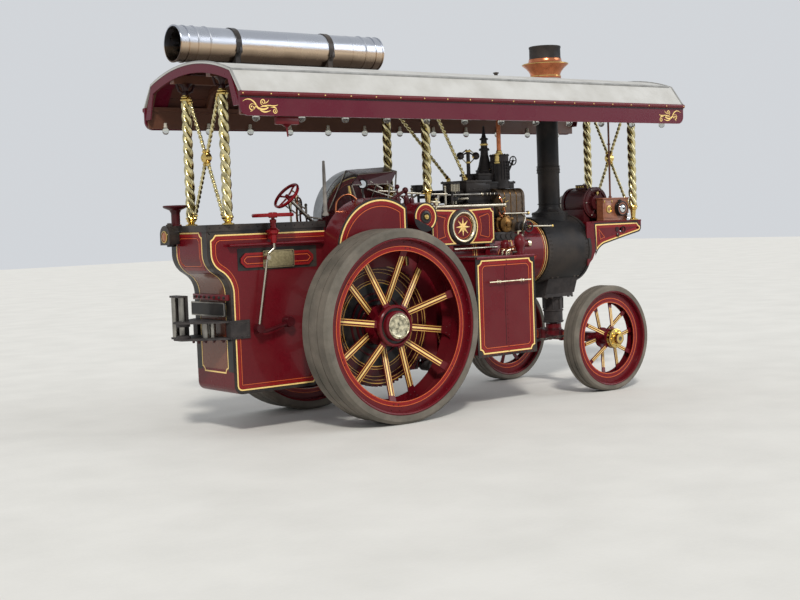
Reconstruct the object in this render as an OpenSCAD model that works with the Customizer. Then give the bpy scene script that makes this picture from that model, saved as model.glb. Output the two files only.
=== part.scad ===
// Steam traction engine of the travelling fair type, with a full length canopy.
// Millimetres, X forward, Y to the engine's left, Z up, ground at Z = 0.
// The origin is midway between the rear rollers and the canopy's front edge.

/* [Wheels] */
// Place of the rear axle along the engine
rear_axle_x = -1220; // [-1260:5:-1180]
// Distance between the two axles
wheelbase = 3120; // [3060:10:3200]
// Diameter of the rear wheels over the rubber
rear_wheel_d = 2000; // [1960:10:2020]
// Width of the rear tyres
rear_tyre_w = 430; // [400:5:440]
// Thickness of the rear rubber
rear_tyre_t = 92; // [80:1:100]
// Distance between the middles of the rear tyres
rear_track = 1724; // [1720:2:1760]
// Diameter of the front wheels over the rubber
front_wheel_d = 1228; // [1200:4:1240]
// Width of the front tyres
front_tyre_w = 210; // [190:2:220]
// Thickness of the front rubber
front_tyre_t = 62; // [50:1:70]
// Distance between the middles of the front tyres
front_track = 1750; // [1730:2:1770]
// Spokes of a rear wheel
rear_spokes = 12; // [10:2:14]
// Spokes of a front wheel
front_spokes = 10; // [8:2:12]
// Depth of the rear hub's end behind the outer face of its wheel
rear_cap_in = 104; // [90:1:115]
// How far the front hub's brass nose stands out of its wheel
front_cap_out = 124; // [110:1:130]

/* [Boiler] */
// Height of the boiler's middle line
boiler_z = 1650; // [1640:5:1670]
// Diameter of the boiler barrel
barrel_d = 760; // [740:5:770]
// Diameter of the smokebox
smokebox_d = 810; // [800:5:830]
// Length of the smokebox
smokebox_len = 700; // [680:10:720]
// Distance of the smokebox's back end behind the front axle
smokebox_setback = 420; // [400:10:440]
// Thickness of the smokebox plates
smokebox_wall = 14; // [10:1:18]
// Length of the firebox
firebox_len = 740; // [720:10:760]
// Distance of the firebox's back plate ahead of the rear axle
firebox_ahead = 240; // [230:5:260]
// Drop of the firebox's crown below the middle line of the barrel's arch
firebox_low = 60; // [50:5:80]
// Height of the firebox's bottom
firebox_z0 = 560; // [540:5:600]
// Width over the side plates that carry the shafts
horn_span = 720; // [710:5:730]
// Thickness of those side plates
horn_t = 20; // [16:1:24]
// Height of the side plates' top
horn_top = 2215; // [2200:5:2240]

/* [Chimney] */
// Outer diameter of the chimney
chimney_d = 262; // [240:2:280]
// Thickness of the chimney's plate
chimney_wall = 9; // [6:1:14]
// Height of the chimney's top
chimney_top = 4100; // [4080:5:4130]
// Widest diameter of the copper cap
cap_d = 480; // [460:5:500]
// Height of the copper cap
cap_h = 264; // [250:2:266]
// Height of the black crown over it
crown_h = 125; // [115:1:130]
// Diameter of the spare chimney length on the roof
extension_d = 364; // [350:2:380]
// Its length
extension_len = 2520; // [2480:10:2560]
// Its distance to the left of the middle line
extension_y = 250; // [240:5:270]
// Thickness of its plate
extension_wall = 8; // [6:1:12]

/* [Canopy] */
// Length of the canopy
canopy_len = 6250; // [6200:10:6300]
// Distance of its back edge behind the rear axle
canopy_behind = 1780; // [1740:10:1800]
// Width over the side boards
canopy_w = 1936; // [1900:4:1960]
// Height of the side boards' lower edge
board_z0 = 3117; // [3100:1:3130]
// Depth of the side boards
board_h = 230; // [220:2:240]
// Thickness of the side boards
board_t = 26; // [20:1:32]
// Height of the roof's crest
roof_crest = 3706; // [3695:1:3720]
// Half width of the roof at its shoulders
shoulder_y = 800; // [780:5:820]
// Height of the shoulders
shoulder_z = 3570; // [3560:2:3580]
// Thickness of the roof
roof_t = 16; // [12:1:20]
// Number of cross ribs under the roof
ribs = 10; // [8:1:12]
// Outer diameter of a twisted column
column_d = 104; // [92:2:108]
// Length of one full turn of a column's strands
column_pitch = 330; // [300:10:380]

/* [Tender] */
// Distance of the tender's lower back behind the rear axle
tender_behind = 1615; // [1590:5:1625]
// Overhang of the coal bunker behind it
bunker_out = 238; // [220:2:240]
// Height of the tender's bottom
tender_z0 = 415; // [400:5:440]
// Height of the tender's top edge
tender_top = 2040; // [2030:5:2050]
// Thickness of the tender's plates
tender_wall = 12; // [8:1:16]
// Height of the footplate
footplate_z = 1130; // [1110:5:1150]

/* [Side tanks] */
// Length of the side tanks
tank_len = 820; // [790:5:830]
// Distance of the tanks' back ahead of the rear axle
tank_ahead = 1132; // [1110:2:1150]
// Width over the two tanks
tank_span = 1810; // [1780:5:1830]
// Height of the tanks' bottom
tank_z0 = 584; // [570:2:600]
// Height of the tanks' top
tank_z1 = 1622; // [1600:2:1640]

/* [Engine] */
// Distance of the crankshaft ahead of the rear axle
crank_ahead = 620; // [600:5:640]
// Height of the crankshaft
crank_z = 2110; // [2100:2:2120]
// Diameter of the crankshaft
crank_d = 90; // [80:2:100]
// Throw of the cranks
crank_throw = 82; // [70:1:90]
// Diameter of the flywheel
flywheel_d = 1120; // [1080:10:1140]
// Width of the flywheel's rim
flywheel_w = 165; // [140:5:180]
// Distance of the cylinder block's back ahead of the crankshaft
cylinder_ahead = 1385; // [1360:5:1410]
// Length of the cylinder block
cylinder_len = 410; // [390:5:430]
// Width of the cylinder block
cylinder_w = 600; // [580:5:620]
// Height of the cylinder block's top
cylinder_top = 2390; // [2380:5:2410]

/* [Steering] */
// Diameter of the steering wheel
steering_wheel_d = 330; // [300:5:360]
// Diameter of the brake handwheel
brake_wheel_d = 420; // [380:5:430]
// Thickness of the front axle beam
front_beam = 110; // [90:2:120]

/* [Fits] */
// Clearance all round a shaft that turns in its bearing
shaft_fit = 0.05; // [0.02:0.01:0.08]
// Gap between pieces that seat on each other
seat_gap = 0.3; // [0.2:0.1:0.5]
// Least gap between a turning piece and what it passes
turning_gap = 10; // [8:1:14]

/* [Hidden] */
front_axle_x = rear_axle_x + wheelbase;
rear_r = rear_wheel_d / 2;
front_r = front_wheel_d / 2;
horn_y = horn_span / 2;
firebox_x0 = rear_axle_x + firebox_ahead;
firebox_x1 = firebox_x0 + firebox_len;
smokebox_x0 = front_axle_x - smokebox_setback;
smokebox_x1 = smokebox_x0 + smokebox_len;
barrel_r = barrel_d / 2;
smokebox_r = smokebox_d / 2;
canopy_x0 = rear_axle_x - canopy_behind;
canopy_x1 = canopy_x0 + canopy_len;
canopy_y = canopy_w / 2;
board_z1 = board_z0 + board_h;
tender_x0 = rear_axle_x - tender_behind;
tender_x1 = firebox_x0 - 700;
bunker_x0 = tender_x0 - bunker_out;
tender_y = horn_y;
coping_h = 65;
coping_top = tender_top + coping_h;
tank_x0 = rear_axle_x + tank_ahead;
tank_x1 = tank_x0 + tank_len;
tank_y = tank_span / 2;
footboard_t = 26;
footboard_z = tank_z1 + footboard_t;
crank_x = rear_axle_x + crank_ahead;
cylinder_x0 = crank_x + cylinder_ahead;
cylinder_x1 = cylinder_x0 + cylinder_len;
plate_y = 404;
plate_t = 14;
ring_h = 24;
flywheel_y0 = plate_y + plate_t + ring_h + turning_gap;
bracket_y = 378;
bracket_t = 16;
bracket_top = 1972;
bracket_x0 = smokebox_x1 - 60;
bracket_x1 = smokebox_x1 + 900;
chimney_x = front_axle_x - 10;
rear_axle_d = 130;
front_stub_d = 76;
hub_end = 30;
end_play = 6;
column_y = 366;
column_top = 3370;
timber_z0 = 3540;
timber_w = 80;
timber_h = 85;
rear_wheel_w = rear_tyre_w - 20;
front_wheel_w = front_tyre_w - 14;
front_z = front_r;
rear_z = rear_r;
kingpin_d = 90;
round_fn = 96;
fine_fn = 48;
small_fn = 24;

// Points of an arc round c from angle a0 to a1
function arc(c, r, a0, a1, n = 10) =
    [for (i = [0:n]) c + r * [cos(a0 + (a1 - a0) * i / n), sin(a0 + (a1 - a0) * i / n)]];

// A shape on both sides of the engine
module both_sides() {
    children();
    mirror([0, 1, 0]) children();
}

// A side view profile, X and Z, as thick as from y0 to y1
module side_plate(y0, y1) {
    translate([0, y1, 0]) rotate([90, 0, 0]) linear_extrude(y1 - y0) children();
}

// A cross section, Y and Z, from x0 to x1
module cross_section(x0, x1) {
    translate([x0, 0, 0]) rotate([90, 0, 90]) linear_extrude(x1 - x0) children();
}

// A cylinder along X
module along_x(x0, x1, d, y = 0, z = 0, fn = round_fn) {
    translate([x0, y, z]) rotate([0, 90, 0]) cylinder(d = d, h = x1 - x0, $fn = fn);
}

// A cylinder along Y
module along_y(y0, y1, d, x = 0, z = 0, fn = round_fn) {
    translate([x, y0, z]) rotate([-90, 0, 0]) cylinder(d = d, h = y1 - y0, $fn = fn);
}

// A cylinder along Z
module along_z(z0, z1, d, x = 0, y = 0, fn = fine_fn) {
    translate([x, y, z0]) cylinder(d = d, h = z1 - z0, $fn = fn);
}

// A block between two corners
module block(low, high) {
    translate(low) cube(high - low);
}

// A round rod between two points
module rod(from, to, d, fn = small_fn) {
    v = to - from;
    translate(from)
        rotate([0, acos(v[2] / norm(v)), atan2(v[1], v[0])])
            cylinder(d = d, h = norm(v), $fn = fn);
}

// A rectangle with round corners, from its low corner to its high corner
module round_rect(low, high, r) {
    translate(low + [r, 0]) square(high - low - [2 * r, 0]);
    translate(low + [0, r]) square(high - low - [0, 2 * r]);
    for (x = [low[0] + r, high[0] - r])
        for (y = [low[1] + r, high[1] - r])
            translate([x, y]) circle(r, $fn = fine_fn);
}

// A profile of radius and distance turned round the Y axis
module turned_y() {
    rotate([90, 0, 0]) rotate_extrude($fn = round_fn) children();
}

// Firebox with its round top, and the side plates that carry the shafts
module hornplate_outline() {
    x1 = firebox_x1 + 20;
    difference() {
        polygon(concat(
            [[x1, boiler_z - 100], [x1, horn_top]],
            arc([crank_x - 420, horn_top - 90], 90, 90, 130, 6),
            [[tender_x1, tender_top - 90], [tender_x1, 640], [firebox_x0, 640],
                [firebox_x0 + 60, firebox_z0], [x1 - 20, firebox_z0]]));
        translate([crank_x, crank_z]) circle(d = crank_d + 2 * shaft_fit, $fn = round_fn);
        translate([rear_axle_x, rear_z])
            circle(d = rear_axle_d + 2 * seat_gap, $fn = round_fn);
    }
}

module ash_pan() {
    side = horn_y - horn_t - 50;
    difference() {
        cross_section(firebox_x0 + 80, firebox_x1 - 40)
            polygon([[-side, firebox_z0 + 1], [side, firebox_z0 + 1], [side - 60, firebox_z0 - 130],
                [60 - side, firebox_z0 - 130]]);
        block([chain_shaft[0] - 70, -side - 1, firebox_z0 - 131], [firebox_x1, side + 1,
            firebox_z0 + 2]);
    }
}

module firebox_and_hornplates() {
    color("maroon") {
        cross_section(firebox_x0, firebox_x1) {
            translate([horn_t - horn_y, firebox_z0])
                square([2 * (horn_y - horn_t), boiler_z - firebox_low - firebox_z0]);
            translate([0, boiler_z - firebox_low]) circle(horn_y - horn_t, $fn = round_fn);
        }
        both_sides() {
            difference() {
                side_plate(-horn_y, horn_t - horn_y) hornplate_outline();
                along_x(firebox_x1, firebox_x1 + 21, barrel_d + 2 * band_up + 2 * seat_gap, 0,
                    boiler_z);
            }
            difference() {
                along_y(-horn_y - 36, -horn_y, 180, crank_x, crank_z);
                along_y(-horn_y - 37, -horn_y + 1, crank_d + 2 * shaft_fit, crank_x, crank_z);
            }
        }
        difference() {
            block([tender_x1, horn_t - horn_y, footplate_z - 20],
                [firebox_x0, horn_y - horn_t, footplate_z]);
            along_y(-horn_y, horn_y, rear_axle_d + 4 * turning_gap, rear_axle_x, rear_z);
        }
        ash_pan();
        along_x(firebox_x0 - 14, firebox_x0, 340, 0, boiler_z - 180);
    }
}

// Boiler barrel in its lagging sheet, with the bands that hold it
band_up = 4;
module boiler_barrel() {
    band_w = 46;
    first = firebox_x1 + 12;
    last = smokebox_x0 - band_w - 6;
    color("maroon") {
        along_x(firebox_x1, smokebox_x0, barrel_d, 0, boiler_z);
        for (i = [0:3])
            translate([first + i * (last - first) / 3, 0, 0])
                along_x(0, band_w, barrel_d + 2 * band_up, 0, boiler_z);
    }
}

// Smokebox, a drum with a ring for its door
module smokebox() {
    door_hole = smokebox_door_d - 40;
    color("dimgray") {
        for (z = [hinge_z, -hinge_z - hinge_lug])
            block([smokebox_x1, door_hinge[1] - 16, boiler_z + z],
                [door_hinge[0] + 14, door_hinge[1] + 16, boiler_z + z + hinge_lug]);
        along_z(boiler_z - hinge_z, boiler_z + hinge_z, hinge_pin_d, door_hinge[0],
            door_hinge[1], small_fn);
    }
    color("dimgray") difference() {
        union() {
            along_x(smokebox_x0, smokebox_x1, smokebox_d, 0, boiler_z);
            along_x(smokebox_x1 - ring_len, smokebox_x1, smokebox_d + 2 * ring_up, 0, boiler_z);
        }
        along_x(smokebox_x0 + smokebox_wall, smokebox_x1 - smokebox_wall,
            smokebox_d - 2 * smokebox_wall, 0, boiler_z);
        along_x(smokebox_x1 - 2 * smokebox_wall, smokebox_x1 + 1, door_hole, 0, boiler_z);
        along_z(boiler_z, boiler_z + smokebox_r + 10, chimney_d - 2 * chimney_wall, chimney_x);
    }
}

// Dished smokebox door with its straps and its locking handles
smokebox_door_d = 596;
ring_len = 40;
ring_up = 8;
hinge_z = 126;
hinge_lug = 20;
hinge_pin_d = 16;
door_hinge = [smokebox_x1 + 20, smokebox_door_d / 2 + 18];
module smokebox_door() {
    face = smokebox_x1 + 1;
    edge_t = 14;
    rise = 32;
    r = smokebox_door_d / 2;
    dish_r = (r * r + rise * rise) / (2 * rise);
    strap_h = 36;
    color("dimgray") {
        translate([face, 0, boiler_z]) rotate([0, 90, 0])
            rotate_extrude($fn = round_fn)
                intersection() {
                    square([r, edge_t + rise + 1]);
                    translate([0, edge_t + rise - dish_r]) circle(dish_r, $fn = 360);
                }
        along_x(face + 40, face + 90, 70, 0, boiler_z, fine_fn);
        rod([face + 72, -8, boiler_z], [face + 78, -130, boiler_z - 96], 22);
        rod([face + 72, 8, boiler_z], [face + 78, 120, boiler_z - 110], 22);
        difference() {
            for (z = [hinge_z - strap_h - 1, 1 - hinge_z]) translate([0, 0, boiler_z + z]) {
                block([face, 60, 0], [face + 36, door_hinge[1], strap_h]);
                along_z(0, strap_h, 36, door_hinge[0], door_hinge[1]);
            }
            along_z(boiler_z - hinge_z, boiler_z + hinge_z, hinge_pin_d + 2 * shaft_fit,
                door_hinge[0], door_hinge[1], fine_fn);
        }
    }
}

// Chimney on its saddle, through the roof and up to its black crown
module chimney() {
    r = chimney_d / 2;
    saddle_z = boiler_z + smokebox_r + 50;
    saddle_r = r + 84;
    band_z = saddle_z + 480;
    color("dimgray") difference() {
        union() {
            along_z(boiler_z + 240, saddle_z, 2 * saddle_r, chimney_x, 0, round_fn);
            translate([chimney_x, 0, saddle_z])
                rotate_extrude($fn = round_fn)
                    polygon(concat([[0, 0]], arc([saddle_r, 90], 90, -90, -180, 8), [[0, 90]]));
            along_z(saddle_z, chimney_top - 4, chimney_d, chimney_x, 0, round_fn);
            translate([chimney_x, 0, chimney_top - crown_h])
                rotate_extrude($fn = round_fn)
                    polygon([[0, 0], [r + 28, 0], [r + 36, 14], [r + 30, crown_h - 25],
                        [r + 38, crown_h - 13], [r + 30, crown_h], [0, crown_h]]);
            along_z(band_z, band_z + 60, chimney_d + 16, chimney_x, 0, round_fn);
        }
        along_x(smokebox_x0 - 20, smokebox_x1 + 20, smokebox_d + 2 * seat_gap, 0, boiler_z);
        along_z(boiler_z + 200, chimney_top + 10, chimney_d - 2 * chimney_wall, chimney_x, 0,
            round_fn);
    }
}

// Flared copper cap round the chimney's top
module chimney_cap() {
    r = chimney_d / 2 + seat_gap;
    z1 = chimney_top - crown_h - seat_gap;
    z0 = z1 - cap_h;
    flare = cap_d / 2;
    color("chocolate") translate([chimney_x, 0, 0])
        rotate_extrude($fn = round_fn)
            polygon(concat(
                [[r, z0], [r + 40, z0], [r + 44, z0 + 12], [r + 36, z0 + 24]],
                arc([flare, z0 + 92], flare - r - 34, 180, 105, 8),
                [[flare, z1 - 62], [flare - 4, z1 - 50]],
                arc([flare - 20, z1 + 4], flare - r - 52, 240, 190, 6),
                [[r + 30, z1], [r, z1]]));
}

// Spare chimney length, a polished tube carried on the roof
extension_x0 = canopy_x0 - 15;
extension_z = roof_crest + 42 + extension_d / 2;
module chimney_extension() {
    bore = extension_d - 2 * extension_wall;
    color("silver") difference() {
        union() {
            along_x(extension_x0, extension_x0 + extension_len, extension_d, extension_y,
                extension_z);
            for (x = [4, 96, extension_len - 108, extension_len - 16])
                along_x(extension_x0 + x, extension_x0 + x + 12, extension_d + 14, extension_y,
                    extension_z);
        }
        along_x(extension_x0 - 1, extension_x0 + extension_len + 1, bore, extension_y,
            extension_z);
    }
}

// Black straps round the tube, with the cradles that stand on the roof
strap_places = [0.252, 0.708];
strap_w = 60;
module extension_straps() {
    foot_y = 150;
    color("dimgray") for (share = strap_places)
        translate([extension_x0 + share * extension_len, 0, 0]) difference() {
            union() {
                along_x(0, strap_w, extension_d + 18, extension_y, extension_z);
                block([0, extension_y - foot_y, shoulder_z], [strap_w, extension_y + foot_y,
                    extension_z - 70]);
            }
            along_x(-1, strap_w + 1, extension_d + 2 * seat_gap, extension_y, extension_z);
            translate([-1, 0, 0]) cross_section(0, strap_w + 2) roof_section(-seat_gap);
        }
}

// Cross section under the roof's outer surface, less an even skin
roof_rise = roof_crest - shoulder_z;
roof_r = (shoulder_y * shoulder_y + roof_rise * roof_rise) / (2 * roof_rise);
module roof_section(skin) {
    low = board_z1 - 60;
    side = canopy_y - skin * 1.25;
    intersection() {
        translate([0, roof_crest - roof_r]) circle(roof_r - skin, $fn = 360);
        polygon([[-side, low], [-side, board_z1], [-shoulder_y + skin * 0.4, shoulder_z - skin * 0.6],
            [-shoulder_y + skin * 0.4, roof_crest + 40], [shoulder_y - skin * 0.4, roof_crest + 40],
            [shoulder_y - skin * 0.4, shoulder_z - skin * 0.6], [side, board_z1], [side, low]]);
    }
}

// Arched roof with a steep strip along each side
module canopy_roof() {
    color("lightgray") difference() {
        cross_section(canopy_x0, canopy_x1) difference() {
            roof_section(0);
            roof_section(roof_t);
            translate([-canopy_y - 1, board_z1 - 61]) square([2 * canopy_y + 2, 61]);
        }
        along_z(shoulder_z, roof_crest + 20, chimney_d + 50, chimney_x, 0, round_fn);
    }
}

// Long timbers and side rails under the roof, as much larger all round as grow
frame_end = 20;
module long_rails(grow) {
    rail_t = 34;
    y = board_t + seat_gap - canopy_y;
    x0 = canopy_x0 + frame_end - grow;
    x1 = canopy_x1 - frame_end + grow;
    both_sides() {
        block([x0, -column_y - timber_w / 2 - grow, timber_z0 - grow],
            [x1, timber_w / 2 - column_y + grow, timber_z0 + timber_h + grow]);
        block([x0, y - grow, board_z0 + 12], [x1, y - seat_gap + rail_t + grow, board_z1 - 10]);
        block([x0, y + 4 - grow, board_z1 - 40], [x1, y - seat_gap + rail_t + 26 + grow,
            board_z1 + 6 + grow]);
    }
}

module canopy_frame() {
    color("saddlebrown") long_rails(0);
}

// Arched ribs that sit on the long rails
rib_t = 44;
module canopy_ribs() {
    rib_drop = 62;
    inner = roof_t + seat_gap;
    color("sienna") difference() {
        for (i = [0:ribs - 1])
            translate([canopy_x0 + frame_end + 1 + i * (canopy_len - 2 * frame_end - 2 - rib_t)
                / (ribs - 1), 0, 0])
                cross_section(0, rib_t) difference() {
                    roof_section(inner);
                    roof_section(inner + rib_drop);
                    translate([-canopy_y, 0]) square([canopy_w, board_z1 + 2]);
                }
        long_rails(seat_gap);
        along_z(board_z1, roof_crest + 20, chimney_d + 50, chimney_x, 0, round_fn);
    }
}

// Painted side boards with round lower corners
module canopy_boards() {
    corner_r = 90;
    color("maroon") both_sides() side_plate(-canopy_y, board_t - canopy_y) {
        round_rect([canopy_x0, board_z0], [canopy_x1, board_z1 - seat_gap], corner_r);
        translate([canopy_x0, board_z0 + corner_r + 20])
            square([canopy_len, board_h - corner_r - 20 - seat_gap]);
    }
}

// Each row: place along the engine, half spacing, foot height, height of the lower collar
column_rows = [
    [tender_x0 + 5, column_y, coping_top, 2180],
    [crank_x + 312, column_y - 16, horn_top, 2392],
    [bracket_x1 - 120, column_y + 12, bracket_top, 2138]
];

// Three strands in one outline, twisted as they rise
module twisted_bar(h, d, pitch) {
    strands = 3;
    points = 4 * strands;
    turns = h / pitch;
    linear_extrude(height = h, twist = -360 * turns, slices = round(turns * 10), segments = points)
        polygon([for (i = [0:points - 1])
            d / 2 * (0.84 + 0.16 * cos(strands * i * 360 / points))
                * [cos(i * 360 / points), sin(i * 360 / points)]]);
}

// Twisted column between its collars, on a plain spindle
module twisted_column(foot, collar, top) {
    r = column_d / 2;
    spindle = 46;
    along_z(foot, collar, spindle);
    translate([0, 0, collar - 46]) rotate_extrude($fn = fine_fn)
        polygon([[0, 0], [r * 0.72, 0], [r * 1.02, 10], [r * 0.8, 24], [r * 1.05, 38], [r * 0.7, 50],
            [0, 50]]);
    translate([0, 0, collar]) twisted_bar(top - collar, column_d, column_pitch);
    translate([0, 0, top - 4]) rotate_extrude($fn = fine_fn)
        polygon([[0, 0], [r * 0.7, 0], [r * 1.05, 12], [r * 0.8, 26], [r * 1.02, 40], [r * 0.72, 52],
            [0, 52]]);
    along_z(top + 40, timber_z0, spindle);
    along_z(timber_z0 - 26, timber_z0, 1.4 * column_d);
}

module canopy_columns() {
    color("goldenrod") both_sides() for (row = column_rows)
        translate([row[0], -row[1], 0]) twisted_column(row[2], row[3], column_top);
}

// Thin braces that cross between the columns, with a boss where they meet
brace_d = 38;
module brace(from, to) {
    rod(from, to, brace_d);
}

module column_braces() {
    collar_r = column_d / 2 * 1.05 + seat_gap;
    low = -8;
    high = 8;
    pin = 26;
    foot_h = brace_d / 2 + 12;
    chest_foot = [cylinder_x0 - 350, 150, steam_chest_low + 118];
    color("goldenrod") {
        for (row = [column_rows[0], column_rows[2]]) {
            x = row[0];
            y = row[1] - collar_r;
            both_sides() {
                brace([x, -y + pin, row[3] + low], [x, y - pin, column_top + high]);
                along_y(-y, -y + pin + 4, 24, x, row[3] + low, small_fn);
                along_y(-y, -y + pin + 4, 24, x, column_top + high, small_fn);
            }
            along_x(x - 24, x + 24, 70, 0, (row[3] + column_top) / 2, fine_fn);
        }
        both_sides() {
            x = column_rows[1][0] + collar_r;
            y = -column_rows[1][1];
            along_x(x, x + pin + 4, 24, y, column_top + high, small_fn);
            brace([x + pin, y, column_top + high], [chest_foot[0], -chest_foot[1],
                chest_foot[2] + foot_h]);
            block([chest_foot[0] - 24, -chest_foot[1] - 24, chest_foot[2] + seat_gap],
                [chest_foot[0] + 24, 24 - chest_foot[1], chest_foot[2] + foot_h]);
        }
    }
}

// Side view of the tender, with the curve under the overhanging bunker
module tender_outline() {
    s_mid = 1620;
    s_half = 200;
    turn = 2 * atan(bunker_out / (2 * s_half));
    s_r = s_half / sin(turn);
    polygon(concat(
        [[tender_x1, tender_z0 + 200], [tender_x1, tender_top], [bunker_x0, tender_top]],
        arc([bunker_x0 + s_r, s_mid + s_half], s_r, 180, 180 + turn),
        arc([tender_x0 - s_r, s_mid - s_half], s_r, turn, 0),
        arc([tender_x0 + 90, tender_z0 + 90], 90, 180, 270, 6),
        [[tender_x1 - 200, tender_z0]]));
}

module tender() {
    inside = tender_y - tender_wall;
    bulkhead_x = tender_x1 - 590;
    bunker_floor = 1500;
    color("maroon") difference() {
        side_plate(-tender_y, tender_y) tender_outline();
        block([bunker_x0 + tender_wall, -inside, 1840], [bulkhead_x, inside, tender_top + 1]);
        block([tender_x0 + tender_wall, -inside, bunker_floor], [bulkhead_x, inside, 1841]);
        block([bulkhead_x + tender_wall, -inside, footplate_z], [tender_x1 + 1, inside,
            tender_top + 1]);
        block([bulkhead_x + 40, inside - 1, footplate_z + 160], [bulkhead_x + 520, tender_y + 1,
            tender_top + 1]);
    }
}

// Black rail round the tender's top edge
module tender_coping() {
    over = 14;
    bulkhead_x = tender_x1 - 590;
    color("dimgray") difference() {
        block([bunker_x0 - over, -tender_y - over, tender_top],
            [tender_x1, tender_y + over, coping_top]);
        block([bunker_x0 + 40, 40 - tender_y, tender_top - 1], [tender_x1 + 1, tender_y - 40,
            coping_top + 1]);
        block([bulkhead_x + 40, tender_y - 41, tender_top - 1], [tender_x1 + 1,
            tender_y + over + 1, coping_top + 1]);
    }
}

// Shelf along each side of the tender with the panel under it
module tender_side_shelves() {
    depth = 60;
    panel_t = 16;
    color("maroon") both_sides() {
        block([tender_x0 - 20, -tender_y - depth, 1885], [tender_x1 - 60, -tender_y, 1908]);
        along_x(tender_x0 - 20, tender_x1 - 60, 30, -tender_y - depth + 8, 1896, small_fn);
        side_plate(-tender_y - panel_t, -tender_y)
            polygon([[tender_x0 + 130, 1740], [tender_x0 + 190, 1676], [tender_x1 - 310, 1676],
                [tender_x1 - 250, 1740], [tender_x1 - 310, 1806], [tender_x0 + 190, 1806]]);
    }
}

// Rear frame with its jaw and pin hole, and the straps that tie it to the tender
drawbar_z = 1062;
drawbar_h = 184;
drawbar_out = 415;
drawbar_pin_d = 44;
drawbar_pin_x = tender_x0 - drawbar_out + 70;
jaw_h = 90;
roller_at = [tender_x0 - 295, 100];
roller_step = 150;
roller_d = 66;
roller_z0 = drawbar_z - 92;
roller_z1 = roller_z0 + 420;
module drawbar_frame() {
    strap_t = 14;
    plate_t = 18;
    frame_y = tender_y - 70;
    low = drawbar_z - drawbar_h / 2;
    high = drawbar_z + drawbar_h / 2;
    x_end = tender_x0 - drawbar_out;
    color("dimgray") difference() {
        union() {
            both_sides() {
                block([tender_x0 - 26, -tender_y - strap_t, low], [tender_x0 + 200, -tender_y,
                    high]);
                block([tender_x0 - 26, -tender_y - strap_t, low], [tender_x0, -frame_y, high]);
            }
            for (z = [low, high - plate_t]) translate([0, 0, z]) linear_extrude(plate_t)
                polygon([[tender_x0, -frame_y - 70], [tender_x0, frame_y + 70],
                    [tender_x0 - 60, frame_y + 60], [x_end + 40, 110], [x_end, 80], [x_end, -80],
                    [x_end + 40, -110], [tender_x0 - 60, -frame_y - 60]]);
            along_z(low, drawbar_z - jaw_h / 2, 140, drawbar_pin_x, 0);
            along_z(drawbar_z + jaw_h / 2, high, 140, drawbar_pin_x, 0);
            for (z = [low, roller_z1 + seat_gap]) translate([0, 0, z]) linear_extrude(plate_t)
                round_rect(roller_at - [46, 46], roller_at + [46, roller_step + 46], 40);
            block([roller_at[0] + 20, roller_at[1] - 46, low], [roller_at[0] + 46,
                roller_at[1] + roller_step + 46, roller_z1 + seat_gap + plate_t]);
        }
        along_z(low - 1, high + 1, drawbar_pin_d, drawbar_pin_x, 0, round_fn);
        for (i = [0, 1]) translate([roller_at[0], roller_at[1] + i * roller_step, 0])
            along_z(roller_z0 + plate_t, roller_z1 + seat_gap, roller_d + 8);
    }
}

// Steel rollers that lead the winding rope
module rope_rollers() {
    low = drawbar_z - drawbar_h / 2 + 18 + seat_gap;
    high = drawbar_z + drawbar_h / 2 - 18 - seat_gap;
    color("silver") {
        for (i = [0, 1])
            along_z(low, roller_z1, roller_d, roller_at[0], roller_at[1] + i * roller_step,
                fine_fn);
        for (x = [tender_x0 - 90, tender_x0 - 170])
            along_z(low, high, 70, x, -130, fine_fn);
    }
}

// Blank plate and lamp at the back
module rear_lamp_and_plate() {
    plate_z = 1195;
    color("dimgray") {
        block([tender_x0 - 60, -330, plate_z], [tender_x0 - 44, 330, plate_z + 140]);
        for (y = [-200, 160])
            block([tender_x0 - 46, y, plate_z + 50], [tender_x0, y + 40, plate_z + 80]);
        translate([bunker_x0 - 62, 240, 1900]) {
            cylinder(d = 96, h = 130, $fn = fine_fn);
            translate([0, 0, 130]) cylinder(d1 = 96, d2 = 40, h = 34, $fn = fine_fn);
            block([0, -30, 30], [62, 30, 90]);
        }
    }
}

// Water tanks on both sides, joined under the boiler
module side_tanks() {
    corner_r = 36;
    color("maroon") difference() {
        translate([0, 0, tank_z0]) linear_extrude(tank_z1 - tank_z0)
            round_rect([tank_x0, -tank_y], [tank_x1, tank_y], corner_r);
        along_x(tank_x0 - 1, tank_x1 + 1, barrel_d + 2 * seat_gap + 8, 0, boiler_z);
        block([tank_x0 - 1, -barrel_r * 0.9, boiler_z - 150], [tank_x1 + 1, barrel_r * 0.9,
            tank_z1 + 1]);
    }
}

// Boards on top of the tanks that give a walk along the boiler
module footboards() {
    over = 12;
    color("maroon") both_sides() {
        block([tank_x0 - over, -tank_y - over, tank_z1], [tank_x1 + over, -barrel_r - 6,
            footboard_z]);
        side_plate(-tank_y + 30, -tank_y + 46)
            polygon([[tank_x1 + over, footboard_z], [tank_x1 + over, footboard_z - 130],
                [tank_x1 + over + 110, footboard_z]]);
        block([tank_x1 + over, -tank_y + 20, footboard_z - 14], [tank_x1 + over + 110,
            -tank_y + 200, footboard_z]);
    }
}

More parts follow.
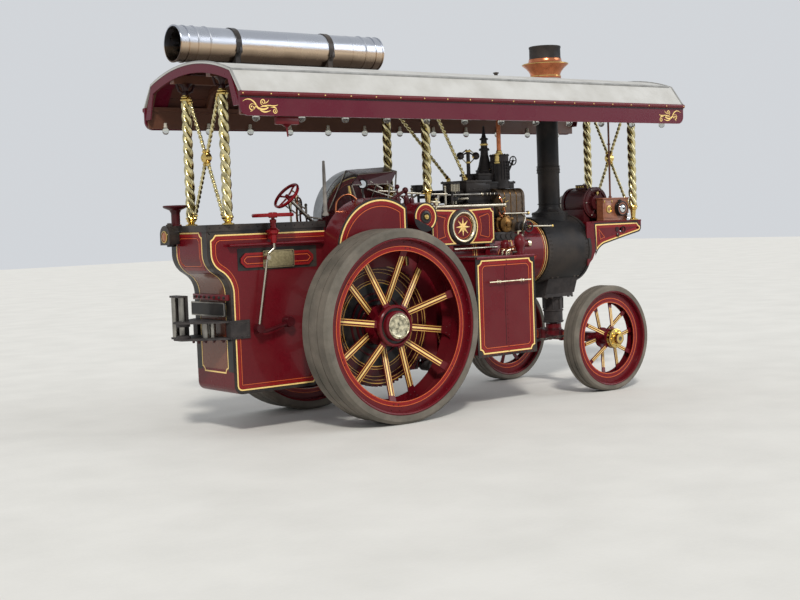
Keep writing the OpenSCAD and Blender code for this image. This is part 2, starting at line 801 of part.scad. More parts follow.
// Arched cover over the driving gears and the small one over the crankshaft pinion
gear_cover_x = rear_axle_x + 65;
gear_cover_z = 1752;
gear_cover_r = 576;
small_cover = [crank_x + 60, 2104];
small_cover_r = 158;
cover_out = rear_track / 2 - rear_tyre_w / 2 - turning_gap;
module arch_outline(r) {
    low = 1600;
    right = gear_cover_x + 345;
    difference() {
        union() {
            translate([gear_cover_x, gear_cover_z]) circle(r, $fn = 180);
            translate([gear_cover_x - r, low]) square([2 * r, gear_cover_z - low]);
        }
        translate([gear_cover_x - r - 1, low - r]) square([2 * r + 2, r]);
        translate([right, low - 1]) square([r, 2 * r]);
        translate([gear_cover_x - r - 1, gear_cover_z - r - 10])
            square([2 * r + 2, r - (gear_cover_z - low) + 10]);
    }
}

cover_t = 12;
module gear_covers() {
    t = cover_t;
    color("maroon") {
        difference() {
            side_plate(-cover_out, -horn_y - seat_gap) arch_outline(gear_cover_r);
            side_plate(t - cover_out, -horn_y) difference() {
                arch_outline(gear_cover_r - t);
            }
            along_y(-cover_out - 1, -horn_y + 1, 2 * small_cover_r + 50, small_cover[0],
                small_cover[1]);
        }
        difference() {
            along_y(-cover_out + 22, -horn_y - 36 - seat_gap, 2 * small_cover_r, small_cover[0],
                small_cover[1]);
            along_y(-cover_out + 34, -horn_y, 2 * small_cover_r - 2 * t, small_cover[0],
                small_cover[1]);
            translate([small_cover[0] - 190, -cover_out, small_cover[1] - 190])
                rotate([0, 35, 0]) cube([360, 2 * cover_out, 120], center = true);
        }
    }
}

// Painted plates beside the motion with their round brass rings, and the guard over the crank
plate_x0 = crank_x + 295;
plate_x1 = cylinder_x0 - 170;
plate_z0 = 1775;
plate_z1 = 2190;
roundel = [crank_x + 743, 1976];
module motion_covers() {
    t = plate_t;
    ring_r = 168;
    color("maroon") {
        both_sides() {
            side_plate(-plate_y - t, -plate_y)
                translate([plate_x0, plate_z0]) square([plate_x1 - plate_x0, plate_z1 - plate_z0]);
            translate([roundel[0], -plate_y - t, roundel[1]]) turned_y()
                polygon([[ring_r - 26, 0], [ring_r - 20, 20], [ring_r + 4, ring_h],
                    [ring_r + 26, 12], [ring_r + 30, 0]]);
            block([plate_x0, -plate_y, plate_z0 + 60], [firebox_x1 + 20, -horn_y, plate_z1 - 40]);
            for (x = [plate_x0 + 240, plate_x1 - 140])
                block([x, -plate_y - t, footboard_z], [x + 60, -plate_y, plate_z0]);
            along_x(plate_x0 + 90, cylinder_x0 - seat_gap, 44, -plate_y + 4, plate_z1 + 20);
        }
    }
}

// Slide bars, crossheads and rods between the cylinders and the crank
module motion_work() {
    lines = [-150, 150];
    cross_x = crank_x + 700;
    guide_x = cross_x - 220;
    guide_t = 24;
    color("silver") {
        difference() {
            union() {
                for (y = lines)
                    for (z = [crank_z - 80, crank_z + 60])
                        block([guide_x, y - 28, z], [cylinder_x0, y + 28, z + 20]);
                block([guide_x, -320, crank_z - 200], [guide_x + guide_t, 320, crank_z + 100]);
                along_x(guide_x + 10, cylinder_x0, 28, -290, 2340, fine_fn);
                block([guide_x, -310, crank_z + 90], [guide_x + guide_t, -270, 2360]);
            }
            along_x(guide_x - 1, cylinder_x0 + 1, barrel_d + 2 * seat_gap + 8, 0, boiler_z);
            for (y = lines)
                block([guide_x - 1, y - 70, crank_z - 50], [guide_x + guide_t + 1, y + 70,
                    crank_z + 50]);
        }
        for (y = lines) {
            block([cross_x - 60, y - 40, crank_z - 61], [cross_x + 60, y + 40, crank_z + 61]);
            along_x(cross_x + 59, cylinder_x0, 50, y, crank_z, fine_fn);
            along_x(crank_x + crank_throw + 130, cross_x - 59, 60, y, crank_z, fine_fn);
        }
    }
}

// Cylinder block on its saddle, with rounded lagging
module cylinder_block() {
    corner_r = 90;
    y = cylinder_w / 2;
    color("dimgray") difference() {
        union() {
            cross_section(cylinder_x0, cylinder_x1) {
                round_rect([-y, crank_z - 50], [y, cylinder_top], corner_r);
                translate([-y, boiler_z + 200]) square([cylinder_w, crank_z + 40 - boiler_z - 200]);
            }
            for (x = [cylinder_x0, cylinder_x1 - 32])
                cross_section(x, x + 32)
                    round_rect([-y - 10, crank_z - 60], [y + 10, cylinder_top + 10], corner_r + 10);
        }
        along_x(cylinder_x0 - 30, cylinder_x1 + 30, barrel_d + 2 * seat_gap + 8, 0, boiler_z);
    }
}

// Steam chest with its ribbed valve box and governor
steam_chest_low = 2372;
steam_chest_h = 118;
chest_top = 2630;
valve_at = [cylinder_x0 + 176, -150];
valve_top = chest_top + 145;
module steam_chest() {
    top = cylinder_top + 10 + seat_gap;
    stem_x = cylinder_x0 + 80;
    governor = [cylinder_x0 - 170, 0];
    color("dimgray") {
        block([cylinder_x0 - 390, -210, steam_chest_low], [cylinder_x0 - 30, 210,
            steam_chest_low + steam_chest_h]);
        block([cylinder_x0 - 90, -200, top], [cylinder_x1 - 60, 200, chest_top - 160]);
        block([cylinder_x0 - 150, -150, chest_top - 170], [cylinder_x1 - 120, 150, chest_top - 60]);
        translate([valve_at[0], valve_at[1], top]) {
            cylinder(d = 206, h = valve_top - top, $fn = fine_fn);
            for (i = [0:6]) translate([0, 0, 70 + i * 34]) cylinder(d = 222, h = 14, $fn = fine_fn);
            translate([0, 0, valve_top - top - 60]) cylinder(d = 214, h = 60, $fn = fine_fn);
        }
        translate([stem_x, 0, chest_top - 160]) rotate_extrude($fn = fine_fn)
            polygon([[0, 0], [105, 0], [105, 120], [74, 200], [46, 330], [34, 500], [0, 500]]);
        along_z(chest_top + 220, chest_top + 246, 110, stem_x, 0);
        translate([governor[0], governor[1], chest_top - 160]) {
            cylinder(d = 150, h = 90, $fn = fine_fn);
            cylinder(d = 44, h = 380, $fn = fine_fn);
        }
        for (side = [-1, 1]) {
            rod([governor[0], 0, chest_top + 200], [governor[0] + side * 100, 0, chest_top + 164], 18);
            translate([governor[0] + side * 118, 0, chest_top + 158])
                sphere(d = 88, $fn = fine_fn);
        }
    }
}

// Copper pipe from the valve box up to the roof, and the drain pipe along the cylinders
module copper_pipes() {
    drain = [cylinder_w / 2 + 22, crank_z];
    color("peru") {
        along_z(valve_top + seat_gap, timber_z0, 52, valve_at[0], valve_at[1]);
        along_z(valve_top + seat_gap, valve_top + 20, 90, valve_at[0], valve_at[1]);
        along_x(cylinder_x0 + 40, cylinder_x1 - 30, 26, -drain[0] - 13, drain[1], small_fn);
        for (x = [cylinder_x0 + 80, cylinder_x1 - 90])
            along_y(-drain[0] - 13, -cylinder_w / 2 - seat_gap, 20, x, drain[1], small_fn);
    }
}

// Feed pump on the right hand footboard
module feed_pump() {
    x = tank_x1 - 90;
    y = -560;
    color("maroon") {
        along_z(footboard_z, footboard_z + 110, 120, x, y);
        translate([x, y, footboard_z + 110]) sphere(d = 110, $fn = fine_fn);
        along_x(x, x + 170, 64, y, footboard_z + 60, fine_fn);
        block([x - 80, y - 60, footboard_z], [x + 80, y + 60, footboard_z + 16]);
    }
}

// Long bracket ahead of the smokebox that carries the dynamo
module bracket_outline() {
    polygon(concat(
        [[bracket_x0, bracket_top], [bracket_x0, 1440], [smokebox_x1 + 30, 1520]],
        arc([smokebox_x1 + 270, 1460], 240, 160, 100, 6),
        arc([bracket_x1 - 60, 1880], 60, -75, 0, 6),
        [[bracket_x1, bracket_top - 20], [bracket_x1 - 20, bracket_top]]));
}

module dynamo_bracket() {
    color("maroon") difference() {
        union() {
            both_sides() side_plate(-bracket_y - bracket_t, -bracket_y) bracket_outline();
            block([smokebox_x1 + 20, -bracket_y - 22, bracket_top - 16], [bracket_x1,
                bracket_y + 22, bracket_top]);
            block([bracket_x1 - 46, -bracket_y, bracket_top - 130], [bracket_x1 - 30, bracket_y,
                bracket_top - 10]);
        }
        along_x(smokebox_x0, smokebox_x1 + 2, smokebox_d + 16 + 2 * seat_gap, 0, boiler_z);
        both_sides() along_y(-bracket_y - 30, -bracket_y + 10, 60, smokebox_x1 + 540, 1860);
    }
}

// Dynamo, a ribbed drum on feet, and its belt pulley
dynamo_x = smokebox_x1 + 290;
dynamo_z = bracket_top + 230;
dynamo_d = 350;
module dynamo() {
    color("maroon") difference() {
        union() {
            along_y(-190, 190, dynamo_d, dynamo_x, dynamo_z);
            for (y = [-190, 150]) along_y(y, y + 40, dynamo_d + 30, dynamo_x, dynamo_z);
            along_y(-240, 230, 180, dynamo_x, dynamo_z);
            for (x = [dynamo_x - 170, dynamo_x + 70])
                block([x, -170, bracket_top], [x + 100, 170, dynamo_z - 80]);
        }
        along_y(-250, 240, 50 + 2 * shaft_fit, dynamo_x, dynamo_z);
    }
}

module dynamo_pulley() {
    color("silver") {
        along_y(-236, 330, 50, dynamo_x, dynamo_z);
        difference() {
            along_y(240, 330, 220, dynamo_x, dynamo_z);
            along_y(250, 331, 196, dynamo_x, dynamo_z);
        }
        along_y(240, 330, 80, dynamo_x, dynamo_z);
    }
}

// Wooden switch box with a round lamp on its side
module switch_box() {
    x0 = bracket_x1 - 630;
    x1 = column_rows[2][0] - 0.55 * column_d - 6;
    color("sienna") {
        block([x0, -360, bracket_top], [x1, -254, bracket_top + 268]);
        along_y(-412, -359, 176, x0 + 290, bracket_top + 146, fine_fn);
    }
}

// Cast bracket under the smokebox that carries the front axle's pin
perch_z0 = 760;
module perch_bracket() {
    color("dimgray") difference() {
        union() {
            cross_section(smokebox_x0 + 150, smokebox_x1 - 60)
                polygon([[-250, boiler_z - 250], [250, boiler_z - 250], [150, 1120], [-150, 1120]]);
            along_z(perch_z0, 1130, 230, front_axle_x, 0, round_fn);
            translate([0, 0, 1080]) linear_extrude(60)
                round_rect([smokebox_x0 + 150, -150], [smokebox_x1 - 60, 150], 40);
        }
        along_x(smokebox_x0 - 20, smokebox_x1 + 20, smokebox_d + 2 * seat_gap, 0, boiler_z);
        along_z(perch_z0 - 1, perch_z0 + 250, kingpin_d + 2 * shaft_fit, front_axle_x, 0,
            round_fn);
    }
}

// Front axle beam on its pin, with the ends that carry the wheels
module front_axle() {
    beam_y = front_track / 2 - front_tyre_w / 2 - 60;
    stub_y = front_track / 2 + front_wheel_w / 2 + front_cap_out - hub_end - end_play;
    b = front_beam / 2;
    color("maroon") {
        block([front_axle_x - b, -beam_y, front_z - b], [front_axle_x + b, beam_y, front_z + b]);
        along_z(front_z, perch_z0 - turning_gap, 190, front_axle_x, 0);
        along_z(front_z, perch_z0 + 240, kingpin_d, front_axle_x, 0, round_fn);
        both_sides() {
            along_y(-stub_y, -beam_y + 10, front_stub_d, front_axle_x, front_z);
            rod([front_axle_x - b + 10, -beam_y + 40, front_z], [front_axle_x - b - 60, -beam_y + 40,
                front_z], 40);
        }
    }
}

// Inclined steering column, worm shaft under the boiler and the brake screw
chain_shaft = [firebox_x1 - 110, firebox_z0 - 90];
steering_hub = [rear_axle_x - 810, -200, 2375];
steering_lean = 48;
steering_grip = 26;
brake_grip = 30;
brake_at = [rear_axle_x - 1145, -tender_y - 92, coping_top + 45];
worm_box_z = 1950;
module steering_gear() {
    down = [sin(steering_lean), 0, -cos(steering_lean)];
    column_len = (steering_hub[2] - worm_box_z) / cos(steering_lean);
    color("dimgray") {
        rod(steering_hub + (steering_grip + seat_gap) * down, steering_hub + column_len * down, 36);
        block([tender_x1, -horn_y + horn_t, worm_box_z - 70], [tender_x1 + 140, -150, worm_box_z + 10]);
        along_y(-420, 420, 70, chain_shaft[0], chain_shaft[1]);
        for (y = [-300, 260])
            block([chain_shaft[0] - 50, y, chain_shaft[1]], [chain_shaft[0] + 50, y + 40,
                firebox_z0]);
        for (y = [-420, 240]) along_y(y, y + 180, 120, chain_shaft[0], chain_shaft[1]);
        along_z(rear_z, brake_at[2], 34, brake_at[0], brake_at[1], small_fn);
        for (z = [1480, 1960])
            block([brake_at[0] - 34, brake_at[1] - 20, z], [brake_at[0] + 34, -tender_y, z + 40]);
    }
}

// Chains from the worm shaft to the ends of the front axle
module steering_chains() {
    from = [chain_shaft[0] + 63, -330, chain_shaft[1]];
    to = [front_axle_x - front_beam / 2 - 64, -(front_track / 2 - front_tyre_w / 2 - 100), front_z];
    color("dimgray") both_sides() rod(from, to, 26);
}

// Wheel with crossed spokes, standing on an axis tilted from upright
module hand_wheel(d, grip, spokes) {
    rotate_extrude($fn = fine_fn) translate([d / 2 - grip / 2, 0]) circle(d = grip, $fn = small_fn);
    for (i = [0:spokes - 1]) rotate(i * 360 / spokes)
        rotate([0, 90, 0]) cylinder(d = grip * 0.6, h = d / 2 - grip / 2, $fn = small_fn);
    translate([0, 0, -grip]) cylinder(d = grip * 2, h = 2 * grip, $fn = fine_fn);
}

module control_wheels() {
    color("firebrick") {
        translate(steering_hub) rotate([0, -steering_lean, 0])
            hand_wheel(steering_wheel_d, steering_grip, 4);
        translate(brake_at + [0, 0, brake_grip + seat_gap]) hand_wheel(brake_wheel_d, brake_grip, 4);
    }
}

// Rear axle with the large driving gear
gear_teeth = 72;
gear_r = 650;
module driving_gear() {
    y0 = -cover_out + cover_t + 6;
    step = 360 / gear_teeth;
    translate([rear_axle_x, y0 + 56, rear_z]) rotate([90, 0, 0]) {
        linear_extrude(56) difference() {
            union() {
                circle(gear_r - 20, $fn = 180);
                for (i = [0:gear_teeth - 1]) rotate(i * step)
                    polygon([[gear_r - 30, -16], [gear_r, -9], [gear_r, 9], [gear_r - 30, 16]]);
            }
            circle(gear_r - 80, $fn = 180);
        }
        linear_extrude(20) circle(gear_r - 60, $fn = 180);
        cylinder(d = 300, h = 56, $fn = fine_fn);
    }
}

module rear_axle() {
    end_y = rear_track / 2 + rear_wheel_w / 2 - rear_cap_in - hub_end - end_play;
    color("maroon") {
        along_y(-end_y, end_y, rear_axle_d, rear_axle_x, rear_z);
        both_sides() along_y(-horn_y - 60, -horn_y - seat_gap, 260, rear_axle_x, rear_z);
        driving_gear();
    }
}

// Winding drum on the left of the rear axle
module winding_drum() {
    y0 = horn_y + 60 + turning_gap;
    y1 = rear_track / 2 - rear_tyre_w / 2 - turning_gap;
    color("maroon") translate([rear_axle_x, 0, rear_z]) mirror([0, 1, 0]) turned_y()
        polygon([[rear_axle_d / 2 + shaft_fit, y0], [330, y0], [330, y0 + 18], [190, y0 + 18],
            [190, y1 - 18], [330, y1 - 18], [330, y1], [rear_axle_d / 2 + shaft_fit, y1]]);
}

// Flywheel on the left end of the crankshaft, with the cranks between the side plates
module flywheel() {
    r = flywheel_d / 2;
    y0 = flywheel_y0;
    y1 = flywheel_y0 + flywheel_w;
    shaft_0 = -horn_y - 150;
    color("maroon") translate([crank_x, 0, crank_z]) {
        along_y(shaft_0, y1 + 20, crank_d);
        difference() {
            along_y(y0, y1, flywheel_d);
            along_y(y0 - 1, y1 + 1, flywheel_d - 110);
        }
        along_y((y0 + y1) / 2 - 9, (y0 + y1) / 2 + 9, flywheel_d - 100);
        along_y(y0, y1 + 10, 210);
        along_y(-horn_y - 140, -horn_y - 60, 110);
        for (y = [-150, 150]) {
            turn = y < 0 ? 0 : 90;
            for (side = [-1, 1])
                translate([0, y + side * 58, 0]) rotate([0, turn, 0])
                    side_plate(-16, 16) round_rect([-52, -52], [crank_throw + 52, 52], 50);
            translate([0, y, 0]) rotate([0, turn, 0]) along_y(-50, 50, 84, crank_throw, 0);
        }
    }
}

// Spoked wheel body turned about Y, outer face towards -Y, distances counted outwards
// Spokes cross: those of the outer hub flange run to the inner ring, the others to the outer ring
module spoked_wheel(r, w, rim_t, ring, flange, spokes, spoke, first) {
    ring_r = ring[0];
    ring_out = ring[1];
    ring_t = ring[2];
    spoke_w = spoke[0];
    spoke_t = spoke[1];
    let_in = 4;
    seat = (ring_t + spoke_t) / 2 - let_in;
    turned_y() {
        translate([r - rim_t, -w / 2]) square([rim_t, w]);
        for (out = [-ring_out, ring_out])
            translate([ring_r, out - ring_t / 2]) square([r - rim_t - ring_r + 1, ring_t]);
    }
    for (i = [0:spokes - 1]) {
        crossed = i % 2 == 0;
        from = [flange[0] * 0.55, crossed ? flange[2] : flange[1]];
        to = [r - rim_t - 6, crossed ? seat - ring_out : ring_out - seat];
        lean = atan2(to[1] - from[1], to[0] - from[0]);
        rotate([0, i * 360 / spokes + first, 0]) translate([from[0], -from[1], 0])
            rotate([0, 0, -lean]) translate([0, -spoke_t / 2, -spoke_w / 2])
                cube([norm(to - from), spoke_t, spoke_w]);
    }
}

// Hub with two flanges, each [radius, inner place, outer place], and a stepped end
module hub(flange, flange_t, tube_r, steps) {
    low = flange[1] - flange_t / 2;
    turned_y() {
        translate([0, low]) square([tube_r, flange[2] - low]);
        for (out = [flange[1], flange[2]])
            translate([0, out - flange_t / 2]) square([flange[0], flange_t]);
        for (i = [0:len(steps) - 1])
            translate([0, flange[2]]) square([steps[i][0], steps[i][1] - flange[2]]);
    }
}

rear_flange = [216, -196, 20];
module rear_wheel_body() {
    end = rear_wheel_w / 2 - rear_cap_in;
    difference() {
        union() {
            spoked_wheel(rear_r - rear_tyre_t, rear_wheel_w, 22, [770, 138, 14], rear_flange,
                rear_spokes, [74, 16], 8);
            hub(rear_flange, 26, 118, [[152, end - 10], [136, end]]);
        }
        along_y(hub_end - end, rear_wheel_w, rear_axle_d + 2 * shaft_fit);
    }
}

front_flange = [118, -62, 96];
module front_wheel_body() {
    end = front_wheel_w / 2 + front_cap_out;
    difference() {
        union() {
            spoked_wheel(front_r - front_tyre_t, front_wheel_w, 18, [412, 44, 12], front_flange,
                front_spokes, [44, 12], -8);
            hub(front_flange, 20, 72, [[112, end - 62], [60, end]]);
        }
        along_y(hub_end - end, front_wheel_w, front_stub_d + 2 * shaft_fit);
    }
}

// Rubber tyre with two road grooves
module tyre(r, t, w) {
    groove = 14;
    chamfer = t * 0.32;
    turned_y() difference() {
        polygon([[r - t + seat_gap, -w / 2], [r - chamfer, -w / 2], [r, -w / 2 + chamfer],
            [r, w / 2 - chamfer], [r - chamfer, w / 2], [r - t + seat_gap, w / 2]]);
        for (y = [-w / 6, w / 6]) translate([r - groove, y - groove / 2]) square([groove + 1, groove]);
    }
}

module at_rear(side) {
    translate([rear_axle_x, side * rear_track / 2, rear_z]) mirror([0, side > 0 ? 1 : 0, 0])
        children();
}

module at_front(side) {
    translate([front_axle_x, side * front_track / 2, front_z]) mirror([0, side > 0 ? 1 : 0, 0])
        children();
}

module rear_wheel_near() {
    color("maroon") at_rear(-1) rear_wheel_body();
}

module rear_wheel_far() {
    color("maroon") at_rear(1) rear_wheel_body();
}

module rear_tyre_near() {
    color("gray") at_rear(-1) tyre(rear_r, rear_tyre_t, rear_tyre_w);
}

module rear_tyre_far() {
    color("gray") at_rear(1) tyre(rear_r, rear_tyre_t, rear_tyre_w);
}

module front_wheel_near() {
    color("maroon") at_front(-1) front_wheel_body();
}

module front_wheel_far() {
    color("maroon") at_front(1) front_wheel_body();
}

module front_tyre_near() {
    color("gray") at_front(-1) tyre(front_r, front_tyre_t, front_tyre_w);
}

module front_tyre_far() {
    color("gray") at_front(1) tyre(front_r, front_tyre_t, front_tyre_w);
}

firebox_and_hornplates();
boiler_barrel();
smokebox();
smokebox_door();
chimney();
chimney_cap();
chimney_extension();
extension_straps();
canopy_roof();
canopy_frame();
canopy_ribs();
canopy_boards();
canopy_columns();
column_braces();
tender();
tender_coping();
tender_side_shelves();
drawbar_frame();
rope_rollers();
rear_lamp_and_plate();
side_tanks();
footboards();
gear_covers();
motion_covers();
motion_work();
cylinder_block();
steam_chest();
copper_pipes();
feed_pump();
dynamo_bracket();
dynamo();
dynamo_pulley();
switch_box();
perch_bracket();
steering_gear();
steering_chains();
control_wheels();
rear_axle();
winding_drum();
flywheel();
front_axle();
front_wheel_near();
front_wheel_far();
front_tyre_near();
front_tyre_far();
rear_wheel_near();
rear_wheel_far();
rear_tyre_near();
rear_tyre_far();
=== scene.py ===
"""Steam traction engine: paint, lining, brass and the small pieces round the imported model."""
import math
import random

import bmesh
import bpy
from mathutils import Matrix, Vector
from mathutils.geometry import interpolate_bezier


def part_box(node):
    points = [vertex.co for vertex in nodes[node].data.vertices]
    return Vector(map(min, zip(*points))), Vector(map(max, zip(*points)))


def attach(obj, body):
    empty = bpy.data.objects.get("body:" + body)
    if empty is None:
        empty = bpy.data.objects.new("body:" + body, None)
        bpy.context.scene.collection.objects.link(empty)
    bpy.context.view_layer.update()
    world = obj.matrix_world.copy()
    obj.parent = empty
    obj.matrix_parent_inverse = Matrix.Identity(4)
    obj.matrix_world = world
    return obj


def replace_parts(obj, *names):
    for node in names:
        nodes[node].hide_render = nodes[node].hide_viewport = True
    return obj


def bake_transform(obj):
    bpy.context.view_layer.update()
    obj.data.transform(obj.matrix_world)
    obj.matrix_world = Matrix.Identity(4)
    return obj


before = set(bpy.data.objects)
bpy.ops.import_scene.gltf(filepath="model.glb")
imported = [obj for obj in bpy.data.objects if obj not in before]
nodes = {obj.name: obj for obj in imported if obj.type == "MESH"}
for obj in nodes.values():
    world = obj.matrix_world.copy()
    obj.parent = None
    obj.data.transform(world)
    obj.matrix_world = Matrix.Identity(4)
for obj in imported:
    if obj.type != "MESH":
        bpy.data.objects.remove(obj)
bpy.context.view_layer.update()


# Main places of the engine in metres, read from the frame where a node gives them

NEAR, FAR = -1, 1
UP, DOWN = (0, 0, 1), (0, 0, -1)
AHEAD, BACKWARD = (1, 0, 0), (-1, 0, 0)
TO_NEAR, TO_FAR = (0, NEAR, 0), (0, FAR, 0)
GROUND = 0.0
# Thickness of a painted line or band
PAINT = 0.0015


def middle(node):
    low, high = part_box(node)
    return (Vector(low) + Vector(high)) / 2


def low_corner(node):
    return Vector(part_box(node)[0])


def high_corner(node):
    return Vector(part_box(node)[1])


REAR_AXLE = middle("rear_axle")
REAR_R = high_corner("rear_tyre_near").z / 2
FRONT_R = high_corner("front_tyre_near").z / 2
FRONT_AXLE = Vector((middle("front_tyre_near").x, 0, FRONT_R))
REAR_WHEEL_Y = abs(middle("rear_tyre_near").y)
FRONT_WHEEL_Y = abs(middle("front_tyre_near").y)
BOARD_Y = high_corner("canopy_boards").y
BOARD_LOW = low_corner("canopy_boards")
BOARD_HIGH = high_corner("canopy_boards")
ROOF_CREST = high_corner("canopy_roof").z
TANK_LOW = low_corner("side_tanks")
TANK_HIGH = high_corner("side_tanks")
TENDER_LOW = low_corner("tender")
TENDER_HIGH = high_corner("tender")
TENDER_Y = TENDER_HIGH.y
COVER_Y = -low_corner("gear_covers").y
CRANK = Vector((-0.6, 0, 2.11))
BOILER_Z = middle("boiler_barrel").z
SMOKEBOX_X = high_corner("smokebox").x
CHIMNEY_X = middle("chimney_cap").x


# Colours, written as they look on a screen

def screen(red, green, blue):
    def linear(c):
        c /= 255
        return c / 12.92 if c <= 0.04045 else ((c + 0.055) / 1.055) ** 2.4
    return (linear(red), linear(green), linear(blue), 1.0)


MAROON = screen(96, 14, 24)
DEEP_MAROON = screen(66, 12, 19)
LINING_RED = screen(132, 20, 22)
LINING_ORANGE = screen(208, 96, 46)
CREAM = screen(248, 212, 132)
GOLD = screen(214, 168, 84)
BLACK = screen(26, 25, 26)
ROOF_GREY = screen(185, 184, 180)
BRASS = screen(216, 188, 116)
COPPER = screen(206, 128, 88)
STEEL = screen(160, 156, 148)
DARK_STEEL = screen(74, 70, 68)
IRON = screen(44, 40, 40)
RUBBER = screen(84, 79, 70)
TIMBER = screen(88, 52, 36)
ROOF_BOARDS = screen(96, 58, 40)


# Shader node groups that the materials share

class Effect:
    """A node group that gives a colour, a roughness and a height to several materials."""

    def __init__(self, name, **inputs):
        self.tree = bpy.data.node_groups.new(name, "ShaderNodeTree")
        sockets = [(label.replace("_", " "), "INPUT", value) for label, value in inputs.items()]
        sockets += [("Colour", "OUTPUT", ()), ("Roughness", "OUTPUT", 0), ("Height", "OUTPUT", 0)]
        for label, way, value in sockets:
            kind = "NodeSocketColor" if isinstance(value, tuple) else "NodeSocketFloat"
            socket = self.tree.interface.new_socket(name=label, in_out=way, socket_type=kind)
            if way == "INPUT":
                socket.default_value = value
        self.given = self.node("NodeGroupInput").outputs
        self.place = self.node("ShaderNodeTexCoord").outputs["Object"]

    def node(self, kind):
        return self.tree.nodes.new(kind)

    def feed(self, socket, value):
        """A socket takes a constant as its own value, and anything else by a link."""
        if isinstance(value, (int, float, tuple)):
            socket.default_value = value
        else:
            self.tree.links.new(value, socket)

    def noise(self, scale, detail, rough=0.55, place=None):
        noise = self.node("ShaderNodeTexNoise")
        self.feed(noise.inputs["Vector"], self.place if place is None else place)
        for label, value in (("Scale", scale), ("Detail", detail), ("Roughness", rough)):
            self.feed(noise.inputs[label], value)
        return noise.outputs["Fac"]

    def remap(self, value, low, high, to_low=0.0, to_high=1.0):
        step = self.node("ShaderNodeMapRange")
        step.clamp = True
        for label, amount in (("Value", value), ("From Min", low), ("From Max", high), ("To Min", to_low),
                              ("To Max", to_high)):
            self.feed(step.inputs[label], amount)
        return step.outputs["Result"]

    def mix(self, factor, first, second):
        mix = self.node("ShaderNodeMix")
        mix.data_type = "RGBA"
        for index, value in ((0, factor), (6, first), (7, second)):
            self.feed(mix.inputs[index], value)
        return mix.outputs[2]

    def sum_of(self, operation, *values):
        step = self.node("ShaderNodeMath")
        step.operation = operation
        for socket, value in zip(step.inputs, values):
            self.feed(socket, value)
        return step.outputs[0]

    def finish(self, colour, roughness, height):
        leave = self.node("NodeGroupOutput")
        for label, value in (("Colour", colour), ("Roughness", roughness), ("Height", height)):
            self.tree.links.new(value, leave.inputs[label])
        return self.tree


def make_coat():
    """Paint under varnish: soft mottling, dust in large patches and a faint ripple."""
    effect = Effect("varnished coat", Colour=MAROON, Dust=0.15, Dust_colour=screen(150, 132, 116),
                    Smooth=0.22, Rough=0.45)
    given = effect.given
    patches, grain, ripple = effect.noise(2.3, 4), effect.noise(60, 5), effect.noise(9, 2)
    mottled = effect.mix(effect.remap(grain, 0.3, 0.7, 0.0, 0.35), given["Colour"],
                         effect.mix(0.5, given["Colour"], (0, 0, 0, 1)))
    dust = effect.remap(patches, 0.42, 0.75, 0.0, given["Dust"])
    return effect.finish(effect.mix(dust, mottled, given["Dust colour"]),
                         effect.remap(patches, 0.35, 0.7, given["Smooth"], given["Rough"]), ripple)


def make_polish():
    """Polished metal: clean areas, darker tarnish in patches and fine rubbing marks."""
    effect = Effect("polished metal", Clean=BRASS, Tarnish=DARK_STEEL, Amount=0.35, Scale=7.0,
                    Smooth=0.12, Rough=0.4)
    given = effect.given
    patches = effect.noise(given["Scale"], 6)
    amount = effect.remap(patches, 0.38, 0.72, 0.0, given["Amount"])
    return effect.finish(effect.mix(amount, given["Clean"], given["Tarnish"]),
                         effect.remap(patches, 0.35, 0.75, given["Smooth"], given["Rough"]),
                         effect.noise(180, 3))


def make_surface():
    """Rough surfaces such as rubber, cast iron and canvas: two colours and a grain."""
    effect = Effect("rough surface", Colour=RUBBER, Second=IRON, Patch_scale=6.0, Grain_scale=120.0,
                    Smooth=0.6, Rough=0.9)
    given = effect.given
    patches, grain = effect.noise(given["Patch scale"], 6), effect.noise(given["Grain scale"], 4)
    return effect.finish(effect.mix(effect.remap(patches, 0.35, 0.7), given["Colour"], given["Second"]),
                         effect.remap(grain, 0.3, 0.7, given["Smooth"], given["Rough"]), grain)


def make_wood():
    """Varnished boards with grain that runs along X."""
    effect = Effect("varnished wood", Light=TIMBER, Dark=ROOF_BOARDS, Grain_scale=14.0)
    given = effect.given
    stretch = effect.node("ShaderNodeMapping")
    effect.feed(stretch.inputs["Scale"], (0.12, 1.0, 1.0))
    effect.feed(stretch.inputs["Vector"], effect.place)
    grain = effect.noise(given["Grain scale"], 8, 0.7, stretch.outputs["Vector"])
    return effect.finish(effect.mix(effect.remap(grain, 0.35, 0.65), given["Light"], given["Dark"]),
                         effect.remap(grain, 0.3, 0.7, 0.35, 0.6), grain)


def make_tube_painted_light():
    """Tube with painted light: a painted sky highlight on top, the side colour between and painted shade
    on its underside, three colours by height with a ragged edge.
    """
    effect = Effect("tube painted light", Top=screen(190, 193, 200), Side=screen(206, 182, 156),
                    Under=screen(104, 88, 76), Middle_height=3.93)
    given = effect.given
    parts = effect.node("ShaderNodeSeparateXYZ")
    effect.feed(parts.inputs[0], effect.place)
    wave = effect.noise(3.0, 5)
    above = effect.sum_of("SUBTRACT", parts.outputs["Z"], given["Middle height"])
    height = effect.sum_of("MULTIPLY_ADD", wave, 0.05, above)
    low = effect.mix(effect.remap(height, -0.09, -0.02), given["Under"], given["Side"])
    return effect.finish(effect.mix(effect.remap(height, 0.015, 0.035), low, given["Top"]),
                         effect.remap(wave, 0.35, 0.7, 0.2, 0.36), effect.noise(120, 3))


COAT, POLISH, SURFACE, WOOD, TUBE = make_coat(), make_polish(), make_surface(), make_wood(), make_tube_painted_light()


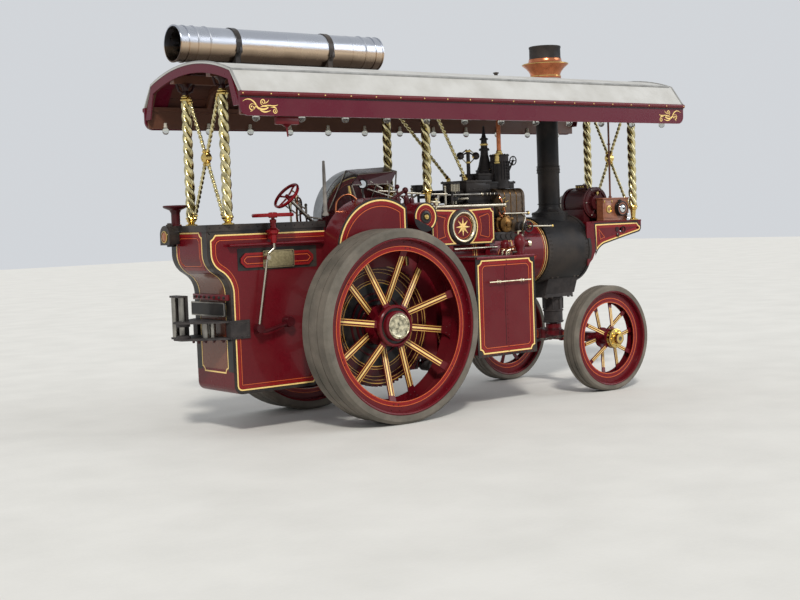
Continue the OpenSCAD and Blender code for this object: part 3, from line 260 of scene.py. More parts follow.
def finish_material(name, group, inputs, metallic=0.0, coat=0.0, bump=0.02, bump_depth=0.002, sheen=0.5):
    """A Principled material fed by one of the groups, with its own values."""
    material = bpy.data.materials.new(name)
    material.use_nodes = True
    tree = material.node_tree
    shader = tree.nodes["Principled BSDF"]
    for label, value in (("Metallic", metallic), ("Coat Weight", coat), ("Coat Roughness", 0.06),
                         ("Specular IOR Level", sheen)):
        shader.inputs[label].default_value = value
    look = tree.nodes.new("ShaderNodeGroup")
    look.node_tree = group
    for label, value in inputs.items():
        look.inputs[label].default_value = value
    tree.links.new(look.outputs["Colour"], shader.inputs["Base Color"])
    tree.links.new(look.outputs["Roughness"], shader.inputs["Roughness"])
    relief = tree.nodes.new("ShaderNodeBump")
    relief.inputs["Strength"].default_value = bump
    relief.inputs["Distance"].default_value = bump_depth
    tree.links.new(look.outputs["Height"], relief.inputs["Height"])
    tree.links.new(relief.outputs["Normal"], shader.inputs["Normal"])
    return material


def paint(name, colour, dust=0.03, smooth=0.22, rough=0.42, coat=0.16):
    return finish_material(name, COAT, {"Colour": colour, "Dust": dust, "Smooth": smooth, "Rough": rough},
                           coat=coat, bump=0.05, bump_depth=0.004, sheen=0.18)


def polished(name, clean, tarnish, amount=0.4, scale=7.0, smooth=0.12, rough=0.38):
    return finish_material(name, POLISH, {"Clean": clean, "Tarnish": tarnish, "Amount": amount,
                                          "Scale": scale, "Smooth": smooth, "Rough": rough}, metallic=1.0,
                           bump=0.05, bump_depth=0.0006)


def rough(name, colour, second, patch=6.0, grain=120.0, smooth=0.6, dull=0.9, bump=0.25, depth=0.0015,
          metallic=0.0):
    return finish_material(name, SURFACE, {"Colour": colour, "Second": second, "Patch scale": patch,
                                           "Grain scale": grain, "Smooth": smooth, "Rough": dull},
                           metallic=metallic, bump=bump, bump_depth=depth)


MAROON_PAINT = paint("maroon_paint", MAROON)
DEEP_PAINT = paint("deep_maroon_paint", DEEP_MAROON)
BOARD_PAINT = paint("board_paint", screen(92, 20, 38))
RIM_RED = paint("rim_red", screen(116, 18, 28))
RED_PAINT = paint("lining_red_paint", LINING_RED, dust=0.05)
ORANGE_LINE = paint("orange_line", LINING_ORANGE, dust=0.04, coat=0.3)
CREAM_LINE = paint("cream_line", CREAM, dust=0.04, coat=0.3)
GOLD_LINE = paint("gold_line", GOLD, dust=0.04, coat=0.4)
BLACK_PAINT = paint("black_paint", BLACK, dust=0.2, smooth=0.28, rough=0.5, coat=0.25)
SMOKE_BLACK = paint("smokebox_black", screen(30, 29, 30), dust=0.15, smooth=0.4, rough=0.6, coat=0.0)
WHEEL_RED = paint("hand_wheel_red", screen(128, 16, 24))
ROOF_CANVAS = rough("roof_canvas", ROOF_GREY, screen(166, 164, 158), patch=3.0, grain=220.0, smooth=0.5,
                    dull=0.75, bump=0.2)
RIM_GREY = rough("roof_rim", screen(150, 150, 148), screen(118, 118, 116), patch=9.0)
BRASS_METAL = polished("brass", BRASS, screen(120, 92, 44))
COLUMN_BRASS = polished("column_brass", screen(228, 216, 168), screen(74, 66, 34), amount=0.75,
                        scale=16.0, smooth=0.14, rough=0.34)
DAPPLED_BRASS = polished("dappled_brass", screen(232, 222, 190), screen(44, 48, 40), amount=1.0,
                         scale=26.0, smooth=0.2, rough=0.42)
COPPER_METAL = polished("copper", COPPER, screen(122, 66, 44), amount=0.6, scale=12.0)
STEEL_METAL = polished("bright_steel", STEEL, screen(96, 92, 88), amount=0.7, smooth=0.25, rough=0.5)
# Steel of the chimney's spare length and its beads, with painted light: a lighter top and painted shade
# underneath
TUBE_STEEL = finish_material("tube_steel", TUBE, {}, metallic=1.0, bump=0.05, bump_depth=0.0006)
WORN_STEEL = rough("worn_steel", DARK_STEEL, screen(112, 104, 94), patch=18.0, grain=160.0, smooth=0.35,
                   dull=0.6, metallic=0.8, bump=0.15)
IRON_CAST = rough("cast_iron", IRON, screen(66, 60, 58), patch=12.0, grain=90.0, smooth=0.5, dull=0.75,
                  metallic=0.3, bump=0.3)
TYRE_RUBBER = rough("tyre_rubber", RUBBER, screen(114, 106, 95), patch=4.0, grain=70.0, smooth=0.7,
                    dull=0.95, bump=0.35, depth=0.003)
LAGGING = rough("lagging_sheet", screen(84, 66, 46), screen(54, 44, 34), patch=20.0, grain=60.0,
                smooth=0.35, dull=0.55, bump=0.1)
TIMBER_WOOD = finish_material("timber", WOOD, {}, coat=0.2, bump=0.15)
BOX_WOOD = finish_material("box_wood", WOOD,
                           {"Light": screen(150, 92, 62), "Dark": screen(112, 62, 42),
                            "Grain scale": 22.0}, coat=0.4, bump=0.1)
CEILING_WOOD = finish_material("ceiling_boards", WOOD,
                               {"Light": screen(88, 50, 36), "Dark": screen(54, 30, 24),
                                "Grain scale": 9.0}, coat=0.3, bump=0.1)
# Near-black maroon: painted shade under the board mouldings and in a bracket hole, dark joints, and the
# dark iron of the column hangers
SHADOW_LINE = paint("groove_maroon", screen(40, 10, 14), dust=0.05, coat=0.2)
SOCKET_WHITE = paint("socket_white", screen(196, 190, 176), dust=0.3, smooth=0.3, coat=0.2)
RIVET_PAINT = paint("rivet_maroon", screen(88, 22, 28), smooth=0.45, rough=0.6, coat=0.0)
PLATE_BRASS = polished("plate_brass", screen(190, 176, 136), screen(104, 92, 60), amount=0.7, scale=34.0,
                       smooth=0.3, rough=0.5)
AMBER_GLASS = paint("amber_glass", screen(150, 84, 30), smooth=0.08, rough=0.2, coat=0.8)
DARK_STUD = paint("dark_stud", screen(44, 34, 36), smooth=0.4, rough=0.55, coat=0.1)
BROWN_PANEL = paint("brown_panel", screen(112, 58, 36), dust=0.2, smooth=0.2, coat=0.5)
PALE_BRASS = polished("pale_brass", screen(232, 222, 190), screen(150, 130, 92), amount=0.4, scale=14.0,
                      smooth=0.16, rough=0.34)
PALE_STEEL = polished("pale_steel", screen(196, 188, 170), screen(124, 114, 96), amount=0.6, scale=9.0,
                      smooth=0.18, rough=0.38)
# Mauve: a painted highlight, sky light on the maroon edges of the footboards
MAUVE_HIGHLIGHT = paint("edge_mauve_highlight", screen(120, 44, 54), dust=0.2, smooth=0.25)
FLYWHEEL_STEEL = polished("flywheel_steel", screen(150, 152, 152), screen(92, 92, 92), amount=0.6,
                          scale=6.0, smooth=0.22, rough=0.45)
BRONZE = polished("bronze", screen(132, 98, 56), screen(58, 40, 26), amount=0.9, scale=18.0, smooth=0.22,
                  rough=0.5)
DARK_IRON = paint("chest_black", screen(34, 32, 34), dust=0.12, smooth=0.34, rough=0.55, coat=0.15)
LAMP_CHROME = polished("lamp_chrome", screen(232, 236, 238), screen(120, 124, 130), amount=0.4,
                       scale=20.0, smooth=0.08, rough=0.25)
MOTION_STEEL = polished("motion_steel", screen(158, 152, 142), screen(84, 78, 72), amount=0.7, scale=26.0,
                        smooth=0.28, rough=0.55)
ZINC_GREY = rough("zinc_grey", screen(136, 130, 122), screen(98, 94, 90), patch=14.0, grain=90.0,
                  smooth=0.5, dull=0.8, bump=0.1)
COAL_BLACK = rough("coal_black", screen(26, 25, 27), screen(44, 42, 44), patch=20.0, grain=60.0,
                   smooth=0.35, dull=0.7, bump=0.4)


def make_globe_glass():
    """Clear lamp glass with a faint film of dust."""
    material = bpy.data.materials.new("lamp_glass")
    material.use_nodes = True
    tree = material.node_tree
    shader = tree.nodes["Principled BSDF"]
    shader.inputs["Transmission Weight"].default_value = 0.9
    shader.inputs["IOR"].default_value = 1.35
    film = tree.nodes.new("ShaderNodeGroup")
    film.node_tree = COAT
    film.inputs["Colour"].default_value = screen(226, 228, 222)
    film.inputs["Dust"].default_value = 0.25
    film.inputs["Smooth"].default_value = 0.04
    film.inputs["Rough"].default_value = 0.2
    tree.links.new(film.outputs["Colour"], shader.inputs["Base Color"])
    tree.links.new(film.outputs["Roughness"], shader.inputs["Roughness"])
    return material


CLEAR_GLASS = make_globe_glass()
PLATE_BLACK = paint("plate_black", screen(20, 20, 21), dust=0.1, smooth=0.3, rough=0.45)


NODE_MATERIALS = [
    (MAROON_PAINT, "firebox_and_hornplates boiler_barrel tender tender_side_shelves side_tanks "
     "footboards gear_covers motion_covers feed_pump dynamo_bracket flywheel front_axle "
     "front_wheel_near front_wheel_far rear_wheel_near rear_wheel_far"),
    (SMOKE_BLACK, "smokebox smokebox_door chimney"),
    (COPPER_METAL, "chimney_cap copper_pipes"),
    (TUBE_STEEL, "chimney_extension"),
    (BLACK_PAINT, "extension_straps tender_coping"),
    (ROOF_CANVAS, "canopy_roof"),
    (TIMBER_WOOD, "canopy_frame canopy_ribs"),
    (BOARD_PAINT, "canopy_boards"),
    (COLUMN_BRASS, "canopy_columns column_braces"),
    (IRON_CAST, "drawbar_frame steam_chest perch_bracket steering_gear"),
    (STEEL_METAL, "rope_rollers motion_work dynamo_pulley"),
    (PLATE_BLACK, "rear_lamp_and_plate"),
    (LAGGING, "cylinder_block"),
    (DEEP_PAINT, "dynamo rear_axle winding_drum"),
    (BOX_WOOD, "switch_box"),
    (WORN_STEEL, "steering_chains"),
    (WHEEL_RED, "control_wheels"),
    (TYRE_RUBBER, "front_tyre_near front_tyre_far rear_tyre_near rear_tyre_far"),
]
for material, names in NODE_MATERIALS:
    for node_name in names.split():
        slots = nodes[node_name].data.materials
        slots.clear()
        slots.append(material)


# Builders that the pieces share

def meshes(count):
    return [bmesh.new() for _ in range(count)]


def new_piece(name, mesh, material, body="engine", sharp=32):
    """A shown piece made from a bmesh; it rides on one of the engine's bodies."""
    bmesh.ops.recalc_face_normals(mesh, faces=mesh.faces)
    data = bpy.data.meshes.new(name)
    mesh.to_mesh(data)
    mesh.free()
    data.materials.append(material)
    data.shade_smooth()
    data.set_sharp_from_angle(angle=math.radians(sharp))
    piece = bpy.data.objects.new(name, data)
    bpy.context.scene.collection.objects.link(piece)
    if body:
        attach(piece, body)
    return piece


def across(direction):
    """Two unit vectors that stand square to a direction and to each other."""
    direction = direction.normalized()
    helper = Vector(UP) if abs(direction.z) < 0.9 else Vector(AHEAD)
    first = direction.cross(helper).normalized()
    return first, direction.cross(first)


def heading(first, second, angle):
    """The direction at an angle, in radians, from the first of two square directions."""
    return math.cos(angle) * first + math.sin(angle) * second


def around(count, plane, shift=0.0):
    """Unit vectors spread evenly round a circle; the plane names its two axes."""
    first, second = (Vector([float(axis == name) for axis in "xyz"]) for name in plane)
    for i in range(count):
        yield heading(first, second, 2 * math.pi * (i + shift) / count)


def join_rings(mesh, rings):
    """Faces between rings of vertices; a ring of one vertex closes to a point."""
    for low, high in zip(rings, rings[1:]):
        count = max(len(low), len(high))
        for i in range(count):
            j = (i + 1) % count
            corners = [low[i % len(low)], low[j % len(low)], high[j % len(high)], high[i % len(high)]]
            unique = list(dict.fromkeys(corners))
            if len(unique) > 2:
                mesh.faces.new(unique)


def add_lathe(mesh, base, direction, profile, sides=24):
    """A turned shape: profile holds (radius, distance along the direction)."""
    direction = Vector(direction).normalized()
    first, second = across(direction)
    rings = []
    for radius, along in profile:
        centre = Vector(base) + direction * along
        if radius < 1e-6:
            rings.append([mesh.verts.new(centre)])
            continue
        rings.append([mesh.verts.new(centre + radius * heading(first, second, a))
                      for a in (2 * math.pi * i / sides for i in range(sides))])
    join_rings(mesh, rings)


def add_bar(mesh, start, end, radius, sides=12, end_radius=None):
    """A round bar between two points, with closed ends."""
    start, end = Vector(start), Vector(end)
    last = radius if end_radius is None else end_radius
    length = (end - start).length
    add_lathe(mesh, start, end - start, [(0, 0), (radius, 0), (last, length), (0, length)], sides)


def add_dome(mesh, place, out, radius):
    """A rivet or bolt head."""
    add_lathe(mesh, place, out, [(radius, -radius * 0.2), (radius, radius * 0.15),
                                 (radius * 0.6, radius * 0.6), (0, radius * 0.72)], 6)


def ring_profile(inner, outer, width, slope=0):
    """Profile of a ring whose ends may slant; with no inner radius it is a disc."""
    return [(inner, 0), (outer, slope), (outer, width - slope), (inner, width)]


def band_profile(first, last, thick):
    """Profile of a flat band laid on a turned face."""
    return [(first, 0), (first, thick), (last, thick), (last, 0)]


def add_nut(mesh, place, out, radius, thick, crown=0):
    """A six sided nut or bolt head, flat or with a low crown."""
    add_lathe(mesh, place, out, [(0, 0), (radius, 0), (radius, thick), (0, thick + crown)], 6)


def add_ball(mesh, centre, radius, sides=16):
    steps = max(4, sides // 2)
    profile = [(radius * math.sin(math.pi * i / steps), -radius * math.cos(math.pi * i / steps))
               for i in range(steps + 1)]
    profile[0] = (0, profile[0][1])
    profile[-1] = (0, profile[-1][1])
    add_lathe(mesh, centre, UP, profile, sides)


def add_pipe(mesh, points, radius, sides=8, closed=False):
    """A round pipe along a line of points."""
    points = [Vector(p) for p in points]
    count = len(points)
    rings = []
    side = None
    for i, point in enumerate(points):
        if closed:
            direction = points[(i + 1) % count] - points[i - 1]
        else:
            direction = points[min(i + 1, count - 1)] - points[max(i - 1, 0)]
        direction.normalize()
        if side is None:
            side = across(direction)[0]
        side = (side - direction * side.dot(direction)).normalized()
        other = direction.cross(side)
        rings.append([mesh.verts.new(point + radius * heading(side, other, a))
                      for a in (2 * math.pi * k / sides for k in range(sides))])
    if closed:
        rings.append(rings[0])
    else:
        rings.insert(0, [mesh.verts.new(points[0])])
        rings.append([mesh.verts.new(points[-1])])
    join_rings(mesh, rings)


def add_block(mesh, low, high, bevel=0.0):
    """A block between two corners, with its edges taken off by a bevel."""
    low, high = Vector(low), Vector(high)
    corners = [mesh.verts.new((x, y, z)) for x in (low.x, high.x) for y in (low.y, high.y)
               for z in (low.z, high.z)]
    faces = [mesh.faces.new([corners[i] for i in order])
             for order in ((0, 1, 3, 2), (4, 6, 7, 5), (0, 4, 5, 1), (2, 3, 7, 6), (0, 2, 6, 4),
                           (1, 5, 7, 3))]
    if bevel:
        edges = dict.fromkeys(edge for face in faces for edge in face.edges)
        bmesh.ops.bevel(mesh, geom=list(edges), offset=bevel, segments=2, affect="EDGES", profile=0.5)


class Face:
    """A flat face of the engine: along and up run in it, out stands off it."""

    def __init__(self, origin, along, up, out):
        self.origin = Vector(origin)
        self.along = Vector(along)
        self.up = Vector(up)
        self.out = Vector(out)

    def at(self, u, v, lift=0.0):
        return self.origin + u * self.along + v * self.up + lift * self.out


def side_face(y, side=NEAR):
    """The face at distance y from the middle line; u is X and v is Z."""
    return Face((0, side * y, 0), AHEAD, UP, (0, side, 0))


def back_face(x):
    """A face that looks backwards; u is Y and v is Z."""
    return Face((x, 0, 0), TO_FAR, UP, BACKWARD)


def arc_points(centre, radius, start, end, count=8):
    found = []
    for i in range(count + 1):
        angle = math.radians(start + (end - start) * i / count)
        found.append((centre[0] + radius * math.cos(angle), centre[1] + radius * math.sin(angle)))
    return found


CORNER_STEPS = 5


def notched(low, high, notch):
    """A rectangle whose corners are hollowed by quarter circles."""
    (u0, v0), (u1, v1) = low, high
    return [point for corner, start in (((u0, v0), 90), ((u1, v0), 180), ((u1, v1), 270), ((u0, v1), 360))
            for point in arc_points(corner, notch, start, start - 90, CORNER_STEPS)]


def rounded(low, high, r):
    (u0, v0), (u1, v1) = low, high
    corners = (((u0 + r, v0 + r), 180), ((u1 - r, v0 + r), 270), ((u1 - r, v1 - r), 0),
               ((u0 + r, v1 - r), 90))
    return [point for corner, start in corners
            for point in arc_points(corner, r, start, start + 90, CORNER_STEPS)]


def circle_points(centre, radius, count=48):
    return arc_points(centre, radius, 0, 360 - 360 / count, count - 1)


def offset_line(points, distance, closed=True):
    """The points moved sideways by a distance, with mitred corners."""
    count = len(points)
    moved = []
    for i, (x, y) in enumerate(points):
        before = points[i - 1] if closed or i else None
        after = points[(i + 1) % count] if closed or i < count - 1 else None
        normals = []
        for a, b in ((before, (x, y)), ((x, y), after)):
            if a is None or b is None:
                continue
            length = math.hypot(b[0] - a[0], b[1] - a[1])
            if length > 1e-9:
                normals.append(((b[1] - a[1]) / length, (a[0] - b[0]) / length))
        nx = sum(n[0] for n in normals) / len(normals)
        ny = sum(n[1] for n in normals) / len(normals)
        scale = max(0.1, nx * nx + ny * ny)
        moved.append((x + nx * distance / scale, y + ny * distance / scale))
    return moved


def away_from(point, outline, closed):
    """How far a point is from the nearest part of an outline."""
    ends = zip(outline, outline[1:] + outline[:1]) if closed else zip(outline, outline[1:])
    nearest = 1e9
    for (ax, ay), (bx, by) in ends:
        dx, dy = bx - ax, by - ay
        length = dx * dx + dy * dy
        t = 0 if length < 1e-12 else ((point[0] - ax) * dx + (point[1] - ay) * dy) / length
        t = min(1, max(0, t))
        nearest = min(nearest, math.hypot(point[0] - ax - t * dx, point[1] - ay - t * dy))
    return nearest


def inset_line(points, distance, closed=True):
    """The points moved inwards, without the ones that a tight corner folds back."""
    area = sum(a[0] * b[1] - b[0] * a[1] for a, b in zip(points, points[1:] + points[:1]))
    if closed and area < 0:
        points = points[::-1]
    moved = offset_line(points, -distance, closed)
    return [p for p in moved if away_from(p, points, closed) > 0.96 * distance]


def add_line(mesh, face, points, width, lift=0.0012, closed=True):
    """A painted line: a thin strip that follows the points on a face."""
    inner = offset_line(points, -width / 2, closed)
    outer = offset_line(points, width / 2, closed)
    rows = []
    for a, b in zip(inner, outer):
        rows.append([mesh.verts.new(face.at(*a, 0)), mesh.verts.new(face.at(*a, lift)),
                     mesh.verts.new(face.at(*b, lift)), mesh.verts.new(face.at(*b, 0))])
    pairs = list(zip(rows, rows[1:]))
    if closed:
        pairs.append((rows[-1], rows[0]))
    for low, high in pairs:
        for i in range(3):
            mesh.faces.new((low[i], low[i + 1], high[i + 1], high[i]))


def add_panel(mesh, face, outline, bottom=0.0, top=0.002):
    """A flat plate with an outline, between two distances off a face."""
    low = [mesh.verts.new(face.at(*p, bottom)) for p in outline]
    high = [mesh.verts.new(face.at(*p, top)) for p in outline]
    mesh.faces.new(high)
    mesh.faces.new(list(reversed(low)))
    count = len(outline)
    for i in range(count):
        j = (i + 1) % count
        mesh.faces.new((low[i], low[j], high[j], high[i]))


def add_ring_plate(mesh, face, outer, inner, bottom=0.0, top=0.002):
    """A plate with a hole: both outlines have the same number of points."""
    rows = []
    for a, b in zip(outer, inner):
        rows.append([mesh.verts.new(face.at(*a, bottom)), mesh.verts.new(face.at(*a, top)),
                     mesh.verts.new(face.at(*b, top)), mesh.verts.new(face.at(*b, bottom))])
    for low, high in zip(rows, rows[1:] + rows[:1]):
        for i in range(4):
            j = (i + 1) % 4
            mesh.faces.new((low[i], low[j], high[j], high[i]))


def spaced(start, end, step):
    """Evenly spaced points from start to end, both counted."""
    start, end = Vector(start), Vector(end)
    count = max(1, round((end - start).length / step))
    return [start.lerp(end, i / count) for i in range(count + 1)]


def add_rivets(mesh, face, start, end, step, radius, lift=0.0):
    for point in spaced(start, end, step):
        add_dome(mesh, face.at(point.x, point.y, lift), face.out, radius)


def add_twist(mesh, start, end, strands, helix, strand, pitch, sides=8, steps=22):
    """Strands that twist to the left round a straight line."""
    start, end = Vector(start), Vector(end)
    direction = end - start
    length = direction.length
    first, second = across(direction)
    count = max(8, round(length / pitch * steps))
    for k in range(strands):
        route = []
        for i in range(count + 1):
            angle = -2 * math.pi * (k / strands + length / pitch * i / count)
            route.append(start + direction * i / count + helix * heading(first, second, angle))
        add_pipe(mesh, route, strand, sides)


# Wheels: painted spokes, lined rings, rivets, rim lips and hub caps

class Wheel:
    """Places on a wheel: a turn in degrees, a radius, a step across and a distance outwards."""

    def __init__(self, centre, side):
        self.centre = Vector(centre)
        self.side = side
        self.outward = Vector((0, side, 0))

    def radial(self, turn):
        return Vector((math.cos(math.radians(turn)), 0, -math.sin(math.radians(turn))))

    def tangent(self, turn):
        return Vector((-math.sin(math.radians(turn)), 0, -math.cos(math.radians(turn))))

    def at(self, turn, radius, step=0.0, out=0.0):
        return (self.centre + radius * self.radial(turn) + step * self.tangent(turn) + out * self.outward)

    def spoke_face(self, turn, start, end, half_thick):
        """The outer face of a leaning spoke; start and end hold (radius, distance outwards)."""
        first = self.at(turn, start[0], 0, start[1])
        last = self.at(turn, end[0], 0, end[1])
        along = (last - first).normalized()
        up = self.tangent(turn)
        out = along.cross(up)
        if out.dot(self.outward) < 0:
            out = -out
        return Face(first + out * half_thick, along, up, out), (last - first).length

    def turned(self, mesh, out, profile, sides=72):
        add_lathe(mesh, self.at(0, 0, 0, out), self.outward, profile, sides)

    def hoop(self, mesh, radius, width, out):
        low, high = radius - width / 2, radius + width / 2
        self.turned(mesh, out, band_profile(low, high, PAINT), 96)


REAR_SIZE = {
    "spokes": 12, "first": 8, "spoke_w": 0.074, "spoke_t": 0.016, "hub_end": 0.1188, "rim_end": 0.880,
    "flange_out": 0.020, "flange_in": -0.196, "seat": 0.127, "flange_face": 0.033, "bolt_r": 0.19,
    "bolt": 0.011, "line_from": 0.245, "line_to": 0.768, "line_more": 0.06, "flare": 0.085,
    "ring_r": 0.770, "ring_face": 0.145, "rim_in": 0.886, "rim_out": 0.908, "half_w": 0.205,
    "rim_rivet": 0.168, "rivet": 0.0105, "rivet_count": 38, "band": RED_PAINT,
    # Spoke lines as (step across, width, paint): two gold edge lines, and a cream centre line that is
    # real lining and partly a painted highlight of the sun along the spoke
    "lines": [(-0.029, 0.008, GOLD_LINE), (0.029, 0.008, GOLD_LINE), (0, 0.019, CREAM_LINE)],
}
FRONT_SIZE = {
    "spokes": 10, "first": -8, "spoke_w": 0.044, "spoke_t": 0.012, "hub_end": 0.0649, "rim_end": 0.528,
    "flange_out": 0.096, "flange_in": -0.062, "seat": 0.036, "flange_face": 0.106, "bolt_r": 0.104,
    "bolt": 0.006, "line_from": 0.135, "line_to": 0.410, "line_more": 0.05, "flare": 0.055,
    "ring_r": 0.412, "ring_face": 0.050, "rim_in": 0.534, "rim_out": 0.552, "half_w": 0.098,
    "rim_rivet": 0.076, "rivet": 0.0075, "rivet_count": 30, "band": RIM_RED,
    "lines": [(-0.011, 0.010, CREAM_LINE), (0.011, 0.010, CREAM_LINE)],
}


def dress_spokes(name, body, wheel, size):
    lines = {}
    ends, bolts = meshes(2)
    half = size["spoke_w"] / 2
    for i in range(size["spokes"]):
        turn = size["first"] + 360 / size["spokes"] * i
        to_inner_ring = i % 2 == 0
        start = (size["hub_end"], size["flange_out"] if to_inner_ring else size["flange_in"])
        end = (size["rim_end"], -size["seat"] if to_inner_ring else size["seat"])
        face, length = wheel.spoke_face(turn, start, end, size["spoke_t"] / 2)
        radius_run = size["rim_end"] - size["hub_end"]
        u0 = (size["line_from"] - size["hub_end"]) * length / radius_run
        line_to = size["line_to"] + (size["line_more"] if to_inner_ring else 0)
        u1 = (line_to - size["hub_end"]) * length / radius_run
        for v, width, material in size["lines"]:
            mesh = lines.setdefault(material.name, (bmesh.new(), material))[0]
            add_line(mesh, face, [(u0, v), (u1, v)], width, closed=False)
        flare = size["flare"]
        back = size["rim_in"] - size["ring_r"]
        outline = [(length - back * 1.5, half), (length - back * 0.9, half * 1.15),
                   (length - back * 0.45, half + (flare - half) * 0.55), (length - back * 0.15, flare),
                   (length, flare)]
        outline += [(u, -v) for u, v in reversed(outline)]
        add_panel(ends, face, outline, -size["spoke_t"] - 0.0015, 0.0015)
        for back_off, off in ((0.72, 0.36), (0.25, 0.62)):
            for side in (-1, 1):
                v = side * flare * off
                if to_inner_ring:
                    place = face.at(length - back * back_off, v, 0.0015)
                    add_dome(bolts, place, face.out, size["rivet"])
                else:
                    place = wheel.at(turn, size["rim_in"] - back * back_off, v, size["ring_face"])
                    add_dome(bolts, place, wheel.outward, size["rivet"])
        middle_turn = turn + 180 / size["spokes"]
        add_bar(bolts, wheel.at(middle_turn, size["bolt_r"], 0, size["flange_face"] - 0.002),
                wheel.at(middle_turn, size["bolt_r"], 0, size["flange_face"] + size["bolt"]),
                size["bolt"], 6)
    new_piece(name + "_spoke_ends", ends, MAROON_PAINT, body)
    for label, (mesh, material) in lines.items():
        new_piece(name + "_spoke_" + label, mesh, material, body)
    step = 360 / size["rivet_count"]
    for i in range(size["rivet_count"]):
        turn = (i + 0.5) * step
        for out in (size["rim_rivet"], -size["rim_rivet"]):
            add_dome(bolts, wheel.at(turn, size["rim_in"], 0, out), -wheel.radial(turn), size["rivet"])
    new_piece(name + "_rivets", bolts, RIVET_PAINT, body)


def dress_rim(name, body, wheel, size):
    lip = bmesh.new()
    low, high = size["rim_in"], size["rim_out"]
    for side in (-1, 1):
        profile = [(low - 0.001, -0.022), (low - 0.004, -0.008), (low + 0.001, 0.003),
                   ((low + high) / 2, 0.007), (high - 0.002, 0.003), (high, -0.004)]
        add_lathe(lip, wheel.at(0, 0, 0, side * size["half_w"]), wheel.outward * side, profile, 96)
    new_piece(name + "_lip", lip, MAROON_PAINT, body)
    band, thin = meshes(2)
    inner, depth = size["ring_r"], size["rim_in"] - size["ring_r"]
    for side in (-1, 1):
        for start, width, mesh in ((0.02, 0.06, thin), (0.1, 0.26, band), (0.38, 0.06, thin)):
            low, high = inner + depth * start, inner + depth * (start + width)
            add_lathe(mesh, wheel.at(0, 0, 0, side * size["ring_face"]), wheel.outward * side,
                      band_profile(low, high, PAINT), 96)
    new_piece(name + "_ring_band", band, size["band"], body)
    new_piece(name + "_ring_lines", thin, ORANGE_LINE, body)


def dress_rear_hub(name, body, wheel):
    # Black band on the flange: painted shade in the recess between the flange's lip and the cap
    shade = bmesh.new()
    wheel.turned(shade, 0.033, band_profile(0.154, 0.186, 0.002))
    new_piece(name + "_hub_recess_shade", shade, BLACK_PAINT, body)
    raised = bmesh.new()
    wheel.turned(raised, 0.033, [(0.182, 0), (0.184, 0.014), (0.19, 0.022), (0.204, 0.022),
                                 (0.214, 0.014), (0.2175, 0), (0.2175, -0.022)])
    wheel.turned(raised, 0.086, [(0.156, -0.05), (0.157, -0.006), (0.154, 0), (0.146, 0.006),
                                 (0.139, 0.008), (0.137, 0.0165), (0.133, 0.0185)])
    new_piece(name + "_hub_rings", raised, MAROON_PAINT, body)
    disc = bmesh.new()
    wheel.turned(disc, 0.101, [(0.134, 0), (0.134, 0.005), (0.131, 0.0085), (0.126, 0.009),
                               (0.1225, 0.006), (0.121, 0.002), (0.112, 0.0025), (0.108, 0.004),
                               (0.103, 0.0025), (0.05, 0.004), (0, 0.0045)])
    for i in range(24):
        add_dome(disc, wheel.at(i * 15, 0.1165, 0, 0.1035), wheel.outward, 0.0035)
    new_piece(name + "_hub_disc", disc, DAPPLED_BRASS, body)


def dress_front_hub(name, body, wheel):
    brass = bmesh.new()
    wheel.turned(brass, 0.0, [(0.1135, 0.112), (0.1145, 0.118), (0.1145, 0.154), (0.112, 0.16),
                              (0.104, 0.162), (0.094, 0.162), (0.066, 0.164), (0.062, 0.17),
                              (0.061, 0.214), (0.056, 0.222), (0.03, 0.2235), (0, 0.2235)])
    for i in range(8):
        add_bar(brass, wheel.at(i * 45, 0.082, 0, 0.16), wheel.at(i * 45, 0.082, 0, 0.172), 0.0075, 6)
    new_piece(name + "_hub_brass", brass, BRASS_METAL, body)
    nose = bmesh.new()
    wheel.turned(nose, 0.2, [(0.026, 0), (0.026, 0.0242), (0.021, 0.0242), (0.019, 0.0236), (0, 0.0236)],
                 24)
    new_piece(name + "_hub_mark", nose, WORN_STEEL, body)


WHEEL_KINDS = (("rear", REAR_AXLE.x, REAR_WHEEL_Y, REAR_R, REAR_SIZE, dress_rear_hub),
               ("front", FRONT_AXLE.x, FRONT_WHEEL_Y, FRONT_R, FRONT_SIZE, dress_front_hub))
for side, end in ((NEAR, "near"), (FAR, "far")):
    for kind, x, y, radius, size, dress_hub in WHEEL_KINDS:
        wheel = Wheel((x, side * y, radius), side)
        name, body = kind + "_" + end, kind + "_wheel_" + end
        dress_spokes(name, body, wheel, size)
        dress_rim(name, body, wheel, size)
        dress_hub(name, body, wheel)


def dress_driving_gear():
    """Lining on the gear's rim and web, and a wide black band of painted shadow on the web, seen between
    the near wheel's spokes.
    """
    gear = Wheel((REAR_AXLE.x, 0, REAR_R), NEAR)
    rim_face, web_face = 0.619, 0.583
    gold, dark = meshes(2)
    for radius, width, out in ((0.614, 0.008, rim_face), (0.58, 0.004, rim_face),
                               (0.545, 0.004, web_face), (0.468, 0.005, web_face),
                               (0.44, 0.009, web_face)):
        gear.hoop(gold, radius, width, out)
    gear.turned(dark, web_face, band_profile(0.152, 0.434, 0.001))
    new_piece("gear_lines", gold, GOLD_LINE)
    new_piece("gear_shadow", dark, BLACK_PAINT)
    rings = bmesh.new()
    for radius in (0.2, 0.26, 0.33):
        gear.turned(rings, web_face, [(radius - 0.012, 0), (radius - 0.01, 0.012), (radius + 0.01, 0.012),
                                      (radius + 0.012, 0)])
    new_piece("gear_web_rings", rings, DEEP_PAINT)


dress_driving_gear()


# Canopy: mouldings and scrolls on the boards, boarded ceiling, lamps, columns and braces

CANOPY_X0, CANOPY_X1 = BOARD_LOW.x, BOARD_HIGH.x
SHOULDER = (0.8, 3.57)
ROOF_SKIN = 0.018
EXTENSION_R = 0.182
ROOF_STEPS = 16
BULB_STEP, BULB_R, BULB_Z = 0.52, 0.037, 3.104


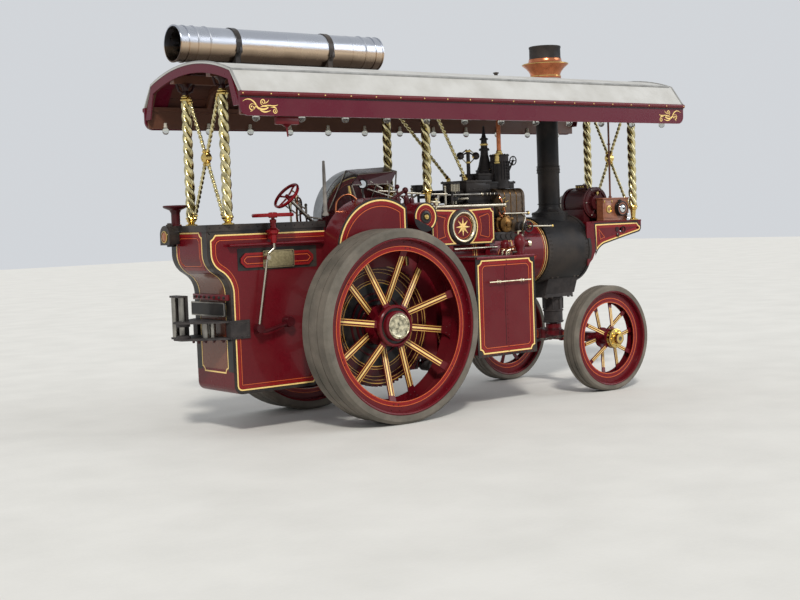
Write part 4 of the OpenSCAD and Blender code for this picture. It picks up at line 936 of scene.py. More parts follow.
def add_section(mesh, face, start, end, profile):
    """A moulding with a closed section of (height, distance off the face), from start to end."""
    ends = [[mesh.verts.new(face.at(u, v, lift)) for v, lift in profile] for u in (start, end)]
    join_rings(mesh, ends)
    mesh.faces.new(ends[0])
    mesh.faces.new(list(reversed(ends[1])))


def roof_line(skin):
    """Cross section under the roof, from one board to the other, as (y, z)."""
    rise = ROOF_CREST - SHOULDER[1]
    radius = (SHOULDER[0] ** 2 + rise ** 2) / (2 * rise)
    half = SHOULDER[0] - skin * 0.4
    arc = []
    for i in range(ROOF_STEPS + 1):
        y = -half + 2 * half * i / ROOF_STEPS
        arc.append((y, ROOF_CREST - radius + math.sqrt((radius - skin) ** 2 - y * y)))
    side = BOARD_Y - skin * 1.25
    return [(-side, BOARD_HIGH.z)] + arc + [(side, BOARD_HIGH.z)]


def add_stroke(mesh, face, points, widths):
    """A painted brush stroke along a curve of four points, swelling between its widths."""
    knots = [Vector((u, v, 0)) for u, v in points]
    steps = 10
    curve = interpolate_bezier(*knots, steps)
    rows = []
    for i, point in enumerate(curve):
        direction = curve[min(i + 1, steps - 1)] - curve[max(i - 1, 0)]
        side = Vector((-direction.y, direction.x, 0)).normalized()
        share = 2 * i / (steps - 1)
        low = int(min(share, 1))
        width = widths[low] + (widths[low + 1] - widths[low]) * (share - low)
        a, b = point + side * width / 2, point - side * width / 2
        rows.append([mesh.verts.new(face.at(p.x, p.y, PAINT)) for p in (a, b)])
    for low, high in zip(rows, rows[1:]):
        mesh.faces.new((low[0], low[1], high[1], high[0]))


def add_curl(mesh, face, centre, radius, start, turns, width, flip):
    """A spiral curl that ends in a round drop."""
    steps = 26

    def place(reach, angle):
        return centre[0] + flip * reach * math.cos(angle), centre[1] + reach * math.sin(angle)

    rows = []
    for i in range(steps + 1):
        share = i / steps
        angle = math.radians(start) + turns * 2 * math.pi * share
        r = radius * (1 - 0.72 * share)
        half = width * (0.25 + 0.75 * math.sin(math.pi * min(1, share * 1.1))) / 2
        rows.append([mesh.verts.new(face.at(*place(r + s * half, angle), PAINT)) for s in (-1, 1)])
    for low, high in zip(rows, rows[1:]):
        mesh.faces.new((low[0], low[1], high[1], high[0]))
    end = place(radius * 0.28, math.radians(start) + turns * 2 * math.pi)
    add_panel(mesh, face, circle_points(end, width * 0.75, 12), 0, 0.0016)


# A leafy scroll in its own box of 1 by 1: strokes as four points with three widths
SCROLL_STROKES = [([(0.00, 0.78), (0.1, 1.02), (0.28, 1.00), (0.36, 0.55)], (0.003, 0.01, 0.016)),
                  ([(0.36, 0.55), (0.42, 0.2), (0.6, 0.22), (0.7, 0.42)], (0.016, 0.02, 0.01)),
                  ([(0.48, 0.42), (0.62, 0.62), (0.8, 0.4), (0.97, 0.6)], (0.004, 0.022, 0.003)),
                  ([(0.44, 0.3), (0.55, 0.02), (0.66, 0.12), (0.76, 0.22)], (0.004, 0.014, 0.003)),
                  ([(0.66, 0.5), (0.74, 0.44), (0.94, 0.52), (0.93, 0.24)], (0.006, 0.014, 0.008)),
                  ([(0.2, 0.12), (0.28, 0.24), (0.32, 0.34), (0.38, 0.62)], (0.004, 0.012, 0.004)),
                  ([(0.6, 0.66), (0.66, 0.74), (0.7, 0.78), (0.72, 0.92)], (0.003, 0.01, 0.002))]
SCROLL_CURLS = [((0.25, 0.4), 0.036, 40, 1.25, 0.01), ((0.56, 0.76), 0.034, 300, -1.3, 0.01),
                ((0.88, 0.2), 0.028, 60, -1.25, 0.009)]


def add_scroll(mesh, face, corner, size, flip):
    """The scroll at one end of a board; corner is its outer low corner, flip its direction."""
    def place(point):
        return (corner[0] + flip * size[0] * point[0], corner[1] + size[1] * point[1])
    for points, widths in SCROLL_STROKES:
        add_stroke(mesh, face, [place(p) for p in points], widths)
    for centre, radius, start, turns, width in SCROLL_CURLS:
        add_curl(mesh, face, place(centre), radius, start, turns, width, flip)


def dress_boards():
    moulding, groove, studs, scrolls = meshes(4)
    top = BOARD_HIGH.z
    section = [(top, 0), (top, 0.018), (top - 0.008, 0.026), (top - 0.024, 0.029), (top - 0.038, 0.024),
               (top - 0.045, 0.012), (top - 0.046, 0)]
    for side in (NEAR, FAR):
        face = side_face(BOARD_Y, side)
        add_section(moulding, face, CANOPY_X0, CANOPY_X1, section)
        # Dark strip under the moulding: painted shadow that the moulding casts on the board
        add_section(groove, face, CANOPY_X0, CANOPY_X1,
                    [(top - 0.046, 0), (top - 0.046, 0.003), (top - 0.06, 0.003), (top - 0.06, 0)])
        for point in spaced((CANOPY_X0 + 0.02, top - 0.024), (CANOPY_X1 - 0.02, top - 0.024), 0.31):
            add_dome(studs, face.at(point.x, point.y, 0.029), face.out, 0.007)
        for corner, flip in ((CANOPY_X0 + 0.03, 1), (CANOPY_X1 - 0.05, -1)):
            add_scroll(scrolls, face, (corner, BOARD_LOW.z + 0.018), (0.4, 0.145), flip)
    new_piece("board_mouldings", moulding, MAROON_PAINT, sharp=50)
    new_piece("board_moulding_shadow", groove, SHADOW_LINE)
    new_piece("board_studs", studs, CREAM_LINE)
    new_piece("board_scrolls", scrolls, CREAM_LINE)


def dress_roof():
    inner = roof_line(ROOF_SKIN + 0.004)
    boards = bmesh.new()
    for (y0, z0), (y1, z1) in zip(inner, inner[1:]):
        parts = max(1, round(math.hypot(y1 - y0, z1 - z0) / 0.105))
        for k in range(parts):
            a = Vector((0, y0, z0)).lerp(Vector((0, y1, z1)), k / parts)
            b = Vector((0, y0, z0)).lerp(Vector((0, y1, z1)), (k + 1) / parts)
            step = (b - a).normalized()
            drop = Vector((0, step.z, -step.y)) * 0.006
            a, b = a + step * 0.002, b - step * 0.002
            rings = [[boards.verts.new((x, p.y, p.z)) for p in (a, b, b + drop, a + drop)]
                     for x in (CANOPY_X0 + 0.024, CANOPY_X1 - 0.024)]
            join_rings(boards, rings)
    new_piece("ceiling_boards", boards, CEILING_WOOD)
    arch = bmesh.new()
    outer, low = roof_line(ROOF_SKIN), roof_line(ROOF_SKIN + 0.085)
    low[0], low[-1] = (low[0][0], BOARD_LOW.z + 0.1), (low[-1][0], BOARD_LOW.z + 0.1)
    outer[0], outer[-1] = (outer[0][0], low[0][1]), (outer[-1][0], low[-1][1])
    for x0, x1 in ((CANOPY_X0 + 0.004, CANOPY_X0 + 0.019), (CANOPY_X1 - 0.019, CANOPY_X1 - 0.004)):
        for (a, b), (c, d) in zip(zip(outer, low), zip(outer[1:], low[1:])):
            rings = [[arch.verts.new((x, p[0], p[1])) for p in (a, b, d, c)] for x in (x0, x1)]
            join_rings(arch, rings)
            arch.faces.new(rings[0])
            arch.faces.new(rings[1])
    new_piece("end_arches", arch, BOARD_PAINT)
    # Painted lining on the far side of each end, under the roof and behind the board
    ends = bmesh.new()
    half_roof = [(y, z) for y, z in roof_line(ROOF_SKIN + 0.014) if y > -0.05]
    half_roof.append((half_roof[-1][0] + 0.004, BOARD_LOW.z + 0.02))
    for x0, x1 in ((CANOPY_X0 + 0.02, CANOPY_X0 + 0.25), (CANOPY_X1 - 0.25, CANOPY_X1 - 0.02)):
        for (y0, z0), (y1, z1) in zip(half_roof, half_roof[1:]):
            quad = [(x0, y0, z0), (x1, y0, z0), (x1, y1, z1), (x0, y1, z1)]
            low = [ends.verts.new(p) for p in quad]
            high = [ends.verts.new((x, y - 0.006, z - 0.006)) for x, y, z in quad]
            join_rings(ends, [low, high])
            ends.faces.new(low)
            ends.faces.new(high[::-1])
    new_piece("end_lining", ends, BOARD_PAINT)
    bead, rail = meshes(2)
    for x in (CANOPY_X0 + 0.012, CANOPY_X1 - 0.012):
        add_pipe(bead, [(x, y, z) for y, z in roof_line(-0.002)], 0.01)
    for side in (NEAR, FAR):
        y, z = side * (SHOULDER[0] - 0.004), SHOULDER[1] + 0.004
        add_pipe(rail, [(CANOPY_X0 + 0.03, y, z - 0.012), (CANOPY_X0 + 0.9, y, z - 0.004),
                        (CANOPY_X1 - 0.8, y, z), (CANOPY_X1 - 0.06, y, z)], 0.016)
    new_piece("roof_end_beads", bead, RIM_GREY)
    new_piece("roof_shoulder_rails", rail, RIM_GREY)
    vent = bmesh.new()
    add_lathe(vent, (1.088, 0, ROOF_CREST - 0.01), UP,
              [(0.04, 0), (0.04, 0.012), (0.022, 0.016), (0.022, 0.05), (0.034, 0.052), (0.034, 0.064),
               (0, 0.072)], 20)
    new_piece("roof_vent", vent, BLACK_PAINT)
    collar = bmesh.new()
    add_lathe(collar, (CHIMNEY_X, 0, ROOF_CREST - 0.03), UP,
              [(0.156, 0), (0.195, 0.02), (0.195, 0.032), (0.158, 0.045), (0.152, 0.06), (0.146, 0.06),
               (0.146, 0)], 48)
    new_piece("roof_chimney_collar", collar, RIM_GREY)


def dress_extension():
    """Rolled beads, the seam and the strap buckles of the chimney's spare length."""
    low, high = low_corner("chimney_extension"), high_corner("chimney_extension")
    centre = (low + high) / 2
    radius = EXTENSION_R
    beads, buckles = meshes(2)
    for along in (0.205, 0.345, 2.28):
        add_lathe(beads, (low.x + along, centre.y, centre.z), AHEAD,
                  [(radius - 0.002, -0.012), (radius + 0.006, -0.008), (radius + 0.009, 0),
                   (radius + 0.006, 0.008), (radius - 0.002, 0.012)], 64)
    add_lathe(beads, (low.x + 2.1, centre.y, centre.z), AHEAD,
              [(radius - 0.001, 0), (radius + 0.002, 0.001), (radius + 0.002, 0.02),
               (radius - 0.001, 0.021)], 64)
    new_piece("extension_beads", beads, TUBE_STEEL)
    strap = nodes["extension_straps"]
    middles = sorted({round(corner.co.x, 2) for corner in strap.data.vertices})
    for x in (middles[0], middles[-1] - 0.06):
        out = Vector((0, -0.96, -0.28))
        place = Vector((x + 0.03, centre.y, centre.z)) + (radius + 0.01) * out
        add_block(buckles, place - Vector((0.034, 0.006, 0.03)), place + Vector((0.034, 0.006, 0.03)),
                  0.004)
        add_bar(buckles, place + Vector((0, -0.004, 0.03)), place + Vector((0, -0.004, -0.07)), 0.007, 8)
        add_nut(buckles, place + Vector((0, -0.004, -0.012)), TO_NEAR, 0.015, 0.012, 0.002)
    new_piece("extension_buckles", buckles, BLACK_PAINT)


def dress_lamps():
    glass, sockets = meshes(2)
    count = int((CANOPY_X1 - CANOPY_X0 - 0.3) / BULB_STEP)
    for side in (NEAR, FAR):
        y = side * (BOARD_Y - 0.068)
        for i in range(count + 1):
            x = CANOPY_X0 + 0.21 + i * BULB_STEP
            add_lathe(glass, (x, y, BULB_Z), UP, [(0, -BULB_R)]
                      + [(BULB_R * math.sin(a), -BULB_R * math.cos(a))
                         for a in (math.radians(d) for d in (30, 60, 90, 118, 140))]
                      + [(0.015, BULB_R + 0.004), (0.014, BULB_R + 0.01)], 20)
            add_lathe(sockets, (x, y, BULB_Z + BULB_R), UP,
                      [(0, -0.002), (0.02, 0), (0.021, 0.014), (0.017, 0.02), (0.018, 0.045),
                       (0.01, 0.052), (0, 0.052)], 16)
            add_bar(sockets, (x, y, BULB_Z + BULB_R + 0.035),
                    (x, side * (BOARD_Y - 0.022), BULB_Z + BULB_R + 0.035), 0.008, 8)
    new_piece("lamp_globes", glass, CLEAR_GLASS, sharp=60)
    new_piece("lamp_sockets", sockets, SOCKET_WHITE)
    box = bmesh.new()
    add_block(box, (-2.576, -0.925, 3.042), (-2.317, -0.88, 3.113), 0.006)
    add_bar(box, (-2.45, -0.902, 3.045), (-2.44, -0.902, 2.925), 0.014, 10, 0.007)
    add_bar(box, (-2.45, -0.902, 3.04), (-2.45, -0.902, 3.018), 0.05, 12, 0.015)
    new_piece("board_switch_box", box, MAROON_PAINT)


COLUMN_ROWS = [(-2.83, 0.366, 2.105, 2.18), (-0.288, 0.35, 2.215, 2.392), (2.96, 0.378, 1.972, 2.138)]
COLUMN_TOP, TIMBER_Z = 3.37, 3.54
COLUMN_PITCH, STRAND, HELIX = 0.33, 0.0255, 0.0275
BRACE_PITCH, BRACE_STRAND, BRACE_HELIX = 0.105, 0.0115, 0.0095
COLLAR_R = 0.0555


def add_turned_collar(mesh, base, direction, reach):
    """A collar of beads between a strand's end and its spindle."""
    add_lathe(mesh, base, direction, [(0, 0), (0.03, 0), (0.056, 0.006), (0.06, 0.018), (0.052, 0.026),
                                      (0.046, 0.034), (0.05, 0.04), (0.05, 0.046), (0.036, 0.056),
                                      (0.024, reach), (0, reach)], 24)


def add_hanger(mesh, place):
    """The dark iron bracket that takes a column up to its roof timber."""
    low, high = COLUMN_TOP + 0.052, TIMBER_Z
    x, y = place
    add_lathe(mesh, (x, y, low), UP, [(0, 0), (0.034, 0), (0.036, 0.03), (0.028, 0.05), (0.034, 0.08),
                                      (0.05, high - low - 0.02), (0.075, high - low), (0, high - low)],
              16)
    for sx in (-1, 1):
        add_pipe(mesh, [(x + sx * 0.03, y, low + 0.03), (x + sx * 0.075, y, low + 0.05),
                        (x + sx * 0.09, y, high - 0.03), (x + sx * 0.1, y, high)], 0.014)


def dress_columns():
    strands, turned, iron = meshes(3)
    for x, half, foot, collar in COLUMN_ROWS:
        for side in (NEAR, FAR):
            y = side * half
            add_twist(strands, (x, y, collar - 0.01), (x, y, COLUMN_TOP + 0.01), 3, HELIX, STRAND,
                      COLUMN_PITCH, 10)
            add_bar(turned, (x, y, foot), (x, y, TIMBER_Z), 0.022, 16)
            add_turned_collar(turned, (x, y, collar + 0.012), DOWN, collar + 0.012 - foot)
            add_turned_collar(turned, (x, y, COLUMN_TOP - 0.004), UP, 0.1)
            add_lathe(turned, (x, y, foot), UP, [(0.062, 0), (0.062, 0.008), (0.04, 0.016), (0.026, 0.03),
                                                 (0.022, 0.045)], 24)
            add_hanger(iron, (x, y))
    piece = new_piece("column_strands", strands, COLUMN_BRASS, sharp=70)
    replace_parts(piece, "canopy_columns")
    new_piece("column_turnings", turned, BRASS_METAL)
    new_piece("column_hangers", iron, SHADOW_LINE)


def add_brace(strands, turned, start, end):
    start, end = Vector(start), Vector(end)
    direction = (end - start).normalized()
    grip = 0.05
    add_twist(strands, start + direction * grip, end - direction * grip, 2, BRACE_HELIX, BRACE_STRAND,
              BRACE_PITCH, 8, 14)
    for place, out in ((start, direction), (end, -direction)):
        add_lathe(turned, place, out, [(0, -0.012), (0.014, -0.012), (0.024, 0), (0.024, 0.012),
                                       (0.017, 0.02), (0.022, 0.028), (0.026, 0.04), (0.018, 0.052),
                                       (0.014, 0.06), (0, 0.06)], 16)


def dress_braces():
    strands, turned = meshes(2)
    pin = 0.02
    for x, half, _, collar in (COLUMN_ROWS[0], COLUMN_ROWS[2]):
        y = half - COLLAR_R - pin
        low, high = collar - 0.008, COLUMN_TOP + 0.008
        middle_z = (low + high) / 2
        for side in (NEAR, FAR):
            for z in (low, high):
                reach = 0.035
                slope = Vector((0, -side * y, middle_z - z)).normalized()
                add_brace(strands, turned, (x, side * y, z), Vector((x, 0, middle_z)) - slope * reach)
                add_bar(turned, (x, side * (y - 0.012), z), (x, side * half, z), 0.02, 14)
        add_lathe(turned, (x - 0.055, 0, middle_z), AHEAD,
                  [(0, 0), (0.018, 0), (0.024, 0.008), (0.038, 0.014), (0.05, 0.024), (0.05, 0.086),
                   (0.038, 0.096), (0.024, 0.102), (0.018, 0.11), (0, 0.112)], 24)
    x, half, _, _ = COLUMN_ROWS[1]
    chest = Vector((0.435, -0.15, 2.522))
    for side in (NEAR, FAR):
        start = (x + COLLAR_R + pin, side * half, COLUMN_TOP + 0.008)
        add_brace(strands, turned, start, (chest.x, -side * chest.y, chest.z))
        add_bar(turned, (x, side * half, start[2]), start, 0.02, 14)
        add_lathe(turned, (chest.x, -side * chest.y, chest.z - 0.031), UP,
                  [(0.036, 0), (0.036, 0.008), (0.024, 0.014), (0.024, 0.04), (0, 0.05)], 16)
    piece = new_piece("brace_strands", strands, COLUMN_BRASS, sharp=70)
    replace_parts(piece, "column_braces")
    new_piece("brace_turnings", turned, BRASS_METAL)


dress_extension()
dress_boards()
dress_roof()
dress_lamps()
dress_columns()
dress_braces()


# Lining: the painted edges of the panels

class Lining:
    """Black edge, cream line, red band and thin orange line that follow a panel's outline."""

    def __init__(self, name):
        self.name = name
        self.meshes = {part: bmesh.new() for part in ("edge", "cream", "red", "orange")}

    def band(self, part, face, outline, start, end, closed=True):
        points = inset_line(outline, (start + end) / 2, closed)
        add_line(self.meshes[part], face, points, end - start, PAINT, closed)

    def bands(self, face, outline, closed=True, **reach):
        """Several bands at once, each part with its start and end inside the outline."""
        for part, (start, end) in reach.items():
            self.band(part, face, outline, start, end, closed)

    def surround(self, face, outline, edge=0.012, size=1.0, closed=True):
        self.bands(face, outline, closed, edge=(0.001, edge), cream=(edge, edge + 0.015 * size),
                   red=(edge + 0.018 * size, edge + 0.05 * size),
                   orange=(edge + 0.062 * size, edge + 0.069 * size))

    def finish(self, body="engine"):
        colours = {"edge": BLACK_PAINT, "cream": CREAM_LINE, "red": RED_PAINT, "orange": ORANGE_LINE}
        for part, mesh in self.meshes.items():
            if len(mesh.faces):
                new_piece(self.name + "_" + part, mesh, colours[part], body)
            else:
                mesh.free()


def hollow_corner(corner, radius, start, end):
    """A corner cut back by a quarter circle round the corner itself."""
    return arc_points(corner, radius, start, end, 6)


# Tender sides and back

TENDER_BACK_LOW = -2.835
# The S curve of the tender's back: where it starts, turns and ends, its turn in radians and its radius
CURVE_LOW, CURVE_MIDDLE, CURVE_HIGH = 1.42, 1.62, 1.82
CURVE_TURN = 2 * math.atan((TENDER_BACK_LOW - TENDER_LOW.x) / 0.4)
CURVE_R = 0.2 / math.sin(CURVE_TURN)
COPING_Z = low_corner("tender_coping").z


def tender_side(notch):
    """Side view of the tender: the bunker hangs over the lower part on an S curve."""
    turn = math.degrees(CURVE_TURN)
    corner = (TENDER_LOW.x, COPING_Z)
    return ([(TENDER_HIGH.x - 0.01, COPING_Z)] + hollow_corner(corner, notch, 0, -90)
            + arc_points((TENDER_LOW.x + CURVE_R, CURVE_HIGH), CURVE_R, 180, 180 + turn)
            + arc_points((TENDER_BACK_LOW - CURVE_R, CURVE_LOW), CURVE_R, turn, 0)
            + arc_points((TENDER_BACK_LOW + 0.09, TENDER_LOW.z + 0.09), 0.09, 180, 270)
            + [(TENDER_HIGH.x - 0.2, TENDER_LOW.z), (TENDER_HIGH.x - 0.02, TENDER_LOW.z + 0.2)])


def eight_sided(low, high, cut_u, cut_v):
    (u0, v0), (u1, v1) = low, high
    return [(u0 + cut_u, v0), (u1 - cut_u, v0), (u1, v0 + cut_v), (u1, v1 - cut_v), (u1 - cut_u, v1),
            (u0 + cut_u, v1), (u0, v1 - cut_v), (u0, v0 + cut_v)]


class BackSheet:
    """The tender's curved back: u runs across, v is the height on the S curve."""

    def at(self, u, v, lift=0.0):
        x, slope = TENDER_BACK_LOW, 0.0
        if v > CURVE_HIGH:
            x = TENDER_LOW.x
        elif v > CURVE_MIDDLE:
            slope = math.asin((CURVE_HIGH - v) / CURVE_R)
            x = TENDER_LOW.x + CURVE_R * (1 - math.cos(slope))
        elif v > CURVE_LOW:
            slope = math.asin((v - CURVE_LOW) / CURVE_R)
            x = TENDER_BACK_LOW - CURVE_R * (1 - math.cos(slope))
        return Vector((x - lift * math.cos(slope), u, v - lift * math.sin(slope)))


SPLIT_STEP = 0.02


def split_line(points):
    """The closed outline with its long sides cut up, so that it can follow a curve."""
    found = []
    for a, b in zip(points, points[1:] + points[:1]):
        count = max(1, round(math.hypot(b[0] - a[0], b[1] - a[1]) / SPLIT_STEP))
        found.extend((a[0] + (b[0] - a[0]) * i / count, a[1] + (b[1] - a[1]) * i / count)
                     for i in range(count))
    return found


def add_sheet_panel(mesh, face, low, high, rows):
    """A thin panel that follows a curved face."""
    grid = [[mesh.verts.new(face.at(u, low[1] + (high[1] - low[1]) * i / rows, 0.0012))
             for u in (low[0], high[0])] for i in range(rows + 1)]
    for a, b in zip(grid, grid[1:]):
        mesh.faces.new((a[0], a[1], b[1], b[0]))


def dress_tender():
    lining = Lining("tender_lining")
    brass, field, bolts, tan = meshes(4)
    for side in (NEAR, FAR):
        face = side_face(TENDER_Y, side)
        lining.band("edge", face, tender_side(0.003), 0.0005, 0.034, closed=False)
        corner = (TENDER_LOW.x + 0.03, COPING_Z - 0.03)
        add_panel(lining.meshes["edge"], face, [corner] + hollow_corner(corner, 0.05, 0, -90), 0, 0.0016)
        inner = tender_side(0.06)
        lining.bands(face, inner, False, cream=(0.034, 0.048), red=(0.051, 0.08), orange=(0.088, 0.094))
        # Long panel under the shelf, with the blank plate on it; the black plate behind it is painted
        # shade in the recess under the shelf
        add_panel(lining.meshes["edge"], face, rounded((-2.74, 1.64), (-1.80, 1.86), 0.01), 0, 0.003)
        panel = side_face(TENDER_Y + 0.0165, side)
        outline = eight_sided((-2.71, 1.668), (-1.85, 1.814), 0.055, 0.05)
        add_panel(field, panel, outline, -0.01, 0.0)
        lining.bands(panel, outline, red=(0, 0.022), orange=(0.036, 0.042))
        add_panel(brass, panel, rounded((-2.455, 1.655), (-2.085, 1.83), 0.014), 0.001, 0.007)
        add_line(bolts, panel, offset_line(rounded((-2.455, 1.655), (-2.085, 1.83), 0.014), -0.012),
                 0.004, 0.008)
        for u in (-2.437, -2.103):
            for v in (1.673, 1.812):
                add_dome(bolts, panel.at(u, v, 0.007), panel.out, 0.007)
        # Studs along the coping, and rivets down the back edge of the plate
        top = side_face(TENDER_Y + 0.014, side)
        add_rivets(bolts, top, (TENDER_LOW.x + 0.03, COPING_Z + 0.033, 0),
                   (TENDER_HIGH.x - 0.05, COPING_Z + 0.033, 0), 0.11, 0.008)
        add_rivets(bolts, face, (TENDER_BACK_LOW + 0.017, 0.63, 0), (TENDER_BACK_LOW + 0.017, 1.38, 0),
                   0.075, 0.007, 0.0015)
    new_piece("tender_long_panels", field, MAROON_PAINT)
    new_piece("tender_blank_plates", brass, PLATE_BRASS)
    new_piece("tender_studs", bolts, DARK_STUD)
    # Curved back: black edges, lined top, and the brown panel low down
    back = BackSheet()
    for u0, u1 in ((-TENDER_Y, -0.262), (0.262, TENDER_Y)):
        add_sheet_panel(lining.meshes["edge"], back, (u0, 0.64), (u1, COPING_Z), 60)
    add_sheet_panel(tan, back, (-0.235, 0.66), (0.235, 1.62), 48)
    outline = split_line(notched((-0.262, 0.62), (0.262, COPING_Z - 0.004), 0.05))
    lining.band("cream", back, outline, 0.0, 0.014)
    upper = split_line(notched((-0.262, 1.64), (0.262, COPING_Z - 0.004), 0.05))
    lining.bands(back, upper, red=(0.017, 0.046), orange=(0.056, 0.062))
    lining.finish()
    new_piece("tender_back_panel", tan, BROWN_PANEL)
    dress_rear_plate()


def dress_rear_plate():
    """Frame round the blank plate, the lamp and the bar above the jaw."""
    rim, bar, nuts = meshes(3)
    face = back_face(TENDER_BACK_LOW - 0.06)
    outline = rounded((-0.33, 1.195), (0.33, 1.335), 0.015)
    add_ring_plate(rim, face, outline, offset_line(outline, -0.012), 0, 0.003)
    add_block(bar, (TENDER_BACK_LOW - 0.035, -0.34, 1.352), (TENDER_BACK_LOW, 0.34, 1.412), 0.006)
    for y in (-0.29, -0.2, -0.1, 0, 0.1, 0.2, 0.29):
        add_lathe(nuts, (TENDER_BACK_LOW - 0.035, y, 1.382), BACKWARD,
                  [(0, 0), (0.016, 0), (0.016, 0.01), (0.009, 0.01), (0.008, 0.018), (0, 0.02)], 6)
    new_piece("rear_plate_frame", rim, STEEL_METAL)
    new_piece("rear_bar", bar, MAROON_PAINT)
    new_piece("rear_bar_nuts", nuts, IRON_CAST)
    # Bolt heads on the straps and studs below the drawbar plates
    heads, studs = meshes(2)
    strap_low = low_corner("drawbar_frame")
    for side in (NEAR, FAR):
        strap = side_face(TENDER_Y + 0.014, side)
        for u in (-2.845, -2.79, -2.735, -2.68, -2.65):
            for v in (0.995, 1.128):
                add_dome(heads, strap.at(u, v, 0), strap.out, 0.012)
        add_line(heads, strap, rounded((-2.855, 0.978), (-2.641, 1.146), 0.008), 0.006, 0.003)
    for x, y in ((-2.87, -0.24), (-2.87, 0.24), (-2.93, -0.16), (-2.93, 0.16), (-3.0, -0.12),
                 (-3.0, 0.12), (-3.07, -0.1), (-3.07, 0), (-2.95, 0), (-2.88, -0.08), (-2.88, 0.08)):
        add_lathe(studs, (x, y, strap_low.z), DOWN,
                  [(0, -0.01), (0.024, -0.01), (0.024, 0.014), (0.014, 0.016), (0.012, 0.034),
                   (0, 0.036)], 6)
    new_piece("drawbar_bolts", heads, IRON_CAST)
    new_piece("drawbar_studs", studs, DEEP_PAINT)
    # Lamp case with an arched hood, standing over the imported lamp
    case, glass, ring = meshes(3)
    lamp = back_face(TENDER_LOW.x - 0.012)
    arch = [(0.165, 1.925), (0.345, 1.925)] + arc_points((0.255, 2.015), 0.09, 0, 180, 12)
    add_panel(case, lamp, arch, 0.0, 0.115)
    add_panel(case, lamp, offset_line(arch, 0.008), 0.1, 0.118)
    add_lathe(case, lamp.at(0.255, 2.1, 0.06), UP,
              [(0.035, 0), (0.035, 0.02), (0.022, 0.026), (0.022, 0.036), (0, 0.04)], 16)
    add_lathe(ring, lamp.at(0.255, 2.0, 0.117), BACKWARD,
              [(0.062, 0), (0.062, 0.008), (0.052, 0.01), (0.052, 0)], 28)
    add_lathe(glass, lamp.at(0.255, 2.0, 0.117), BACKWARD,
              [(0.052, 0), (0.046, 0.006), (0.026, 0.01), (0, 0.012)], 24)
    new_piece("rear_lamp_case", case, BLACK_PAINT)
    new_piece("rear_lamp_ring", ring, BRASS_METAL)
    new_piece("rear_lamp_glass", glass, AMBER_GLASS)
    # Round stool over the far back corner
    stool = bmesh.new()
    add_lathe(stool, (-3.045, 0.30, high_corner("tender_coping").z), UP,
              [(0.06, 0), (0.06, 0.012), (0.045, 0.02), (0.045, 0.13), (0.06, 0.16), (0.118, 0.185),
               (0.125, 0.195), (0.125, 0.205), (0.115, 0.21), (0, 0.212)], 32)
    new_piece("rear_stool", stool, DEEP_PAINT)


dress_tender()


# Gear cover and the small cover over the crankshaft's pinion

COVER_CENTRE = (REAR_AXLE.x + 0.065, 1.752)
COVER_R = 0.576
COVER_FRONT = REAR_AXLE.x + 0.41
SMALL_COVER = Vector((CRANK.x + 0.06, 0.0, 2.104))


def gear_cover_outline():
    """The cover's face, from its low front corner up and over to its low back corner."""
    corner = math.degrees(math.acos((COVER_FRONT - COVER_CENTRE[0]) / COVER_R))
    return ([(COVER_FRONT, 1.6), (COVER_FRONT, 1.98)] + arc_points(COVER_CENTRE, COVER_R, corner, 180, 30)
            + [(COVER_CENTRE[0] - COVER_R, 1.6)])


def dress_gear_cover():
    lining = Lining("gear_cover_lining")
    face = side_face(COVER_Y, NEAR)
    lining.surround(face, gear_cover_outline(), edge=0.024, size=1.08, closed=False)
    # Rivets round the rim, and the small cover's rings
    rivets = bmesh.new()
    for i in range(24):
        angle = math.radians(66 + 112 * i / 23)
        out = Vector((math.cos(angle), 0, math.sin(angle)))
        place = Vector((COVER_CENTRE[0], -(COVER_Y - 0.03), COVER_CENTRE[1])) + COVER_R * out
        add_dome(rivets, place, out, 0.007)
    new_piece("gear_cover_rivets", rivets, RIVET_PAINT)
    small = side_face(COVER_Y - 0.022, NEAR)
    centre = (SMALL_COVER.x, SMALL_COVER.z)

    def ring(mesh, start, end):
        """A ring that stops at the slanting cut under the small cover."""
        radius = (start + end) / 2
        half = math.degrees(math.acos(min(1.0, 0.072 / radius)))
        points = arc_points(centre, radius, 245 + half, 605 - half, 40)
        add_line(mesh, small, points, end - start, PAINT, closed=False)

    ring(lining.meshes["edge"], 0.142, 0.158)
    ring(lining.meshes["cream"], 0.128, 0.142)
    ring(lining.meshes["red"], 0.098, 0.126)
    ring(lining.meshes["orange"], 0.084, 0.089)
    # Black segment below the cut: painted shade standing in for the dark gap under the small cover
    half = math.degrees(math.acos(0.072 / 0.158))
    cut = arc_points(centre, 0.1575, 245 - half, 245 + half, 14)
    add_panel(lining.meshes["edge"], small, cut, 0, 0.002)
    lining.finish()
    boss, cap = meshes(2)
    add_lathe(boss, small.at(*centre, 0), small.out,
              [(0.066, 0), (0.066, 0.006), (0.05, 0.012), (0.042, 0.012), (0.042, 0.004), (0, 0.004)], 32)
    add_lathe(cap, small.at(*centre, 0.004), small.out,
              [(0.03, 0), (0.03, 0.014), (0.024, 0.022), (0.01, 0.022), (0.009, 0.03), (0, 0.031)], 24)
    new_piece("small_cover_boss", boss, BLACK_PAINT)
    new_piece("small_cover_cap", cap, BRASS_METAL)
    # Cock on the small cover's edge
    cock = bmesh.new()
    place = Vector((-0.36, -(COVER_Y - 0.06), 2.235))
    add_lathe(cock, place, (0.1, 0, 1), [(0, -0.05), (0.012, -0.05), (0.012, -0.02), (0.022, -0.012),
                                         (0.024, 0.016), (0.014, 0.022), (0.012, 0.05), (0.02, 0.056),
                                         (0.02, 0.066), (0, 0.07)], 14)
    add_bar(cock, place + Vector((-0.06, 0, 0.03)), place + Vector((0.05, 0, 0.02)), 0.008, 8)
    add_ball(cock, place + Vector((-0.065, 0, 0.031)), 0.014, 10)
    new_piece("cover_cock", cock, PALE_BRASS)


